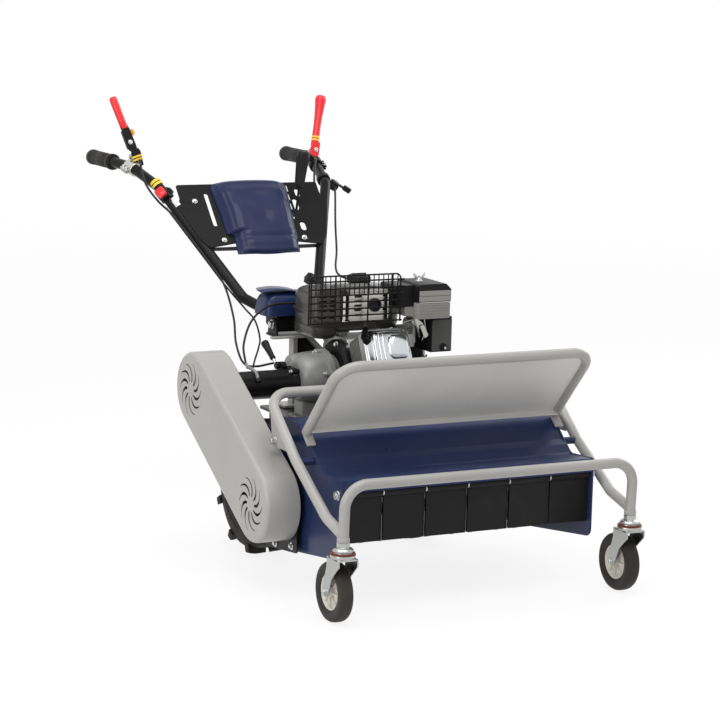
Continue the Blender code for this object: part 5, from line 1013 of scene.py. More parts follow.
# %% Rotor and hammers
BAY = 0.112
rotor_parts = [rod_shell((-0.292, *ROTOR_AXIS), (0.292, *ROTOR_AXIS), 0.022),
    rod_shell((-0.367, *ROTOR_AXIS), (0.308, *ROTOR_AXIS), 0.0125), pulley(ROTOR_AXIS, 0.045)]
disc = mirrored([(0.0215, -0.003), (0.061, -0.003), (0.062, -0.002)])
rotor_parts += [turned_shell(disc, ((k - 2.5) * BAY, *ROTOR_AXIS), (1, 0, 0)) for k in range(6)]
piece("rotor_welded", rotor_parts, BARE_STEEL, "rotor", stands_for=True, bevel=0.0004)
paddle = [(0.008, 0.0), (0.0095, 0.02), (0.0125, 0.048), (0.013, 0.0535), (0.0115, 0.055)]
paddle += [(-a, b) for a, b in reversed(paddle)] + arc((0, 0), 0.0088, 190, 350, 8)
for number, way in ((1, -1), (2, 1)):
    y, z = ROTOR_AXIS[0], ROTOR_AXIS[1] + way * 0.05
    parts = [rod_shell((-0.286, y, z), (0.286, y, z), 0.004)]
    for x in (-0.2835, 0.2835):
        parts.append(rod_shell((x - 0.0012, y, z), (x + 0.0012, y, z), 0.0058))
    blade = [(y + way * a, z + way * b) for a, b in paddle]
    for bay in range(5):
        for share in (0.29, 0.71):
            x = (bay - 2.5 + share) * BAY
            parts.append(plate_shell(blade, "x", x - 0.005, x + 0.005))
    piece(f"hammer_set_{number}", parts, BARE_STEEL, f"hammer_row_{number}", stands_for=True, bevel=0.0012)
print("hammers", 20)

# %% [markdown]
# A caster is a pressed fork on a ball race, with a small hub and a solid rubber tread. The fork's
# plates are dished outlines, the race is a turned profile, and the hub has a ring of pockets
# that a ring of ribs gives.

# %% Casters
tread = mirrored([(0.0375, -0.0105), (0.0392, -0.0122), (0.047, -0.014), (0.055, -0.015), (0.0592, -0.0135),
    (0.0616, -0.0095), (0.0623, -0.004)])
hub = mirrored([(0.0045, -0.0188), (0.0105, -0.0188), (0.0112, -0.018), (0.0118, -0.007), (0.03, -0.006),
    (0.034, -0.0105), (0.0372, -0.0118), (0.0378, -0.01)])
race = [(0.0005, 0.14), (0.0245, 0.14), (0.026, 0.1415), (0.026, 0.1475), (0.025, 0.1495), (0.0205, 0.1505),
    (0.0195, 0.1535), (0.0215, 0.1545), (0.0215, 0.1575), (0.019, 0.1605), (0.0125, 0.1625), (0.011, 0.165),
    (0.011, 0.1711), (0.008, 0.1711), (0.008, 0.2), (0.0005, 0.2)]
for name, side in SIDES.items():
    x = side * TRACK
    centre = (x, 0, CASTER_AXLE)
    node = f"caster_fork_{name}"
    cheek = soft_outline([(-0.06, 0.1412), (-0.06, 0.126), (-0.03, 0.098), (-0.012, 0.058), (0.0, 0.0525),
        (0.01, 0.058), (0.011, 0.068), (-0.006, 0.12), (-0.006, 0.1412)],
        [0, 0.008, 0.018, 0.01, 0.008, 0.006, 0.01, 0.02, 0], 5)
    shells = [plate_shell(cheek, "x", *sorted((x + s * 0.0195, x + s * 0.0225))) for s in (-1, 1)]
    shells.append(soft_block(x, -0.033, 0.0225, 0.027, 0.006, "z", 0.138, 0.1415))
    shells.append(turned_shell(race, (x, POST_Y, 0), (0, 0, 1)))
    shells.append(rod_shell((x - 0.0275, 0, CASTER_AXLE), (x + 0.0275, 0, CASTER_AXLE), 0.004))
    piece(f"caster_fork_pressed_{name}", shells, ZINC, node, stands_for=True, bevel=0.0007)
    seals = [turned_shell(band(0.02, radius, low, low + 0.0016), (x, POST_Y, 0), (0, 0, 1))
        for low, radius in ((0.148, 0.0264), (0.1508, 0.0247))]
    piece(f"caster_race_seals_{name}", seals, COPPER_SEAL, node, bevel=0.0003)
    hex_bolts(f"caster_axle_nuts_{name}", [((x + s * 0.0225, 0, CASTER_AXLE), (s, 0, 0)) for s in (-1, 1)],
        node, radius=0.0068, height=0.0026, washer=0.008)
    node = f"caster_wheel_{name}"
    piece(f"caster_tread_{name}", [turned_shell(tread, centre, (1, 0, 0), sides=64)], CASTER_RUBBER, node,
        stands_for=True)
    piece(f"caster_hub_{name}", [turned_shell(hub, centre, (1, 0, 0), sides=64)], CREAM_PLASTIC, node)
    rib = box_shell((-0.01, -0.0011, -0.0104), (0.011, 0.0011, 0.0104))
    ring(f"caster_hub_ribs_{name}", [rib], 8, 0.0225, centre, CREAM_PLASTIC, node)
print("casters", 2)

# %% [markdown]
# The transmission hangs under the bed and carries the wheels. Its case is a casting with a
# parting flange and bolts. The tyres have slanted lugs like a tractor's: each lug is a bar with
# a broad foot, bent round the tread, and both flanks alternate.

# %% Bed, axle case and wheels
bed = [soft_block(-0.02, 0.651, 0.125, 0.151, 0.01, "z", 0.281, 0.287),
    box_shell((-0.14, 0.4148, 0.232), (0.1, 0.4188, 0.287)),
    box_shell((-0.119, 0.772, 0.253), (0.079, 0.798, 0.2812))]
for s in (-1, 1):
    x = -0.02 + s * 0.1
    for low, high in (((x - 0.012, 0.4168, 0.251), (x + 0.012, 0.8, 0.254)),
            ((x - s * 0.012, 0.4168, 0.251), (x - s * 0.009, 0.8, 0.2812)),
            ((x - 0.012, 0.4168, 0.2785), (x + 0.012, 0.8, 0.2812))):
        bed.append(box_shell([min(a, b) for a, b in zip(low, high)],
            [max(a, b) for a, b in zip(low, high)]))
piece("bed_plate_and_rails", bed, BLACK, "bed_frame", stands_for=True, bevel=0.0009)
bed_seats = [((x, y, 0.287), (0, 0, 1)) for x in (-0.133, 0.093) for y in (0.515, 0.62, 0.725)]
hex_bolts("bed_bolts", bed_seats, "bed_frame", radius=0.006, washer=0.0092)

AXLE, BED_TOP = (0.58, 0.15), 0.2873
case_outline = soft_outline([(0.52, 0.2797), (0.655, 0.2797), (0.655, 0.2), (0.625, 0.095), (0.54, 0.095),
    (0.52, 0.15)], [0.003, 0.003, 0.02, 0.02, 0.02, 0.02], 6)
flange_outline = soft_outline([(0.5155, 0.279), (0.6595, 0.279), (0.6595, 0.199), (0.628, 0.09),
    (0.537, 0.09), (0.5155, 0.15)], [0.003, 0.003, 0.022, 0.022, 0.022, 0.022], 6)
casing = [plate_shell(case_outline, "x", -0.09, 0.01), plate_shell(flange_outline, "x", -0.045, -0.035),
    rod_shell((-0.2065, *AXLE), (0.1265, *AXLE), 0.022), rod_shell((-0.261, *AXLE), (0.181, *AXLE), 0.012)]
for s in (-1, 1):
    casing.append(rod_shell((MID_X + s * 0.048, *AXLE), (MID_X + s * 0.068, *AXLE), 0.038, 0.034, sides=48))
    for z in (0.185, 0.215, 0.245):
        casing.append(box_shell((MID_X + min(s * 0.049, s * 0.053), 0.527, z - 0.0022),
            (MID_X + max(s * 0.049, s * 0.053), 0.648, z + 0.0022)))
    casing.append(rod_shell((MID_X + s * 0.2135, *AXLE), (MID_X + s * 0.2195, *AXLE), 0.019, sides=6))
piece("axle_casting", casing, CAST_ALUMINIUM, "axle_case", stands_for=True, bevel=0.0012)
case_bolts = [((-0.035, y, z), (1, 0, 0)) for y, z in ((0.5195, 0.262), (0.5195, 0.205), (0.655, 0.262),
    (0.652, 0.205), (0.552, 0.094), (0.612, 0.094))]
hex_bolts("axle_case_bolts", case_bolts, "axle_case", radius=0.0042, height=0.004, washer=0.0058)


def lug_shell(centre, angle, flank):
    """One slanted bar of the tread, wrapped round the tyre in eight steps."""
    rings = []
    for i in range(9):
        share = i / 8
        x = -0.004 + 0.053 * share
        shift = 0.02 - 0.04 * share
        fall = 0.0055 * max(0.0, (share - 0.55) / 0.45) ** 2
        rim = []
        flank_side = [(0.1275, 0.0118), (0.145 - fall, 0.0096), (0.1492 - fall, 0.0086),
            (0.1498 - fall, 0.0072)]
        for radius, width in mirrored(flank_side):
            theta = angle + (shift * 0.6 + width) / 0.15
            rim.append((centre[0] + flank * x, centre[1] + radius * math.sin(theta),
                centre[2] - radius * math.cos(theta)))
        rings.append(rim)
    return ring_shell(rings)


tyre = mirrored([(0.0735, -0.036), (0.079, -0.0425), (0.086, -0.0445), (0.095, -0.0468), (0.11, -0.047),
    (0.122, -0.0455), (0.131, -0.0425), (0.1355, -0.036), (0.1378, -0.02)], (0.138, 0.0))
rim = [(0.0125, -0.03), (0.024, -0.03), (0.026, -0.028), (0.026, -0.0035), (0.04, -0.003), (0.052, -0.006),
    (0.062, -0.0035), (0.069, -0.0035), (0.069, -0.0435), (0.0705, -0.044), (0.0815, -0.044),
    (0.0815, -0.0425), (0.073, -0.037), (0.073, 0.037), (0.0815, 0.0425), (0.0815, 0.044), (0.0705, 0.044),
    (0.069, 0.043), (0.069, 0.004), (0.062, 0.0045), (0.052, 0.0015), (0.04, 0.0045), (0.026, 0.004),
    (0.026, 0.0145), (0.0245, 0.016), (0.0125, 0.016)]
for name, side in SIDES.items():
    centre = (MID_X + side * 0.197, *AXLE)
    parts = [turned_shell(tyre, centre, (1, 0, 0), sides=96),
        turned_shell(band(0.1, 0.103, -0.0478, -0.045), centre, (1, 0, 0), sides=96)]
    for k in range(9):
        for flank in (-1, 1):
            parts.append(lug_shell(centre, 2 * math.pi * (k + (0.25 if flank > 0 else -0.25)) / 9, flank))
    piece(f"tractor_tyre_{name}", parts, TYRE_RUBBER, f"tyre_{name}", stands_for=True, smooth=32)
    piece(f"wheel_rim_{name}", [turned_shell(rim, centre, (side, 0, 0), sides=72)], CREAM_PLASTIC,
        f"rim_{name}", stands_for=True, smooth=28)
    studs = [((centre[0] + side * 0.0045, *spot), (side, 0, 0)) for spot in arc(AXLE, 0.033, 45, 315, 3)]
    hex_bolts(f"wheel_studs_{name}", studs, f"rim_{name}", radius=0.0055, washer=0.0075)
print("wheels", 2)

# %% [markdown]
# A glossy black tube runs from the belt case to the gearbox round the drive shaft. The gearbox is
# a smooth cast dome with a bolted flange, and a short hand lever beside it works the drive.

# %% Drive tube, gearbox and its lever
tube_profile = [(0.013, 0.0), (0.0385, 0.0), (0.04, 0.0012), (0.04, 0.005), (0.0385, 0.006), (0.033, 0.006),
    (0.032, 0.0075), (0.032, 0.155), (0.0345, 0.156), (0.035, 0.157), (0.035, 0.1712), (0.034, 0.1722),
    (0.013, 0.1722)]
drive_parts = [turned_shell(tube_profile, (-0.3125, *DRIVE_AXIS), (1, 0, 0), sides=64)]
foot_outline = soft_outline([(0.634, 0.383), (0.664, 0.383), (0.664, 0.408), (0.657, 0.4155),
    (0.64, 0.4155), (0.634, 0.408)], [0.001, 0.001, 0.006, 0.006, 0.004, 0.004], 4)
drive_parts.append(plate_shell(foot_outline, "x", -0.166, -0.154))
boss_seats = arc(DRIVE_AXIS, 0.0355, 55, 125, 1)
drive_parts += [rod_shell((-0.158, *seat), (-0.1405, *seat), 0.0065) for seat in boss_seats]
piece("drive_tube_turned", drive_parts, BLACK, "drive_tube", stands_for=True, bevel=0.0006)
ring_bolts = [((-0.158, *seat), (-1, 0, 0)) for seat in boss_seats]
ring_bolts += [((-0.3065, *seat), (1, 0, 0)) for seat in arc(DRIVE_AXIS, 0.035, 70, 310, 2)]
hex_bolts("drive_tube_bolts", ring_bolts, "drive_tube", radius=0.0042, height=0.004, washer=0.006)

GEAR_AXIS = (0.623, 0.379)
dome = [(0.0005, 0.0), (0.036, 0.0), (0.04, 0.0005), (0.0455, 0.0035), (0.05, 0.0085), (0.0535, 0.015),
    (0.056, 0.023), (0.0575, 0.032), (0.058, 0.042), (0.058, 0.06), (0.06, 0.0612), (0.0642, 0.0612),
    (0.065, 0.0622), (0.065, 0.0672), (0.0645, 0.068), (0.0645, 0.0692), (0.065, 0.07), (0.065, 0.0752),
    (0.0642, 0.076), (0.054, 0.0764), (0.052, 0.0785), (0.052, 0.0924), (0.0005, 0.0924)]
gear_parts = [turned_shell(dome, (-0.14, *GEAR_AXIS), (1, 0, 0), sides=80)]
shoulder = [(0.0005, 0.002), (0.02, 0.002), (0.0245, 0.004), (0.027, 0.01), (0.03, 0.03), (0.0335, 0.068),
    (0.0005, 0.068)]
gear_parts.append(turned_shell(shoulder, (-0.14, 0.663, 0.401), (1, 0, 0), sides=48))
gear_parts.append(soft_block(-0.094, 0.625, 0.034, 0.025, 0.006, "z", BED_TOP, 0.345))
gear_parts.append(soft_block(-0.096, 0.625, 0.042, 0.035, 0.008, "z", BED_TOP, 0.2953))
flange_seats = arc(GEAR_AXIS, 0.0585, 90, 90 + 288, 4)
gear_parts += [rod_shell((-0.09, *seat), (-0.065, *seat), 0.0075, 0.0082) for seat in flange_seats]
piece("gearbox_casting", gear_parts, CAST_GREY, "gearbox", stands_for=True, bevel=0.0009, smooth=30)
dome_bolts = [((-0.0895, *seat), (-1, 0, 0)) for seat in flange_seats]
hex_bolts("gearbox_bolts", dome_bolts, "gearbox", radius=0.0046, height=0.0045, washer=0.0066)

pivot = (0.653, 0.407)
reach = Vector((-0.12, 0.68, 0.62)).normalized()
arm_start = Vector((-0.1705, *pivot))
knob = [(0.0005, 0.019), (0.0058, 0.019), (0.0066, 0.021), (0.0066, 0.026), (0.006, 0.028), (0.0064, 0.033),
    (0.0078, 0.052), (0.009, 0.062), (0.009, 0.0665), (0.0078, 0.0692), (0.005, 0.07), (0.0005, 0.07)]
lever_parts = [rod_shell((-0.1745, *pivot), (-0.1665, *pivot), 0.008), turned_shell(knob, arm_start, reach)]
piece("drive_lever_knob", lever_parts, BLACK_PLASTIC, "pto_lever", stands_for=True, bevel=0.0006)
piece("drive_lever_rod", [rod_shell(arm_start, arm_start + reach * 0.024, 0.0035),
    rod_shell((-0.1675, *pivot), (-0.152, *pivot), 0.003)], ZINC, "pto_lever", bevel=0.0004)
print("drive line", len(gear_parts))

# %% [markdown]
# A dark bell with cooling ribs stands between the gearbox and the engine. Its ribs are copies
# in a ring, turned to face outwards, and bright bolt heads sit on its rim.

# %% Clutch bell
CRANK = (0.623, 0.393)
bell = [(0.0005, 0.0), (0.02, 0.0), (0.0215, 0.002), (0.026, 0.003), (0.035, 0.003), (0.037, 0.0008),
    (0.059, 0.0003), (0.064, 0.002), (0.0685, 0.006), (0.0705, 0.0095), (0.071, 0.0125), (0.071, 0.0185),
    (0.0695, 0.0205), (0.068, 0.0212), (0.0005, 0.0212)]
piece("clutch_bell", [turned_shell(bell, (-0.0467, *CRANK), (1, 0, 0), sides=72)], BLACK_PLASTIC,
    "clutch_housing", stands_for=True, smooth=28)
rib = box_shell((-0.01, -0.001, -0.0012), (0.0105, 0.001, 0.0012))
ring("clutch_bell_ribs", [rib], 36, 0.048, (-0.0462, *CRANK), BLACK_PLASTIC, "clutch_housing")
bell_bolts = [((-0.044, *seat), (-1, 0, 0)) for seat in arc(CRANK, 0.0655, 105, 285, 2)]
hex_bolts("clutch_bell_bolts", bell_bolts, "clutch_housing", radius=0.0052, height=0.0045, washer=0.007)

# %% [markdown]
# The engine is a small single with its cylinder leaning forwards. The crankcase is a casting, the
# cylinder carries thin square fins in a row, and the head has bolts at its corners. Everything on
# the cylinder is built upright first, with its own length along Z, and then leant over.

# %% Crankcase, cylinder and head
CYLINDER_X = 0.018
TILT = math.radians(25.0)
CYLINDER = Matrix((
    (1, 0, 0, CYLINDER_X), (0, math.sin(TILT), -math.cos(TILT), CRANK[0]),
    (0, math.cos(TILT), math.sin(TILT), CRANK[1]), (0, 0, 0, 1)))
block_outline = soft_outline([(0.548, BED_TOP), (0.706, BED_TOP), (0.714, 0.33), (0.716, 0.44),
    (0.69, 0.468), (0.6, 0.47), (0.56, 0.44), (0.55, 0.33)], [0.004, 0.004] + [0.02] * 6, 5)
foot_rim = soft_outline([(0.543, BED_TOP), (0.711, BED_TOP), (0.711, 0.2975), (0.543, 0.2975)], 0.003, 3)
block = [plate_shell(block_outline, "x", -0.025, 0.085), plate_shell(foot_rim, "x", -0.03, 0.09),
    placed(soft_block(0, 0, 0.037, 0.034, 0.008, "z", 0.03, 0.134), CYLINDER),
    placed(soft_block(0, 0, 0.054, 0.05, 0.01, "z", 0.134, 0.158), CYLINDER)]
for x in (-0.019, 0.067):
    block.append(box_shell((x, 0.64, 0.46), (x + 0.018, 0.69, 0.4792)))
    block.append(box_shell((x - 0.004, 0.636, 0.476), (x + 0.022, 0.694, 0.4792)))
piece("engine_casting", block, CAST_ALUMINIUM, "engine_block", stands_for=True, bevel=0.0012)
leaning = CYLINDER.to_3x3().to_4x4()
fin = placed(soft_block(0, 0, 0.05, 0.047, 0.012, "z", 0.0, 0.0022, 4), leaning)
row("cylinder_fins", fin, 8, CYLINDER @ Vector((0, 0, 0.078)), leaning @ Vector((0, 0, 0.0068)),
    CAST_ALUMINIUM, "engine_block")
fin = placed(soft_block(0, 0, 0.0012, 0.016, 0.0008, "z", 0.0, 0.018, 2), leaning)
row("head_fins", fin, 13, CYLINDER @ Vector((-0.045, 0.036, 0.138)), (0.0075, 0, 0), CAST_ALUMINIUM,
    "engine_block")
head_bolts = [seat_on(CYLINDER, (x, y, 0.158)) for x in (-0.0485, 0.0485) for y in (-0.043, 0.043)]
side_bolts = [((-0.025, *seat), (-1, 0, 0)) for seat in ((0.585, 0.452), (0.7, 0.452), (0.566, 0.32))]
hex_bolts("engine_bolts", head_bolts + side_bolts, "engine_block", radius=0.0045, height=0.004,
    washer=0.006)
plug = [rod_shell((-0.038, 0.012, 0.15), (-0.06, 0.03, 0.176), 0.0075, 0.0085),
    rod_shell((-0.06, 0.03, 0.176), (-0.05, 0.05, 0.17), 0.0075, 0.006)]
piece("spark_plug_boot", plug, BLACK_PLASTIC, "engine_block", bevel=0.0012, place=CYLINDER)
print("fins", 8)

# %% [markdown]
# The valve cover is bright pressed sheet: a flat rim, a raised body with soft corners, a few
# upright ribs at one side and a broad bulge at the other. Rings of a rounded square, set one
# over the other, give the pressed shape.

# %% Valve cover
def soft_ring(half_x, half_y, level, cx=0.0, cy=0.0, power=0.35, count=48):
    loop = []
    for spoke in around((0, 0), 1, [2 * math.pi * (k + 0.5) / count for k in range(count)]):
        a, b = (math.copysign(abs(v) ** power, v) for v in spoke)
        loop.append((cx + half_x * a, cy + half_y * b, level))
    return loop


pressed = ((0.0555, 0.0455, 0.1583), (0.056, 0.046, 0.159), (0.056, 0.046, 0.1612), (0.055, 0.045, 0.1622),
    (0.0508, 0.0408, 0.1626), (0.0498, 0.0398, 0.164), (0.0485, 0.0385, 0.175), (0.047, 0.0372, 0.1812),
    (0.0435, 0.034, 0.185), (0.037, 0.0275, 0.1872), (0.025, 0.017, 0.1883))
bulge = ((0.027, 0.029, 0.182, 0.55), (0.0262, 0.0282, 0.188, 0.6), (0.0235, 0.025, 0.1915, 0.7),
    (0.016, 0.017, 0.194, 0.85), (0.005, 0.005, 0.1946, 1.0))
cover_parts = [ring_shell([soft_ring(*level) for level in pressed]),
    ring_shell([soft_ring(a, b, level, 0.014, -0.001, power) for a, b, level, power in bulge])]
for x in (-0.042, -0.0315, -0.021):
    cover_parts.append(ring_shell([soft_ring(0.0034, 0.033, 0.176, x, 0, 0.5, 24),
        soft_ring(0.0032, 0.032, 0.1885, x, 0, 0.5, 24), soft_ring(0.002, 0.03, 0.1902, x, 0, 0.6, 24)]))
piece("valve_cover_pressing", cover_parts, BRIGHT_COVER, "valve_cover", stands_for=True, smooth=60,
    place=CYLINDER)
cover_bolts = [seat_on(CYLINDER, (x, y, 0.1622)) for y in (0.036, -0.036) for x in (-0.0515, 0.0515)]
hex_bolts("valve_cover_bolts", cover_bolts, "valve_cover", radius=0.0036, height=0.003, washer=0.0044)

# %% [markdown]
# Behind the muffler sits the fuel tank, two dark pressed halves with a seam round the middle. The
# seam is a thin flange, whose edge shows as a pale line. The cap has a ribbed rim to grip.

# %% Fuel tank and cap
CAP_AT = (0.05, 0.69)


def tank_ring(z, inset):
    return [(a, b, z) for a, b in soft_box(0.018, 0.685, 0.112 - inset, 0.067 - inset,
        max(0.006, 0.03 - inset * 0.4))]


tank_levels = [(0.4795, 0.022), (0.48, 0.018), (0.4815, 0.013), (0.4845, 0.0082), (0.489, 0.0045),
    (0.4945, 0.0025), (0.524, 0.0012), (0.5245, -0.0018), (0.5275, -0.0018), (0.528, 0.0012),
    (0.556, 0.0015), (0.563, 0.0032), (0.569, 0.0068), (0.5735, 0.0125), (0.5765, 0.02), (0.578, 0.03)]
tank = [ring_shell([tank_ring(z, inset) for z, inset in tank_levels])]
belly = [[(a, b, z) for a, b in soft_box(-0.061, 0.685, 0.033 - i, 0.067 - i, 0.024)]
    for z, i in ((0.4655, 0.014), (0.4662, 0.01), (0.468, 0.006), (0.4715, 0.0035), (0.478, 0.0022),
    (0.492, 0.0022))]
tank.append(ring_shell(belly))
tank.append(turned_shell([(0.0005, 0.573), (0.024, 0.573), (0.0235, 0.579), (0.0195, 0.58), (0.019, 0.582),
    (0.0005, 0.582)], (*CAP_AT, 0), (0, 0, 1)))
TANK_PAINT = powder_coat("dark_tank_enamel", (0.04, 0.038, 0.035), 0.2, dust=0.04, peel=0.00003)
piece("fuel_tank_pressing", tank, TANK_PAINT, "fuel_tank", stands_for=True, smooth=40)
cap = [(0.0005, 0.0), (0.0262, 0.0), (0.027, 0.001), (0.027, 0.0135), (0.0262, 0.0155), (0.0235, 0.0175),
    (0.015, 0.019), (0.014, 0.02), (0.0005, 0.02)]
piece("fuel_cap_body", [turned_shell(cap, (*CAP_AT, 0.5823), (0, 0, 1)),
    soft_block(*CAP_AT, 0.018, 0.0035, 0.002, "z", 0.6005, 0.604)], BLACK_PLASTIC, "fuel_cap",
    stands_for=True, bevel=0.0004)
notch = box_shell((-0.0006, -0.0014, 0.0), (0.001, 0.0014, 0.0115))
ring("fuel_cap_ribs", [notch], 28, 0.0268, (*CAP_AT, 0.584), BLACK_PLASTIC, "fuel_cap", (0, 0, 0))

# %% [markdown]
# The muffler is a flat box with a bright plate on its face and a louvred sheet beside it
# that shields the tank, coloured dark as painted shade. Each slot, small hole and the large
# outlet is cut through its sheet, and the dark metal behind shows in them.

# %% Muffler
FACE_FRONT, FACE_BACK, OUTLET_X, OUTLET_Z = 0.459, 0.4612, -0.027, 0.567
CUT_FROM, CUT_TO = 0.455, 0.466
DARK_MUFFLER = casting("heat_darkened_muffler", (0.04, 0.037, 0.033), 0.38, 0.55, 0.0001)


def muffler_ring(y, inset):
    return [(a, y, b) for a, b in soft_box(-0.04175, 0.567, 0.04975 - inset, 0.035 - inset, 0.012)]


body = [ring_shell([muffler_ring(y, i) for y, i in ((0.464, 0.007), (0.4645, 0.004), (0.4665, 0.002),
    (0.471, 0.0012), (0.506, 0.0012), (0.507, -0.0004), (0.511, -0.0004), (0.512, 0.0012), (0.558, 0.0012),
    (0.5625, 0.003), (0.565, 0.006), (0.566, 0.01))])]
neck_near = CYLINDER @ Vector((0, 0.0503, 0.137))
neck_far = CYLINDER @ Vector((0, 0.0503, 0.155))
neck = [(neck_near.y, neck_near.z), (neck_far.y, neck_far.z), (neck_far.y - 0.004, 0.535),
    (neck_near.y + 0.004, 0.535)]
body.append(plate_shell(neck, "x", -0.022, 0.0))
piece("muffler_box", body, DARK_MUFFLER, "muffler", stands_for=True, bevel=0.0005)
front = soft_plate(band(-0.0905, 0.0075, 0.5335, 0.601), 0.006, "y", FACE_FRONT, FACE_BACK)
front_plate = piece("muffler_front_plate", [front], HEAT_PLATE, "muffler", bevel=0.0004)
shield = soft_plate([(-0.169, 0.536), (-0.112, 0.5345), (-0.112, 0.601), (-0.119, 0.608), (-0.156, 0.608),
    (-0.169, 0.598)], [0.004, 0.004, 0.006, 0.006, 0.01, 0.008], "y", FACE_FRONT, FACE_BACK)
# The shield sheet's dark grey is painted shade that stands for the shade on the muffler's side face.
SHADED_SHIELD_SHEET = casting("shield_sheet_painted_shade", (0.095, 0.088, 0.08), 0.36, 0.5, 0.0001)
shield_plate = piece("muffler_shield", [shield], SHADED_SHIELD_SHEET, "muffler", bevel=0.0006)


def slot_cutter(cx, cz, half_x, half_z):
    return soft_block(cx, cz, half_x, half_z, min(half_x, half_z) * 0.95, "y", CUT_FROM, CUT_TO, 4)


slots = [slot_cutter(-0.068, z, 0.0095, 0.0024) for z in (0.546, 0.557, 0.567, 0.577, 0.587)]
slots += [slot_cutter(-0.003, z, 0.0045, 0.0024) for z in (0.557, 0.577, 0.587)]
slots += [rod_shell((x, CUT_FROM, z), (x, CUT_TO, z), 0.0022)
    for x, z in ((-0.051, 0.59), (-0.008, 0.546), (0.001, 0.546))]
slots.append(rod_shell((OUTLET_X, CUT_FROM, OUTLET_Z), (OUTLET_X, CUT_TO, OUTLET_Z), 0.014, sides=40))
shield_slots = [slot_cutter(x, z, half, 0.0024) for x, half in ((-0.1535, 0.0095), (-0.1305, 0.0075))
    for z in (0.543, 0.558, 0.569, 0.579, 0.589)]
carve(front_plate, slots)
carve(shield_plate, shield_slots)
behind = [soft_plate([(-0.167, 0.5375), (-0.09, 0.5365), (-0.09, 0.599), (-0.12, 0.605), (-0.156, 0.605),
    (-0.167, 0.596)], 0.004, "y", 0.47, 0.4712)]
for left, right, low, high in ((-0.168, -0.1668, 0.5395, 0.595), (-0.164, -0.091, 0.5366, 0.5378),
        (-0.154, -0.121, 0.6062, 0.6074)):
    behind.append(box_shell((left, 0.46, low), (right, 0.471, high)))
piece("muffler_shield_pan", behind, DARK_MUFFLER, "muffler")
outlet = [(0.0115, 0.0), (0.0115, 0.0085), (0.0152, 0.0085), (0.0152, 0.006), (0.0135, 0.005),
    (0.0135, 0.0)]
SOOT = casting("soot_black", (0.006, 0.006, 0.006), 0.6, 0.25, 0.0001)
piece("muffler_outlet", [turned_shell(outlet, (OUTLET_X, 0.464, OUTLET_Z), (0, -1, 0)),
    rod_shell((OUTLET_X, FACE_BACK, OUTLET_Z), (OUTLET_X, 0.46, OUTLET_Z), 0.011)], SOOT, "muffler")
print("muffler openings", len(slots) + len(shield_slots))

# %% [markdown]
# A panel of welded wire stands ahead of the muffler and keeps hands off it. Long wires run
# across, a few uprights and a bent rim hold them, and a comb of close wires closes the top.

# %% Wire guard
WIRE = 0.0019
LEFT, RIGHT, FRONT, BOTTOM, TOP = -0.196, 0.028, 0.441, 0.534, 0.637
AHEAD = FRONT + 1.2 * WIRE
levels = [BOTTOM + 0.015 * k for k in range(5)] + [TOP - 0.028, TOP - 0.012]
wires = [[(LEFT - 0.003, FRONT, z), (RIGHT + (0.008 if z > 0.57 else 0.003), FRONT, z)] for z in levels]
wires.append(bend([(LEFT, AHEAD, BOTTOM - 0.003), (LEFT, AHEAD, TOP), (RIGHT, AHEAD, TOP),
    (RIGHT, AHEAD, BOTTOM - 0.003)], 0.012, 6))
wires += [[(x, AHEAD, BOTTOM - 0.003), (x, AHEAD, TOP + 0.001)]
    for x in (-0.191, -0.164, -0.132, -0.052, 0.006)]
tubes("muffler_guard_wires", wires, WIRE, BLACK, "muffler_guard", stands_for=True, sides=10)
comb = [[(-0.18 + 0.0118 * k, AHEAD, z) for z in (0.5925, TOP)] for k in range(18)]
tubes("muffler_guard_comb", comb, 0.0013, BLACK, "muffler_guard", sides=8)
strap = soft_outline([(0.4587, 0.5335), (0.4587, 0.592), (0.4557, 0.592), (0.4557, 0.537), (0.442, 0.5362),
    (0.44, 0.5328)], [0.001, 0.0012, 0.0012, 0.0015, 0.0008, 0.0008], 3)
piece("muffler_guard_bright_strap", [plate_shell(strap, "x", -0.1065, -0.1005)], BOLT_ZINC, "muffler_guard",
    bevel=0.0004)
piece("muffler_guard_dark_strap", [plate_shell(strap, "x", -0.003, 0.003)], BLACK, "muffler_guard",
    bevel=0.0004)
print("wires", len(wires) + len(comb))

# %% [markdown]
# The air cleaner has a dark cover with two pale bands, held by a wing nut, over a ribbed pale
# tray. Below it hangs the box with the switch gear, and the flywheel's blower case and its
# starter cover close the left side.

# %% Air cleaner, control box and blower
cover_outline = soft_outline([(0.067, 0.572), (0.148, 0.572), (0.148, 0.599), (0.135, 0.612),
    (0.067, 0.612)], [0.001, 0.002, 0.004, 0.004, 0.006], 4)
cleaner = [plate_shell(cover_outline, "y", 0.4295, 0.53), soft_plate([(0.067, 0.6), (0.148, 0.597),
    (0.148, 0.599), (0.135, 0.612), (0.067, 0.612)], [0.0005, 0.0006, 0.004, 0.004, 0.006], "y", 0.428,
    0.431, 4), soft_plate([(0.022, 0.56), (0.068, 0.56), (0.068, 0.608), (0.022, 0.608)],
    [0.002, 0.001, 0.001, 0.005], "y", 0.452, 0.529, 4)]
piece("air_cleaner_case", cleaner, BLACK_PLASTIC, "air_cleaner", stands_for=True, bevel=0.0008)
front_band = soft_block(0.1075, 0.0, 0.0392, 0.0057, 0.0012, "y", 0.4282, 0.4305, 3)
side_band = soft_block(0.479, 0.0, 0.049, 0.0057, 0.0012, "x", 0.147, 0.1486, 3)
row("air_cleaner_bands", front_band, 2, (0, 0, 0.5793), (0, 0, 0.0124), PALE_PLASTIC, "air_cleaner")
row("air_cleaner_side_bands", side_band, 2, (0, 0, 0.5793), (0, 0, 0.0124), GREY_PLASTIC, "air_cleaner")
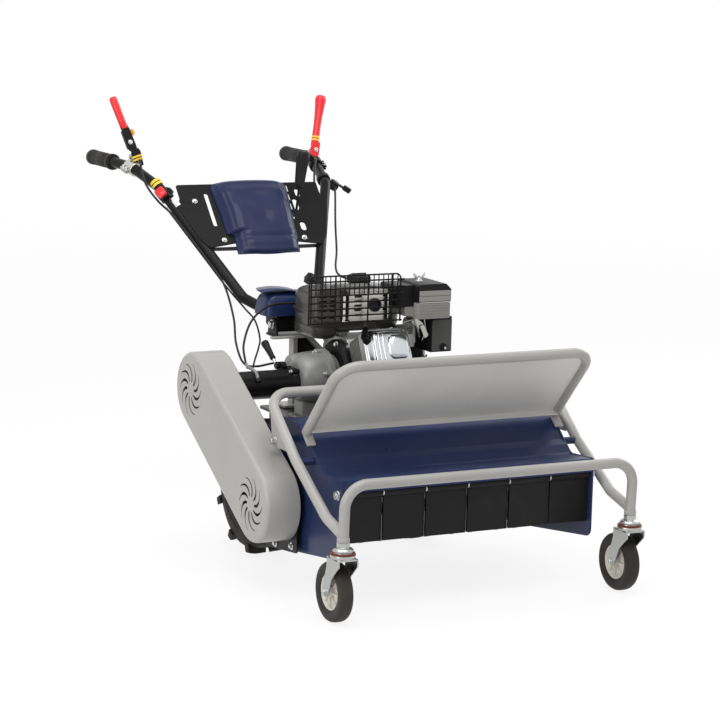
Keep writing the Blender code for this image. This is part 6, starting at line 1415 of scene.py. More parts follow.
tray = [soft_plate([(0.067, 0.534), (0.1475, 0.534), (0.1475, 0.57), (0.067, 0.57)], 0.003, "y", 0.43,
    0.529, 3), soft_plate([(0.045, 0.5385), (0.069, 0.5385), (0.069, 0.5605), (0.045, 0.5605)], 0.003, "y",
    0.4525, 0.5285, 3)]
piece("air_cleaner_tray", tray, PALE_PLASTIC, "air_cleaner", bevel=0.0012)
tray_rib = soft_block(0.107, 0.0, 0.0375, 0.0016, 0.0011, "y", 0.4286, 0.4305, 3)
row("air_cleaner_tray_ribs", tray_rib, 5, (0, 0, 0.542), (0, 0, 0.006), PALE_PLASTIC, "air_cleaner")
piece("air_cleaner_line", [box_shell((0.068, 0.4284, 0.57), (0.1478, 0.43, 0.572))], BOLT_ZINC,
    "air_cleaner", bevel=0.0003)
NUT_X, NUT_Y = 0.097, 0.486
nut = [rod_shell((NUT_X, NUT_Y, low), (NUT_X, NUT_Y, high), *radii)
    for low, high, *radii in ((0.608, 0.624, 0.003), (0.612, 0.619, 0.0058, 0.0045),
    (0.6115, 0.6125, 0.0085))]
for s in (-1, 1):
    wing = soft_outline([(NUT_X + s * 0.0035, 0.6135), (NUT_X + s * 0.0115, 0.6205),
        (NUT_X + s * 0.016, 0.6292), (NUT_X + s * 0.0118, 0.6298), (NUT_X + s * 0.0075, 0.6245),
        (NUT_X + s * 0.003, 0.62)], [0, 0.003, 0.0014, 0.0014, 0.003, 0], 3)
    nut.append(plate_shell(wing[::s], "y", 0.4848, 0.4872))
piece("air_cleaner_wing_nut", nut, BOLT_ZINC, "air_cleaner", bevel=0.0003)
inlet = [box_shell((0.0723, 0.492, 0.462), (0.093, 0.526, 0.492)),
    box_shell((0.088, 0.49, 0.47), (0.094, 0.528, 0.536)), rod_shell((0.075, 0.505, 0.5145),
    (0.11, 0.505, 0.5145), 0.0135), rod_shell((0.09, 0.512, 0.47), (0.09, 0.512, 0.4905), 0.016)]
piece("carburettor_body", inlet, CAST_ALUMINIUM, "air_cleaner", bevel=0.001)
linkage = [[(0.06, 0.486, 0.52), (0.078, 0.474, 0.527), (0.104, 0.478, 0.512)],
    [(0.104, 0.47, 0.528), (0.112, 0.474, 0.5), (0.106, 0.48, 0.478)],
    [(0.08, 0.47, 0.53), (0.088, 0.468, 0.505), (0.098, 0.478, 0.486)]]
tubes("throttle_linkage", linkage, 0.0016, BOLT_ZINC, "air_cleaner", sides=10)
plates = []
for outline, at, lean in (([(-0.014, -0.005), (0.014, -0.009), (0.016, 0.006), (-0.01, 0.009)],
        (0.088, 0.474, 0.519), 0.5), ([(-0.006, -0.016), (0.006, -0.014), (0.005, 0.015), (-0.005, 0.016)],
        (0.105, 0.47, 0.5), -0.45)):
    plates.append(placed(soft_plate(outline, 0.003, "y", -0.0008, 0.0008, 3),
        Matrix.Translation(at) @ Matrix.Rotation(lean, 4, "Y")))
piece("throttle_linkage_plates", plates, BOLT_ZINC, "air_cleaner", bevel=0.0003)

scroll = arc(CRANK, 0.085, -150, 100, 40) + soft_outline([(0.59, 0.482), (0.58, 0.502), (0.54, 0.48),
    (0.536, 0.4)], [0.004, 0.006, 0.01, 0.01], 4)
control = soft_outline([(0.462, 0.452), (0.545, 0.452), (0.56, 0.5), (0.545, 0.527), (0.462, 0.527)], 0.004,
    3)
blower = [plate_shell(scroll, "x", 0.0853, 0.1403), plate_shell(control, "x", 0.1193, 0.1713),
    soft_block(0.1453, 0.5035, 0.0265, 0.0425, 0.005, "z", 0.5262, 0.532)]
piece("blower_case", blower, BLACK_PLASTIC, "blower_housing", stands_for=True, bevel=0.002)
rib = soft_block(0.1453, 0.0, 0.0215, 0.0014, 0.001, "y", 0.4606, 0.4625, 3)
CONTROL_GREY = moulded("control_box_grey_plastic", (0.08, 0.08, 0.078), 0.42, 0.0001, gloss=0.2)
row("control_box_ribs", rib, 8, (0, 0, 0.4865), (0, 0, 0.005), CONTROL_GREY, "blower_housing")
piece("control_box_panel", [soft_block(0.1453, 0.4905, 0.0245, 0.035, 0.004, "y", 0.4608, 0.463)],
    CONTROL_GREY, "blower_housing", bevel=0.0005)
switch = [(0.0005, 0.0), (0.0085, 0.0), (0.0085, 0.0045), (0.0072, 0.0058), (0.0005, 0.0058)]
piece("control_box_switch", [turned_shell(switch, (0.149, 0.462, 0.464), (0, -1, 0)),
    box_shell((0.1478, 0.4545, 0.458), (0.1502, 0.457, 0.47))], BLACK_PLASTIC, "blower_housing",
    bevel=0.0005)
hex_bolts("control_box_screw", [((0.1505, 0.4612, 0.462), (0, -1, 0))], "blower_housing", radius=0.0032,
    height=0.0075, washer=0.004)
starter = [(0.0005, 0.0), (0.07, 0.0), (0.072, 0.0015), (0.072, 0.013), (0.07, 0.0165), (0.0655, 0.0225),
    (0.061, 0.0262), (0.056, 0.028), (0.03, 0.037), (0.026, 0.0405), (0.0225, 0.042), (0.0005, 0.042)]
piece("starter_cover", [turned_shell(starter, (0.1406, *CRANK), (1, 0, 0), sides=80)], DARK_PLASTIC,
    "recoil_cover", stands_for=True, smooth=30)
vanes = ring_shell([soft_ring(0.0105, 0.0022, 0.0, power=0.5, count=20),
    soft_ring(0.01, 0.0018, 0.005, power=0.5, count=20)])
ring("starter_cover_vanes", [vanes], 20, 0.043, (0.1706, *CRANK), BLACK_PLASTIC, "recoil_cover")
starter_bolts = [((0.1556, *seat), (1, 0, 0)) for seat in around(CRANK, 0.067, (0.5, 2.6, 4.7))]
hex_bolts("starter_cover_bolts", starter_bolts, "recoil_cover", radius=0.004, height=0.0035, washer=0.0055)
print("engine dressed")

# %% [markdown]
# The handlebar tilts on a bolt between two ears. Under the ears a post of two flat bars, one
# upright and one bent inwards, stands on the bed, and the black web between them is painted shade.
# A thin plate lies on it, whose pale edge shows from the front, and the black slab over it under
# the ears is painted shade too.

# %% Handle mount
PLATE_GREY = powder_coat("pale_plate_enamel", (0.34, 0.335, 0.32), 0.42)
leaning_leg = [(-0.045, 0.4508), (-0.032, 0.4508), (0.01, 0.41), (0.01, 0.2925), (-0.003, 0.2925),
    (-0.003, 0.405)]
post = [box_shell((-0.0786, 0.76, 0.2925), (-0.0678, 0.785, 0.4508)),
    plate_shell(leaning_leg, "y", 0.76, 0.785), soft_block(MID_X, 0.7725, 0.066, 0.0285, 0.004, "z",
    BED_TOP, 0.2933)]
piece("handle_mount_post", post, WARM_GREY, "handle_mount", stands_for=True, bevel=0.001)
# The black web between the bars and the black slab under the ears are painted shade, darkening the gap and
# the plate's top.
web = [(-0.068, 0.4505), (-0.0445, 0.4505), (-0.003, 0.405), (-0.003, 0.293), (-0.068, 0.293)]
piece("handle_mount_web_and_top_painted_shade", [plate_shell(web, "y", 0.778, 0.781),
    soft_block(MID_X, 0.79, 0.083, 0.031, 0.006, "z", 0.4502, 0.455)], BLACK, "handle_mount", bevel=0.0008)
piece("handle_mount_plate", [soft_block(MID_X, 0.7515, 0.1, 0.009, 0.003, "z", 0.4504, 0.4548)], PLATE_GREY,
    "handle_mount", bevel=0.001)
ear = soft_outline([(0.764, 0.452), (0.816, 0.452), (0.805, 0.492), (0.775, 0.492)], [0, 0, 0.01, 0.01])
ears = [plate_shell(ear, "x", x - 0.0024, x + 0.0024) for x in (MID_X - 0.0775, MID_X + 0.0775)]
piece("handle_mount_ears", ears, BLACK, "handle_mount", bevel=0.0008)
hex_bolts("handle_mount_tilt_bolt", [((MID_X + s * 0.08, 0.79, 0.478), (s, 0, 0)) for s in (-1, 1)],
    "handle_mount", radius=0.0085, height=0.0058, washer=0.011)

# %% [markdown]
# Two tubes rise from a block on the tilt bolt, spread apart and turn back to the grips. What is
# clamped on a tube is made in the tube's own frame, whose Y axis runs along it.

# %% Handlebar tubes
ALONG = Vector((0.0, 0.681, 0.732)).normalized()
UPWARD = Vector((0.0, -ALONG.z, ALONG.y))


def frame_at(x_axis, y_axis, z_axis, place):
    return Matrix.Translation(place) @ Matrix((x_axis, y_axis, z_axis)).transposed().to_4x4()


def handle_path(side):
    knots = [(0.062, 0.812, 0.496), (0.074, 0.868, 0.506), (0.097, 0.915, 0.522), (0.221, 1.138, 0.762),
        (0.246, 1.25, 0.8), (0.265, 1.322, 0.806), (0.265, 1.461, 0.806)]
    return [Vector((MID_X + side * spread, y, z)) for spread, y, z in knots]


def tube_frame(side, y):
    knots = handle_path(side)
    start, end = next((a, b) for a, b in zip(knots, knots[1:]) if a.y <= y <= b.y)
    run = (end - start).normalized()
    above = (UPWARD - run * run.dot(UPWARD)).normalized()
    return frame_at(run.cross(above) * side, run, above, start.lerp(end, (y - start.y) / (end.y - start.y)))


TUBE_RADIUS = 0.0125
tubes("handlebar_tubes", [bend(handle_path(side), 0.035, 8) for side in SIDES.values()], TUBE_RADIUS, BLACK,
    "handlebar_frame", stands_for=True, sides=32)
yoke = soft_outline([(0.776, 0.46), (0.802, 0.46), (0.838, 0.474), (0.838, 0.51), (0.776, 0.498)],
    [0.008, 0.006, 0.004, 0.004, 0.008], 5)
piece("handlebar_yoke", [plate_shell(yoke, "x", MID_X - 0.0743, MID_X + 0.0743)], BLACK, "handlebar_frame",
    bevel=0.0012)
bands = [turned_shell(band(0.012, 0.013, y - 0.0032, y + 0.0032), (0, 0, 0), (0, 1, 0))
    for y in (0.029, 0.038)]
piece("handlebar_gold_bands", bands, GOLD_TAPE, "handlebar_frame", place=tube_frame(-1, 1.124))

# %% [markdown]
# A navy sheet cover hides the block. Its sides roll in towards the top, and two lips curl outwards
# above the tubes like wings.

# %% Cowl
def cowl_ring(z, inset):
    return [(a, b, z) for a, b in soft_box(MID_X, 0.809, 0.104 - inset, 0.041 - inset,
        0.018 - min(0.01, inset * 0.3))]


skin = [cowl_ring(z, i) for z, i in ((0.549, 0.029), (0.543, 0.016), (0.53, 0.0075), (0.499, 0.003),
    (0.499, 0.0), (0.52, 0.002), (0.533, 0.0045), (0.542, 0.0085), (0.548, 0.014), (0.551, 0.02),
    (0.552, 0.027))]
lips = []
for side in SIDES.values():
    rings = []
    for y, share, drop in ((0.774, 0.985, 0.0012), (0.776, 1.0, 0.0), (0.806, 0.97, 0.0),
            (0.838, 0.885, 0.0), (0.84, 0.87, 0.0012)):
        across = [0.012 + 0.0085 * k for k in range(13)]
        over = [(a, 0.552 - drop + 0.008 * math.sin(math.pi * min(1.0, (a - 0.012) / 0.125)) ** 0.8)
            for a in across]
        under = [(a, h - 0.003 + 2 * drop) for a, h in reversed(over)]
        rings.append([(MID_X + side * a * share, y, h) for a, h in over + under])
    lips.append(ring_shell(rings))
piece("cowl_skin", [ring_shell(skin)], NAVY, "cowl", stands_for=True, smooth=50)
piece("cowl_lips", lips, NAVY, "cowl", smooth=50, bevel=0.0006)

# %% [markdown]
# The grips are moulded rubber with a flange at each end and rows of raised nubs between them.
# One strip of nubs, repeated in a ring round the tube, makes the whole pattern.

# %% Grips
GRIP_Z = 0.806
profile = [(0.0126, 0.0), (0.0194, 0.0), (0.0199, 0.0008), (0.0199, 0.007), (0.0192, 0.0082), (0.017, 0.01),
    (0.0166, 0.04), (0.0176, 0.072), (0.0168, 0.115), (0.0168, 0.124), (0.0188, 0.1262), (0.019, 0.1352),
    (0.0178, 0.138), (0.014, 0.1399), (0.0005, 0.1399), (0.0005, 0.1345), (0.0126, 0.1345)]
for name, side in SIDES.items():
    x = MID_X + side * 0.265
    piece(f"grip_{name}_sleeve", [turned_shell(profile, (x, 1.327, GRIP_Z), (0, 1, 0))], GRIP_RUBBER,
        f"grip_{name}", stands_for=True)
    nubs = [rod_shell((-0.0002, 0, z), (0.0011, 0, z), 0.0019, 0.0012, sides=4)
        for z in [-0.052 + 0.0052 * k for k in range(21)]]
    ring(f"grip_{name}_nubs", nubs, 24, 0.0169, (x, 1.394, GRIP_Z), GRIP_RUBBER, f"grip_{name}",
        (math.pi / 2, 0, 0))
print("handlebar tubes and grips made")

# %% [markdown]
# A folded black plate bridges the tubes and carries the console. A long slot, round and oval
# holes and the gear lever's gate go right through it, so they are cut and not painted on.

# %% Console bracket
CONSOLE = frame_at(Vector((1, 0, 0)), ALONG, UPWARD, Vector((MID_X, 0.98, 0.5925)))
wing = [(0.07, 0.052), (0.148, 0.04), (0.166, 0.066), (0.198, 0.162), (0.186, 0.186), (0.186, 0.226),
    (0.07, 0.226)]
wings = [soft_plate([(side * a, b) for a, b in wing], [0, 0.01, 0.012, 0.012, 0.008, 0.006, 0], "z", 0.0128,
    0.0158, 4) for side in SIDES.values()]
bracket = piece("console_bracket_wings", wings, BLACK, "console_bracket", stands_for=True, bevel=0.0006,
    place=CONSOLE)
gates = [(-0.116, 0.15, 0.005, 0.048, 0.0045), (0.112, 0.094, 0.007, 0.012, 0.0065),
    (0.126, 0.194, 0.006, 0.011, 0.0055), (0.112, 0.1585, 0.0065, 0.0165, 0.006)]
gates += [(a, b, 0.0016, 0.0095, 0.0014) for a, b in ((0.0955, 0.126), (0.098, 0.154), (0.1005, 0.182),
    (0.103, 0.208))]
carve(bracket, [placed(soft_block(*gate, "z", 0.005, 0.025), CONSOLE) for gate in gates])
rest = [box_shell((-0.075, 0.15, 0.013), (0.075, 0.19, 0.0156))]
rest += [box_shell((x - 0.002, 0.135, -0.0052), (x + 0.002, 0.149, 0.013)) for x in (0.104, 0.12)]
for side, near in ((1, 0.04), (-1, 0.06)):
    fold = [(side * near, 0.013), (side * 0.15, 0.013), (side * 0.15, 0.001), (side * near, -0.001)]
    rest.append(soft_plate(fold, [0, 0, 0.006, 0.004], "y", 0.04, 0.0425, 3))
piece("console_bracket_folds", rest, BLACK, "console_bracket", bevel=0.0006, place=CONSOLE)
seats = [seat_on(CONSOLE, (a, b, 0.0158)) for a, b in ((-0.106, 0.06), (-0.15, 0.176), (0.104, 0.06))]
hex_bolts("console_bracket_bolts", seats, "console_bracket", radius=0.0048, height=0.0034, washer=0.0068)

# %% [markdown]
# The console panel is one moulding. Its height is a sum of plain rules over its width and length:
# a rise between rolled edges, a shallow dish in the middle, and a crease above the lower band.

# %% Console panel
def between(rows, v):
    for (a, low), (b, high) in zip(rows, rows[1:]):
        if v <= b:
            t = max(0.0, (v - a) / (b - a))
            return low + (high - low) * t * t * (3 - 2 * t)
    return rows[-1][1]


def bump(v, middle, width):
    return math.exp(-((v - middle) / width) ** 2)


HALF_WIDTH = [(0.008, 0.079), (0.024, 0.081), (0.085, 0.088), (0.135, 0.092), (0.18, 0.097), (0.212, 0.1),
    (0.226, 0.096)]
LEFT_EDGE = [(0.008, 0.083), (0.06, 0.08), (0.07, 0.0775), (0.0755, 0.096), (0.135, 0.097), (0.19, 0.0995),
    (0.212, 0.1), (0.226, 0.096)]
RISE = [(0.008, 0.01), (0.016, 0.02), (0.04, 0.025), (0.135, 0.034), (0.18, 0.031), (0.212, 0.022),
    (0.221, 0.015), (0.226, 0.006)]
SHOULDER = [(0.0, 1.0), (0.5, 1.0), (0.7, 0.93), (0.83, 0.66), (0.96, 0.22), (1.0, 0.1)]


def panel_height(u, v):
    height = between(RISE, v) * between(SHOULDER, abs(u))
    height -= 0.005 * bump(u, -0.05, 0.42) * bump(v, 0.155, 0.03)
    height -= 0.0026 * bump(v, 0.052, 0.006) * between(((0.0, 1.0), (0.75, 1.0), (0.97, 0.0)), abs(u))
    height += 0.0022 * bump(u, -0.6, 0.07) * bump(v, 0.12, 0.055)
    height -= 0.0022 * bump(u, 0.05, 0.2) * bump(v, 0.105, 0.014)
    return max(0.002, height)


NEAR_EDGE, FAR_EDGE, PANEL_SEAT = 0.008, 0.226, 0.0161
rings = []
for k in range(73):
    share = k / 72
    v = NEAR_EDGE + (FAR_EDGE - NEAR_EDGE) * share
    left, right = -between(LEFT_EDGE, v), between(HALF_WIDTH, v)
    top = []
    for j in range(57):
        u = -1 + 2 * j / 56
        crown = 0.004 * (v / FAR_EDGE) ** 4 * (1 - 1.6 * u * u) + 0.009 * (1 - share) ** 6 * u * u
        top.append((left + (right - left) * (u + 1) / 2, v + crown, PANEL_SEAT + panel_height(u, v)))
    rings.append([(left, top[0][1], PANEL_SEAT)] + top + [(right, top[-1][1], PANEL_SEAT)])
piece("console_panel_moulding", [ring_shell(rings)], NAVY_PLASTIC, "console_panel", stands_for=True,
    smooth=55, place=CONSOLE)
print("console rings", len(rings))

# %% [markdown]
# Each hand lever turns on a pin between two cheeks of a clamp on the tube. The right one is a
# black blade with a red sleeve on its end. The left one is moulded red all over, and two gold
# rings mark the foot of its handle.

# %% Levers and their clamps
def lever_frames(side):
    pivot = Vector((MID_X + side * 0.24, 1.248, 0.828))
    up = Vector((side * 0.27, 0.316, 0.908)).normalized()
    axis = up.cross(Vector((0, 1, 0))).normalized()
    if axis.x < 0:
        axis = -axis
    lift = axis.cross(Vector((0, 1, 0))).normalized()
    return frame_at(axis, Vector((0, 1, 0)), lift, pivot), frame_at(axis, up.cross(axis), up, pivot)


def collar_shell(edge):
    """A clamp's ring round a tube, from one rim of its profile."""
    return turned_shell(mirrored([(0.0124, edge[0][1]), *edge]), (0, 0, 0), (0, 1, 0))


CHEEK = soft_outline([(-0.01, -0.016), (0.01, -0.016), (0.0095, 0.007), (-0.0095, 0.007)],
    [0.001, 0.001, 0.006, 0.006], 4)
for name, side in SIDES.items():
    steel = BOLT_ZINC if side < 0 else BLACK
    clamp, lever = lever_frames(side)
    collar = tube_frame(side, 1.2479)
    block = [placed(shell, collar) for shell in (collar_shell([(0.017, -0.016), (0.0176, -0.0145)]),
        box_shell((0.014, -0.013, -0.0062), (0.027, 0.013, -0.0018)),
        box_shell((0.014, -0.013, 0.0004), (0.027, 0.013, 0.0048)))]
    block.append(placed(box_shell((-0.01, -0.01, -0.022), (0.01, 0.01, -0.011)), clamp))
    block += [placed(plate_shell(CHEEK, "x", *ends), clamp) for ends in ((-0.0105, -0.0065),
        (0.0065, 0.0105))]
    piece(f"lever_clamp_{name}_block", block, steel, f"lever_clamp_{name}", stands_for=True, bevel=0.0007)
    heads = [seat_on(clamp, (s * 0.0105, 0, 0), (s, 0, 0)) for s in (-1, 1)]
    heads += [seat_on(collar, (0.0208, y, 0.0048)) for y in (-0.006, 0.007)]
    hex_bolts(f"lever_clamp_{name}_bolts", heads, f"lever_clamp_{name}", radius=0.0044, height=0.003,
        washer=0.0056)
    hub = [rod_shell((-0.0112, 0, 0), (0.0112, 0, 0), 0.003),
        rod_shell((-0.006, 0, 0), (0.006, 0, 0), 0.0066)]
    piece(f"hand_lever_{name}_hub", hub, steel, f"hand_lever_{name}", stands_for=True, bevel=0.0005,
        place=lever)

clamp, lever = lever_frames(-1)
plate = soft_outline([(-0.0115, -0.026), (0.0115, -0.026), (0.0125, 0.01), (0.0085, 0.019),
    (-0.0085, 0.019), (-0.0125, 0.01)], [0.003] * 6, 4)
piece("lever_clamp_right_cover", [plate_shell(plate, "y", -0.0138, -0.0112)], BLACK_PLASTIC,
    "lever_clamp_right", bevel=0.0006, place=clamp)
bands = [soft_block(0, z, 0.0128, 0.0024, 0.0008, "y", -0.0146, -0.0136, 3) for z in (-0.0075, 0.0)]
piece("lever_clamp_right_gold_bands", bands, GOLD_TAPE, "lever_clamp_right", place=clamp)
blade = soft_outline([(-0.0058, -0.004), (0.0058, -0.004), (0.006, 0.009), (0.0112, 0.018), (0.0108, 0.064),
    (0.008, 0.08), (-0.008, 0.08), (-0.0108, 0.064), (-0.0112, 0.018), (-0.006, 0.009)],
    [0.003, 0.003, 0.003, 0.006, 0.008, 0.001, 0.001, 0.008, 0.006, 0.003], 4)
folds = [plate_shell(blade, "y", -0.006, -0.0034)]
fold = soft_outline([(-0.006, 0.02), (0.006, 0.02), (0.005, 0.066), (-0.006, 0.066)], 0.003, 3)
folds += [plate_shell(fold, "x", x - 0.001, x + 0.001) for x in (-0.0098, 0.0098)]
piece("hand_lever_right_blade", folds, BLACK, "hand_lever_right", bevel=0.0006, place=lever)
hex_bolts("hand_lever_right_rivet", [seat_on(lever, (0, -0.006, 0.034), (0, -1, 0))], "hand_lever_right",
    radius=0.004, height=0.0016, washer=0.0056)
piece("hand_lever_right_tab", [soft_block(0.0165, 0.056, 0.0042, 0.008, 0.0041, "y", -0.0012, 0.0024)],
    ORANGE_PLASTIC, "hand_lever_right", bevel=0.001, place=lever)
sleeve = [(0.0005, 0.07), (0.0086, 0.07), (0.0092, 0.0715), (0.0092, 0.09), (0.0096, 0.12), (0.0098, 0.14),
    (0.0092, 0.1475), (0.0074, 0.1508), (0.004, 0.1519), (0.0005, 0.152)]
piece("hand_lever_right_sleeve", [turned_shell(sleeve, (0, -0.0006, 0), (0, 0, 1), sides=40)], RED_PLASTIC,
    "hand_lever_right", smooth=50, place=lever)

clamp, lever = lever_frames(1)
handle = [(0.0005, 0.018), (0.0084, 0.018), (0.0094, 0.02), (0.0094, 0.04), (0.0092, 0.07), (0.01, 0.095),
    (0.0118, 0.12), (0.0136, 0.137), (0.014, 0.143), (0.0118, 0.1488), (0.0082, 0.1506), (0.0005, 0.151)]
piece("hand_lever_left_handle", [turned_shell(handle, (0, 0, 0), (0, 0, 1), sides=44)], RED_PLASTIC,
    "hand_lever_left", smooth=50, place=lever)
bands = [turned_shell(band(0.0088, 0.01, z - 0.0022, z + 0.0022), (0, 0, 0), (0, 0, 1))
    for z in (0.032, 0.0395)]
piece("hand_lever_left_gold_bands", bands, GOLD_TAPE, "hand_lever_left", place=lever)
fork = soft_outline([(-0.015, -0.012), (0.007, -0.014), (0.009, 0.006), (0.0085, 0.026), (-0.0085, 0.026),
    (-0.017, 0.006)], [0.004, 0.004, 0.003, 0.003, 0.003, 0.005], 4)
piece("hand_lever_left_fork", [plate_shell(fork, "y", -0.0136, -0.0108),
    soft_block(0, 0.0215, 0.0082, 0.0045, 0.001, "y", -0.0115, 0.006, 3)], RED_PLASTIC, "hand_lever_left",
    bevel=0.0008, place=lever)
hex_bolts("hand_lever_left_pivot", [seat_on(lever, (-0.001, -0.0136, 0.004), (0, -1, 0))],
    "hand_lever_left", radius=0.0042, height=0.0022, washer=0.0058)
print("levers made")

# %% [markdown]
# Small controls sit on the tubes: a red stop rocker in its black pod, a round throttle case with
# a paddle, a gear lever with a flared knob, and the knob that clamps the left tube's foot.

# %% Small controls
pod = tube_frame(-1, 1.122) @ Matrix.Rotation(math.radians(45), 4, "Y")
case = [collar_shell([(0.0158, -0.013), (0.0165, -0.0122)]),
    soft_block(0, 0, 0.0135, 0.0145, 0.004, "z", 0.008, 0.0262),
    soft_block(-0.0165, 0, 0.0045, 0.007, 0.003, "z", -0.006, 0.008)]
piece("stop_switch_case", case, BLACK_PLASTIC, "stop_switch", stands_for=True, bevel=0.001, place=pod)
rocker = ring_shell([[(a, b, h + (0.0022 if b > 0.004 and h > 0.03 else 0.0))
    for a, b in soft_box(0, 0, 0.0108 - i, 0.0118 - i, 0.0035)]
    for h, i in ((0.0245, 0.0), (0.033, 0.0), (0.0345, 0.0008), (0.0352, 0.0024))])
mark = soft_block(0, -0.0055, 0.005, 0.0012, 0.001, "z", 0.035, 0.0356, 3)
piece("stop_button_rocker", [rocker, mark], RED_PLASTIC, "stop_button", stands_for=True, bevel=0.0006,
    place=pod)
plug = [soft_block(0.0, 0.0, 0.0058, 0.01, 0.002, "z", 0.0128, 0.02),
    soft_block(0.0, 0.0125, 0.0042, 0.003, 0.001, "z", 0.0135, 0.019)]
piece("stop_switch_plug", plug, WHITE_PLASTIC, "stop_switch", bevel=0.0006, place=tube_frame(-1, 1.098))

throttle = tube_frame(1, 1.16) @ Matrix.Rotation(math.radians(22), 4, "Y")
case = [collar_shell([(0.016, -0.009), (0.0165, -0.0082)]), soft_block(0.0165, 0, 0.0068, 0.008, 0.002, "z",
    -0.008, 0.004), turned_shell([(0.0005, -0.009), (0.0128, -0.009), (0.014, -0.0078), (0.014, 0.004),
    (0.0134, 0.005), (0.012, 0.006), (0.0005, 0.006)], (0.031, 0, 0), (0, 0, 1)),
    rod_shell((0.031, 0, 0.004), (0.031, 0, 0.013), 0.003)]
piece("throttle_case", case, BLACK_PLASTIC, "throttle_housing", stands_for=True, bevel=0.0007,
    place=throttle)
hex_bolts("throttle_screw", [seat_on(throttle, (0.031, 0, 0.0126))], "throttle_housing", radius=0.003,
    height=0.0016, washer=0.0042)
arm = soft_outline([(0.035, -0.0045), (0.055, -0.006), (0.071, -0.009), (0.077, -0.003), (0.073, 0.004),
    (0.055, 0.004), (0.035, 0.0045)], [0, 0.006, 0.003, 0.003, 0.003, 0.006, 0], 4)
paddle = [turned_shell([(0.0032, 0.0066), (0.0118, 0.0066), (0.0125, 0.0074), (0.0125, 0.0112),
    (0.0115, 0.0122), (0.0032, 0.0122)], (0.031, 0, 0), (0, 0, 1)), plate_shell(arm, "z", 0.0071, 0.0117),
    soft_block(0.066, -0.0025, 0.011, 0.0062, 0.0055, "z", 0.005, 0.017)]
piece("throttle_paddle", paddle, BLACK_PLASTIC, "throttle_lever", stands_for=True, bevel=0.0008,
    place=throttle)

gate = CONSOLE @ Vector((0.112, 0.142, 0.0018))
rise = Vector((0.1, -0.02, 1.0)).normalized()
stick = [rod_shell(gate - Vector((half, 0, 0)), gate + Vector((half, 0, 0)), radius)
    for half, radius in ((0.0105, 0.0025), (0.0055, 0.0055))]
stick.append(rod_shell(gate, gate + rise * 0.085, 0.003))
piece("gear_lever_rod", stick, BLACK, "gear_lever", stands_for=True, bevel=0.0004)
knob = [(0.0005, 0.062), (0.0075, 0.062), (0.0092, 0.064), (0.0104, 0.085), (0.012, 0.11), (0.0138, 0.132),
    (0.0152, 0.144), (0.015, 0.149), (0.013, 0.1515), (0.008, 0.1522), (0.0005, 0.1522)]
flute = soft_ring(0.0014, 0.0024, 0.0, power=0.8, count=12)
piece("gear_lever_knob", [turned_shell(knob, gate, rise)], BLACK_PLASTIC, "gear_lever", smooth=50)
seat = Matrix.Translation(gate) @ rise.to_track_quat("Z", "Y").to_matrix().to_4x4()
grooves = []
for low, high in zip(arc((0, 0), 0.0098, 0, 315, 7), arc((0, 0), 0.014, 0, 315, 7)):
    rings = [[(x + a, y + b, height) for a, b, _ in flute] for (x, y), height in ((low, 0.072),
        (high, 0.138))]
    grooves.append(ring_shell(rings))
piece("gear_lever_ribs", grooves, BLACK_PLASTIC, "gear_lever", smooth=50, place=seat)

foot = tube_frame(1, 0.935)
way = (foot.to_3x3() @ Vector((-0.92, 0, 0.4))).normalized()
start = foot.translation + way * 0.0127
piece("clamp_knob_hub", [turned_shell([(0.0005, 0.0), (0.008, 0.0), (0.008, 0.009), (0.013, 0.01),
    (0.0142, 0.012), (0.0132, 0.0225), (0.011, 0.024), (0.0005, 0.024)], start, way)], BLACK_PLASTIC,
    "clamp_knob", stands_for=True, bevel=0.0005)
seat = Matrix.Translation(start) @ way.to_track_quat("Z", "Y").to_matrix().to_4x4()
lobes = [rod_shell(seat @ Vector((*low, 0.0108)), seat @ Vector((*high, 0.0232)), 0.0036, 0.003, sides=16)
    for low, high in zip(arc((0, 0), 0.0122, 0, 300, 5), arc((0, 0), 0.0116, 0, 300, 5))]
piece("clamp_knob_lobes", lobes, BLACK_PLASTIC, "clamp_knob", bevel=0.0005)

# %% [markdown]
# Three sheathed cables run from the levers and the throttle down along the tubes, and a thinner
# wire from the stop switch goes with them. Each route is a smooth curve through the points where
# clips and tubes hold it, and each of the three sheaths ends in a plated sleeve. The belt's cable
# runs into a pale plastic boot that bends over the drive tube.

# %% Cables
def beside_tube(side, y, outward, above):
    return tube_frame(side, y) @ Vector((outward, 0, above))


def smooth_route(knots, steps=10):
    knots = [Vector(k) for k in knots]
    route = []
    for i in range(len(knots) - 1):
        a, b, c = knots[max(i - 1, 0)], knots[i], knots[i + 1]
        d = knots[min(i + 2, len(knots) - 1)]
        for k in range(steps):
            t = k / steps
            route.append(0.5 * (2 * b + (c - a) * t + (2 * a - 5 * b + 4 * c - d) * t * t
                + (3 * b - a - 3 * c + d) * t ** 3))
    return route + [knots[-1]]


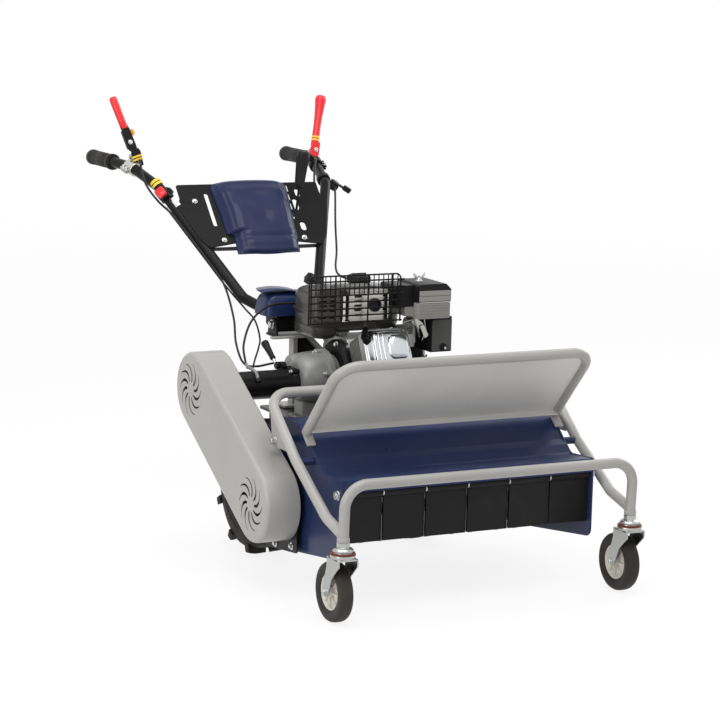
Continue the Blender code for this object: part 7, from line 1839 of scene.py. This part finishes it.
NEAR = TUBE_RADIUS + 0.0034
routes = {"clutch_cable": [(-0.276, 1.2374, 0.815), (-0.276, 1.226, 0.815), (-0.287, 1.198, 0.819),
    beside_tube(-1, 1.16, 0.024, 0.006), beside_tube(-1, 1.122, 0.017, -0.014),
    beside_tube(-1, 1.08, NEAR + 0.001, 0.0), beside_tube(-1, 1.0, NEAR, 0.0),
    beside_tube(-1, 0.95, NEAR + 0.002, -0.004), (-0.172, 0.892, 0.482), (-0.19, 0.835, 0.43),
    (-0.2, 0.77, 0.395), (-0.184, 0.735, 0.392), (-0.145, 0.716, 0.401), (-0.108, 0.6965, 0.402)],
    "belt_cable": [(0.196, 1.2374, 0.815), (0.196, 1.226, 0.815), (0.18, 1.195, 0.809),
    (0.158, 1.155, 0.77), (0.154, 1.125, 0.722), beside_tube(1, 1.07, 0.0, -NEAR - 0.001),
    beside_tube(1, 0.99, 0.0, -NEAR), beside_tube(1, 0.945, 0.006, -NEAR - 0.001), (0.076, 0.895, 0.502),
    (0.08, 0.835, 0.508), (0.076, 0.785, 0.518), (0.048, 0.7605, 0.528), (-0.01, 0.76, 0.53),
    (-0.08, 0.76, 0.53), (-0.145, 0.752, 0.528), (-0.2, 0.728, 0.5), (-0.232, 0.7, 0.452),
    (-0.24, 0.672, 0.418), (-0.242, 0.655, 0.4045)], "throttle_cable": [throttle @ Vector((0.031, -0.0155,
    0)), throttle @ Vector((0.029, -0.042, -0.004)), (0.172, 1.06, 0.672), (0.142, 0.99, 0.615),
    (0.108, 0.925, 0.586), (0.09, 0.87, 0.574), (0.096, 0.815, 0.569), (0.122, 0.768, 0.567),
    (0.148, 0.715, 0.564), (0.154, 0.65, 0.557), (0.149, 0.6, 0.543), (0.146, 0.5605, 0.525)]}
stop_wire = [beside_tube(-1, y, 0.01, -0.0136) for y in (1.106, 1.06, 1.0, 0.95)]
stop_wire += [(-0.14, 0.9, 0.5), (-0.136, 0.85, 0.478), (-0.1461, 0.8, 0.446), (-0.1698, 0.755, 0.43),
    (-0.1959, 0.72, 0.4047), (-0.2117, 0.695, 0.38), (-0.206, 0.678, 0.356), (-0.19, 0.662, 0.35),
    (-0.168, 0.6585, 0.353)]
tubes("stop_wire_sheath", [smooth_route(stop_wire)], 0.0022, CABLE_SHEATH, "clutch_cable", sides=12)
for name, knots in routes.items():
    route = smooth_route(knots)
    tubes(f"{name}_sheath", [route], 0.0026, CABLE_SHEATH, name, stands_for=True, sides=14)
    sleeves = [rod_shell(route[0], route[0].lerp(route[10], 0.9), 0.003, 0.0029, sides=20),
        rod_shell(route[-1], route[-1].lerp(route[-3], 0.9), 0.0031, 0.003, sides=20)]
    piece(f"{name}_sleeves", sleeves, BOLT_ZINC, name, bevel=0.0003)
boot_route = smooth_route([(-0.2415, 0.664, 0.412), (-0.242, 0.652, 0.407), (-0.2425, 0.632, 0.4068),
    (-0.243, 0.606, 0.401), (-0.2435, 0.594, 0.388)])
tubes("cable_boot", [boot_route], 0.0038, PALE_PLASTIC, "drive_tube", sides=16)
piece("cable_boot_nut", [rod_shell((-0.2435, 0.5965, 0.39), (-0.2435, 0.5905, 0.3835), 0.006, sides=6)],
    BLACK_PLASTIC, "drive_tube", bevel=0.0006)
print("cables", len(routes))
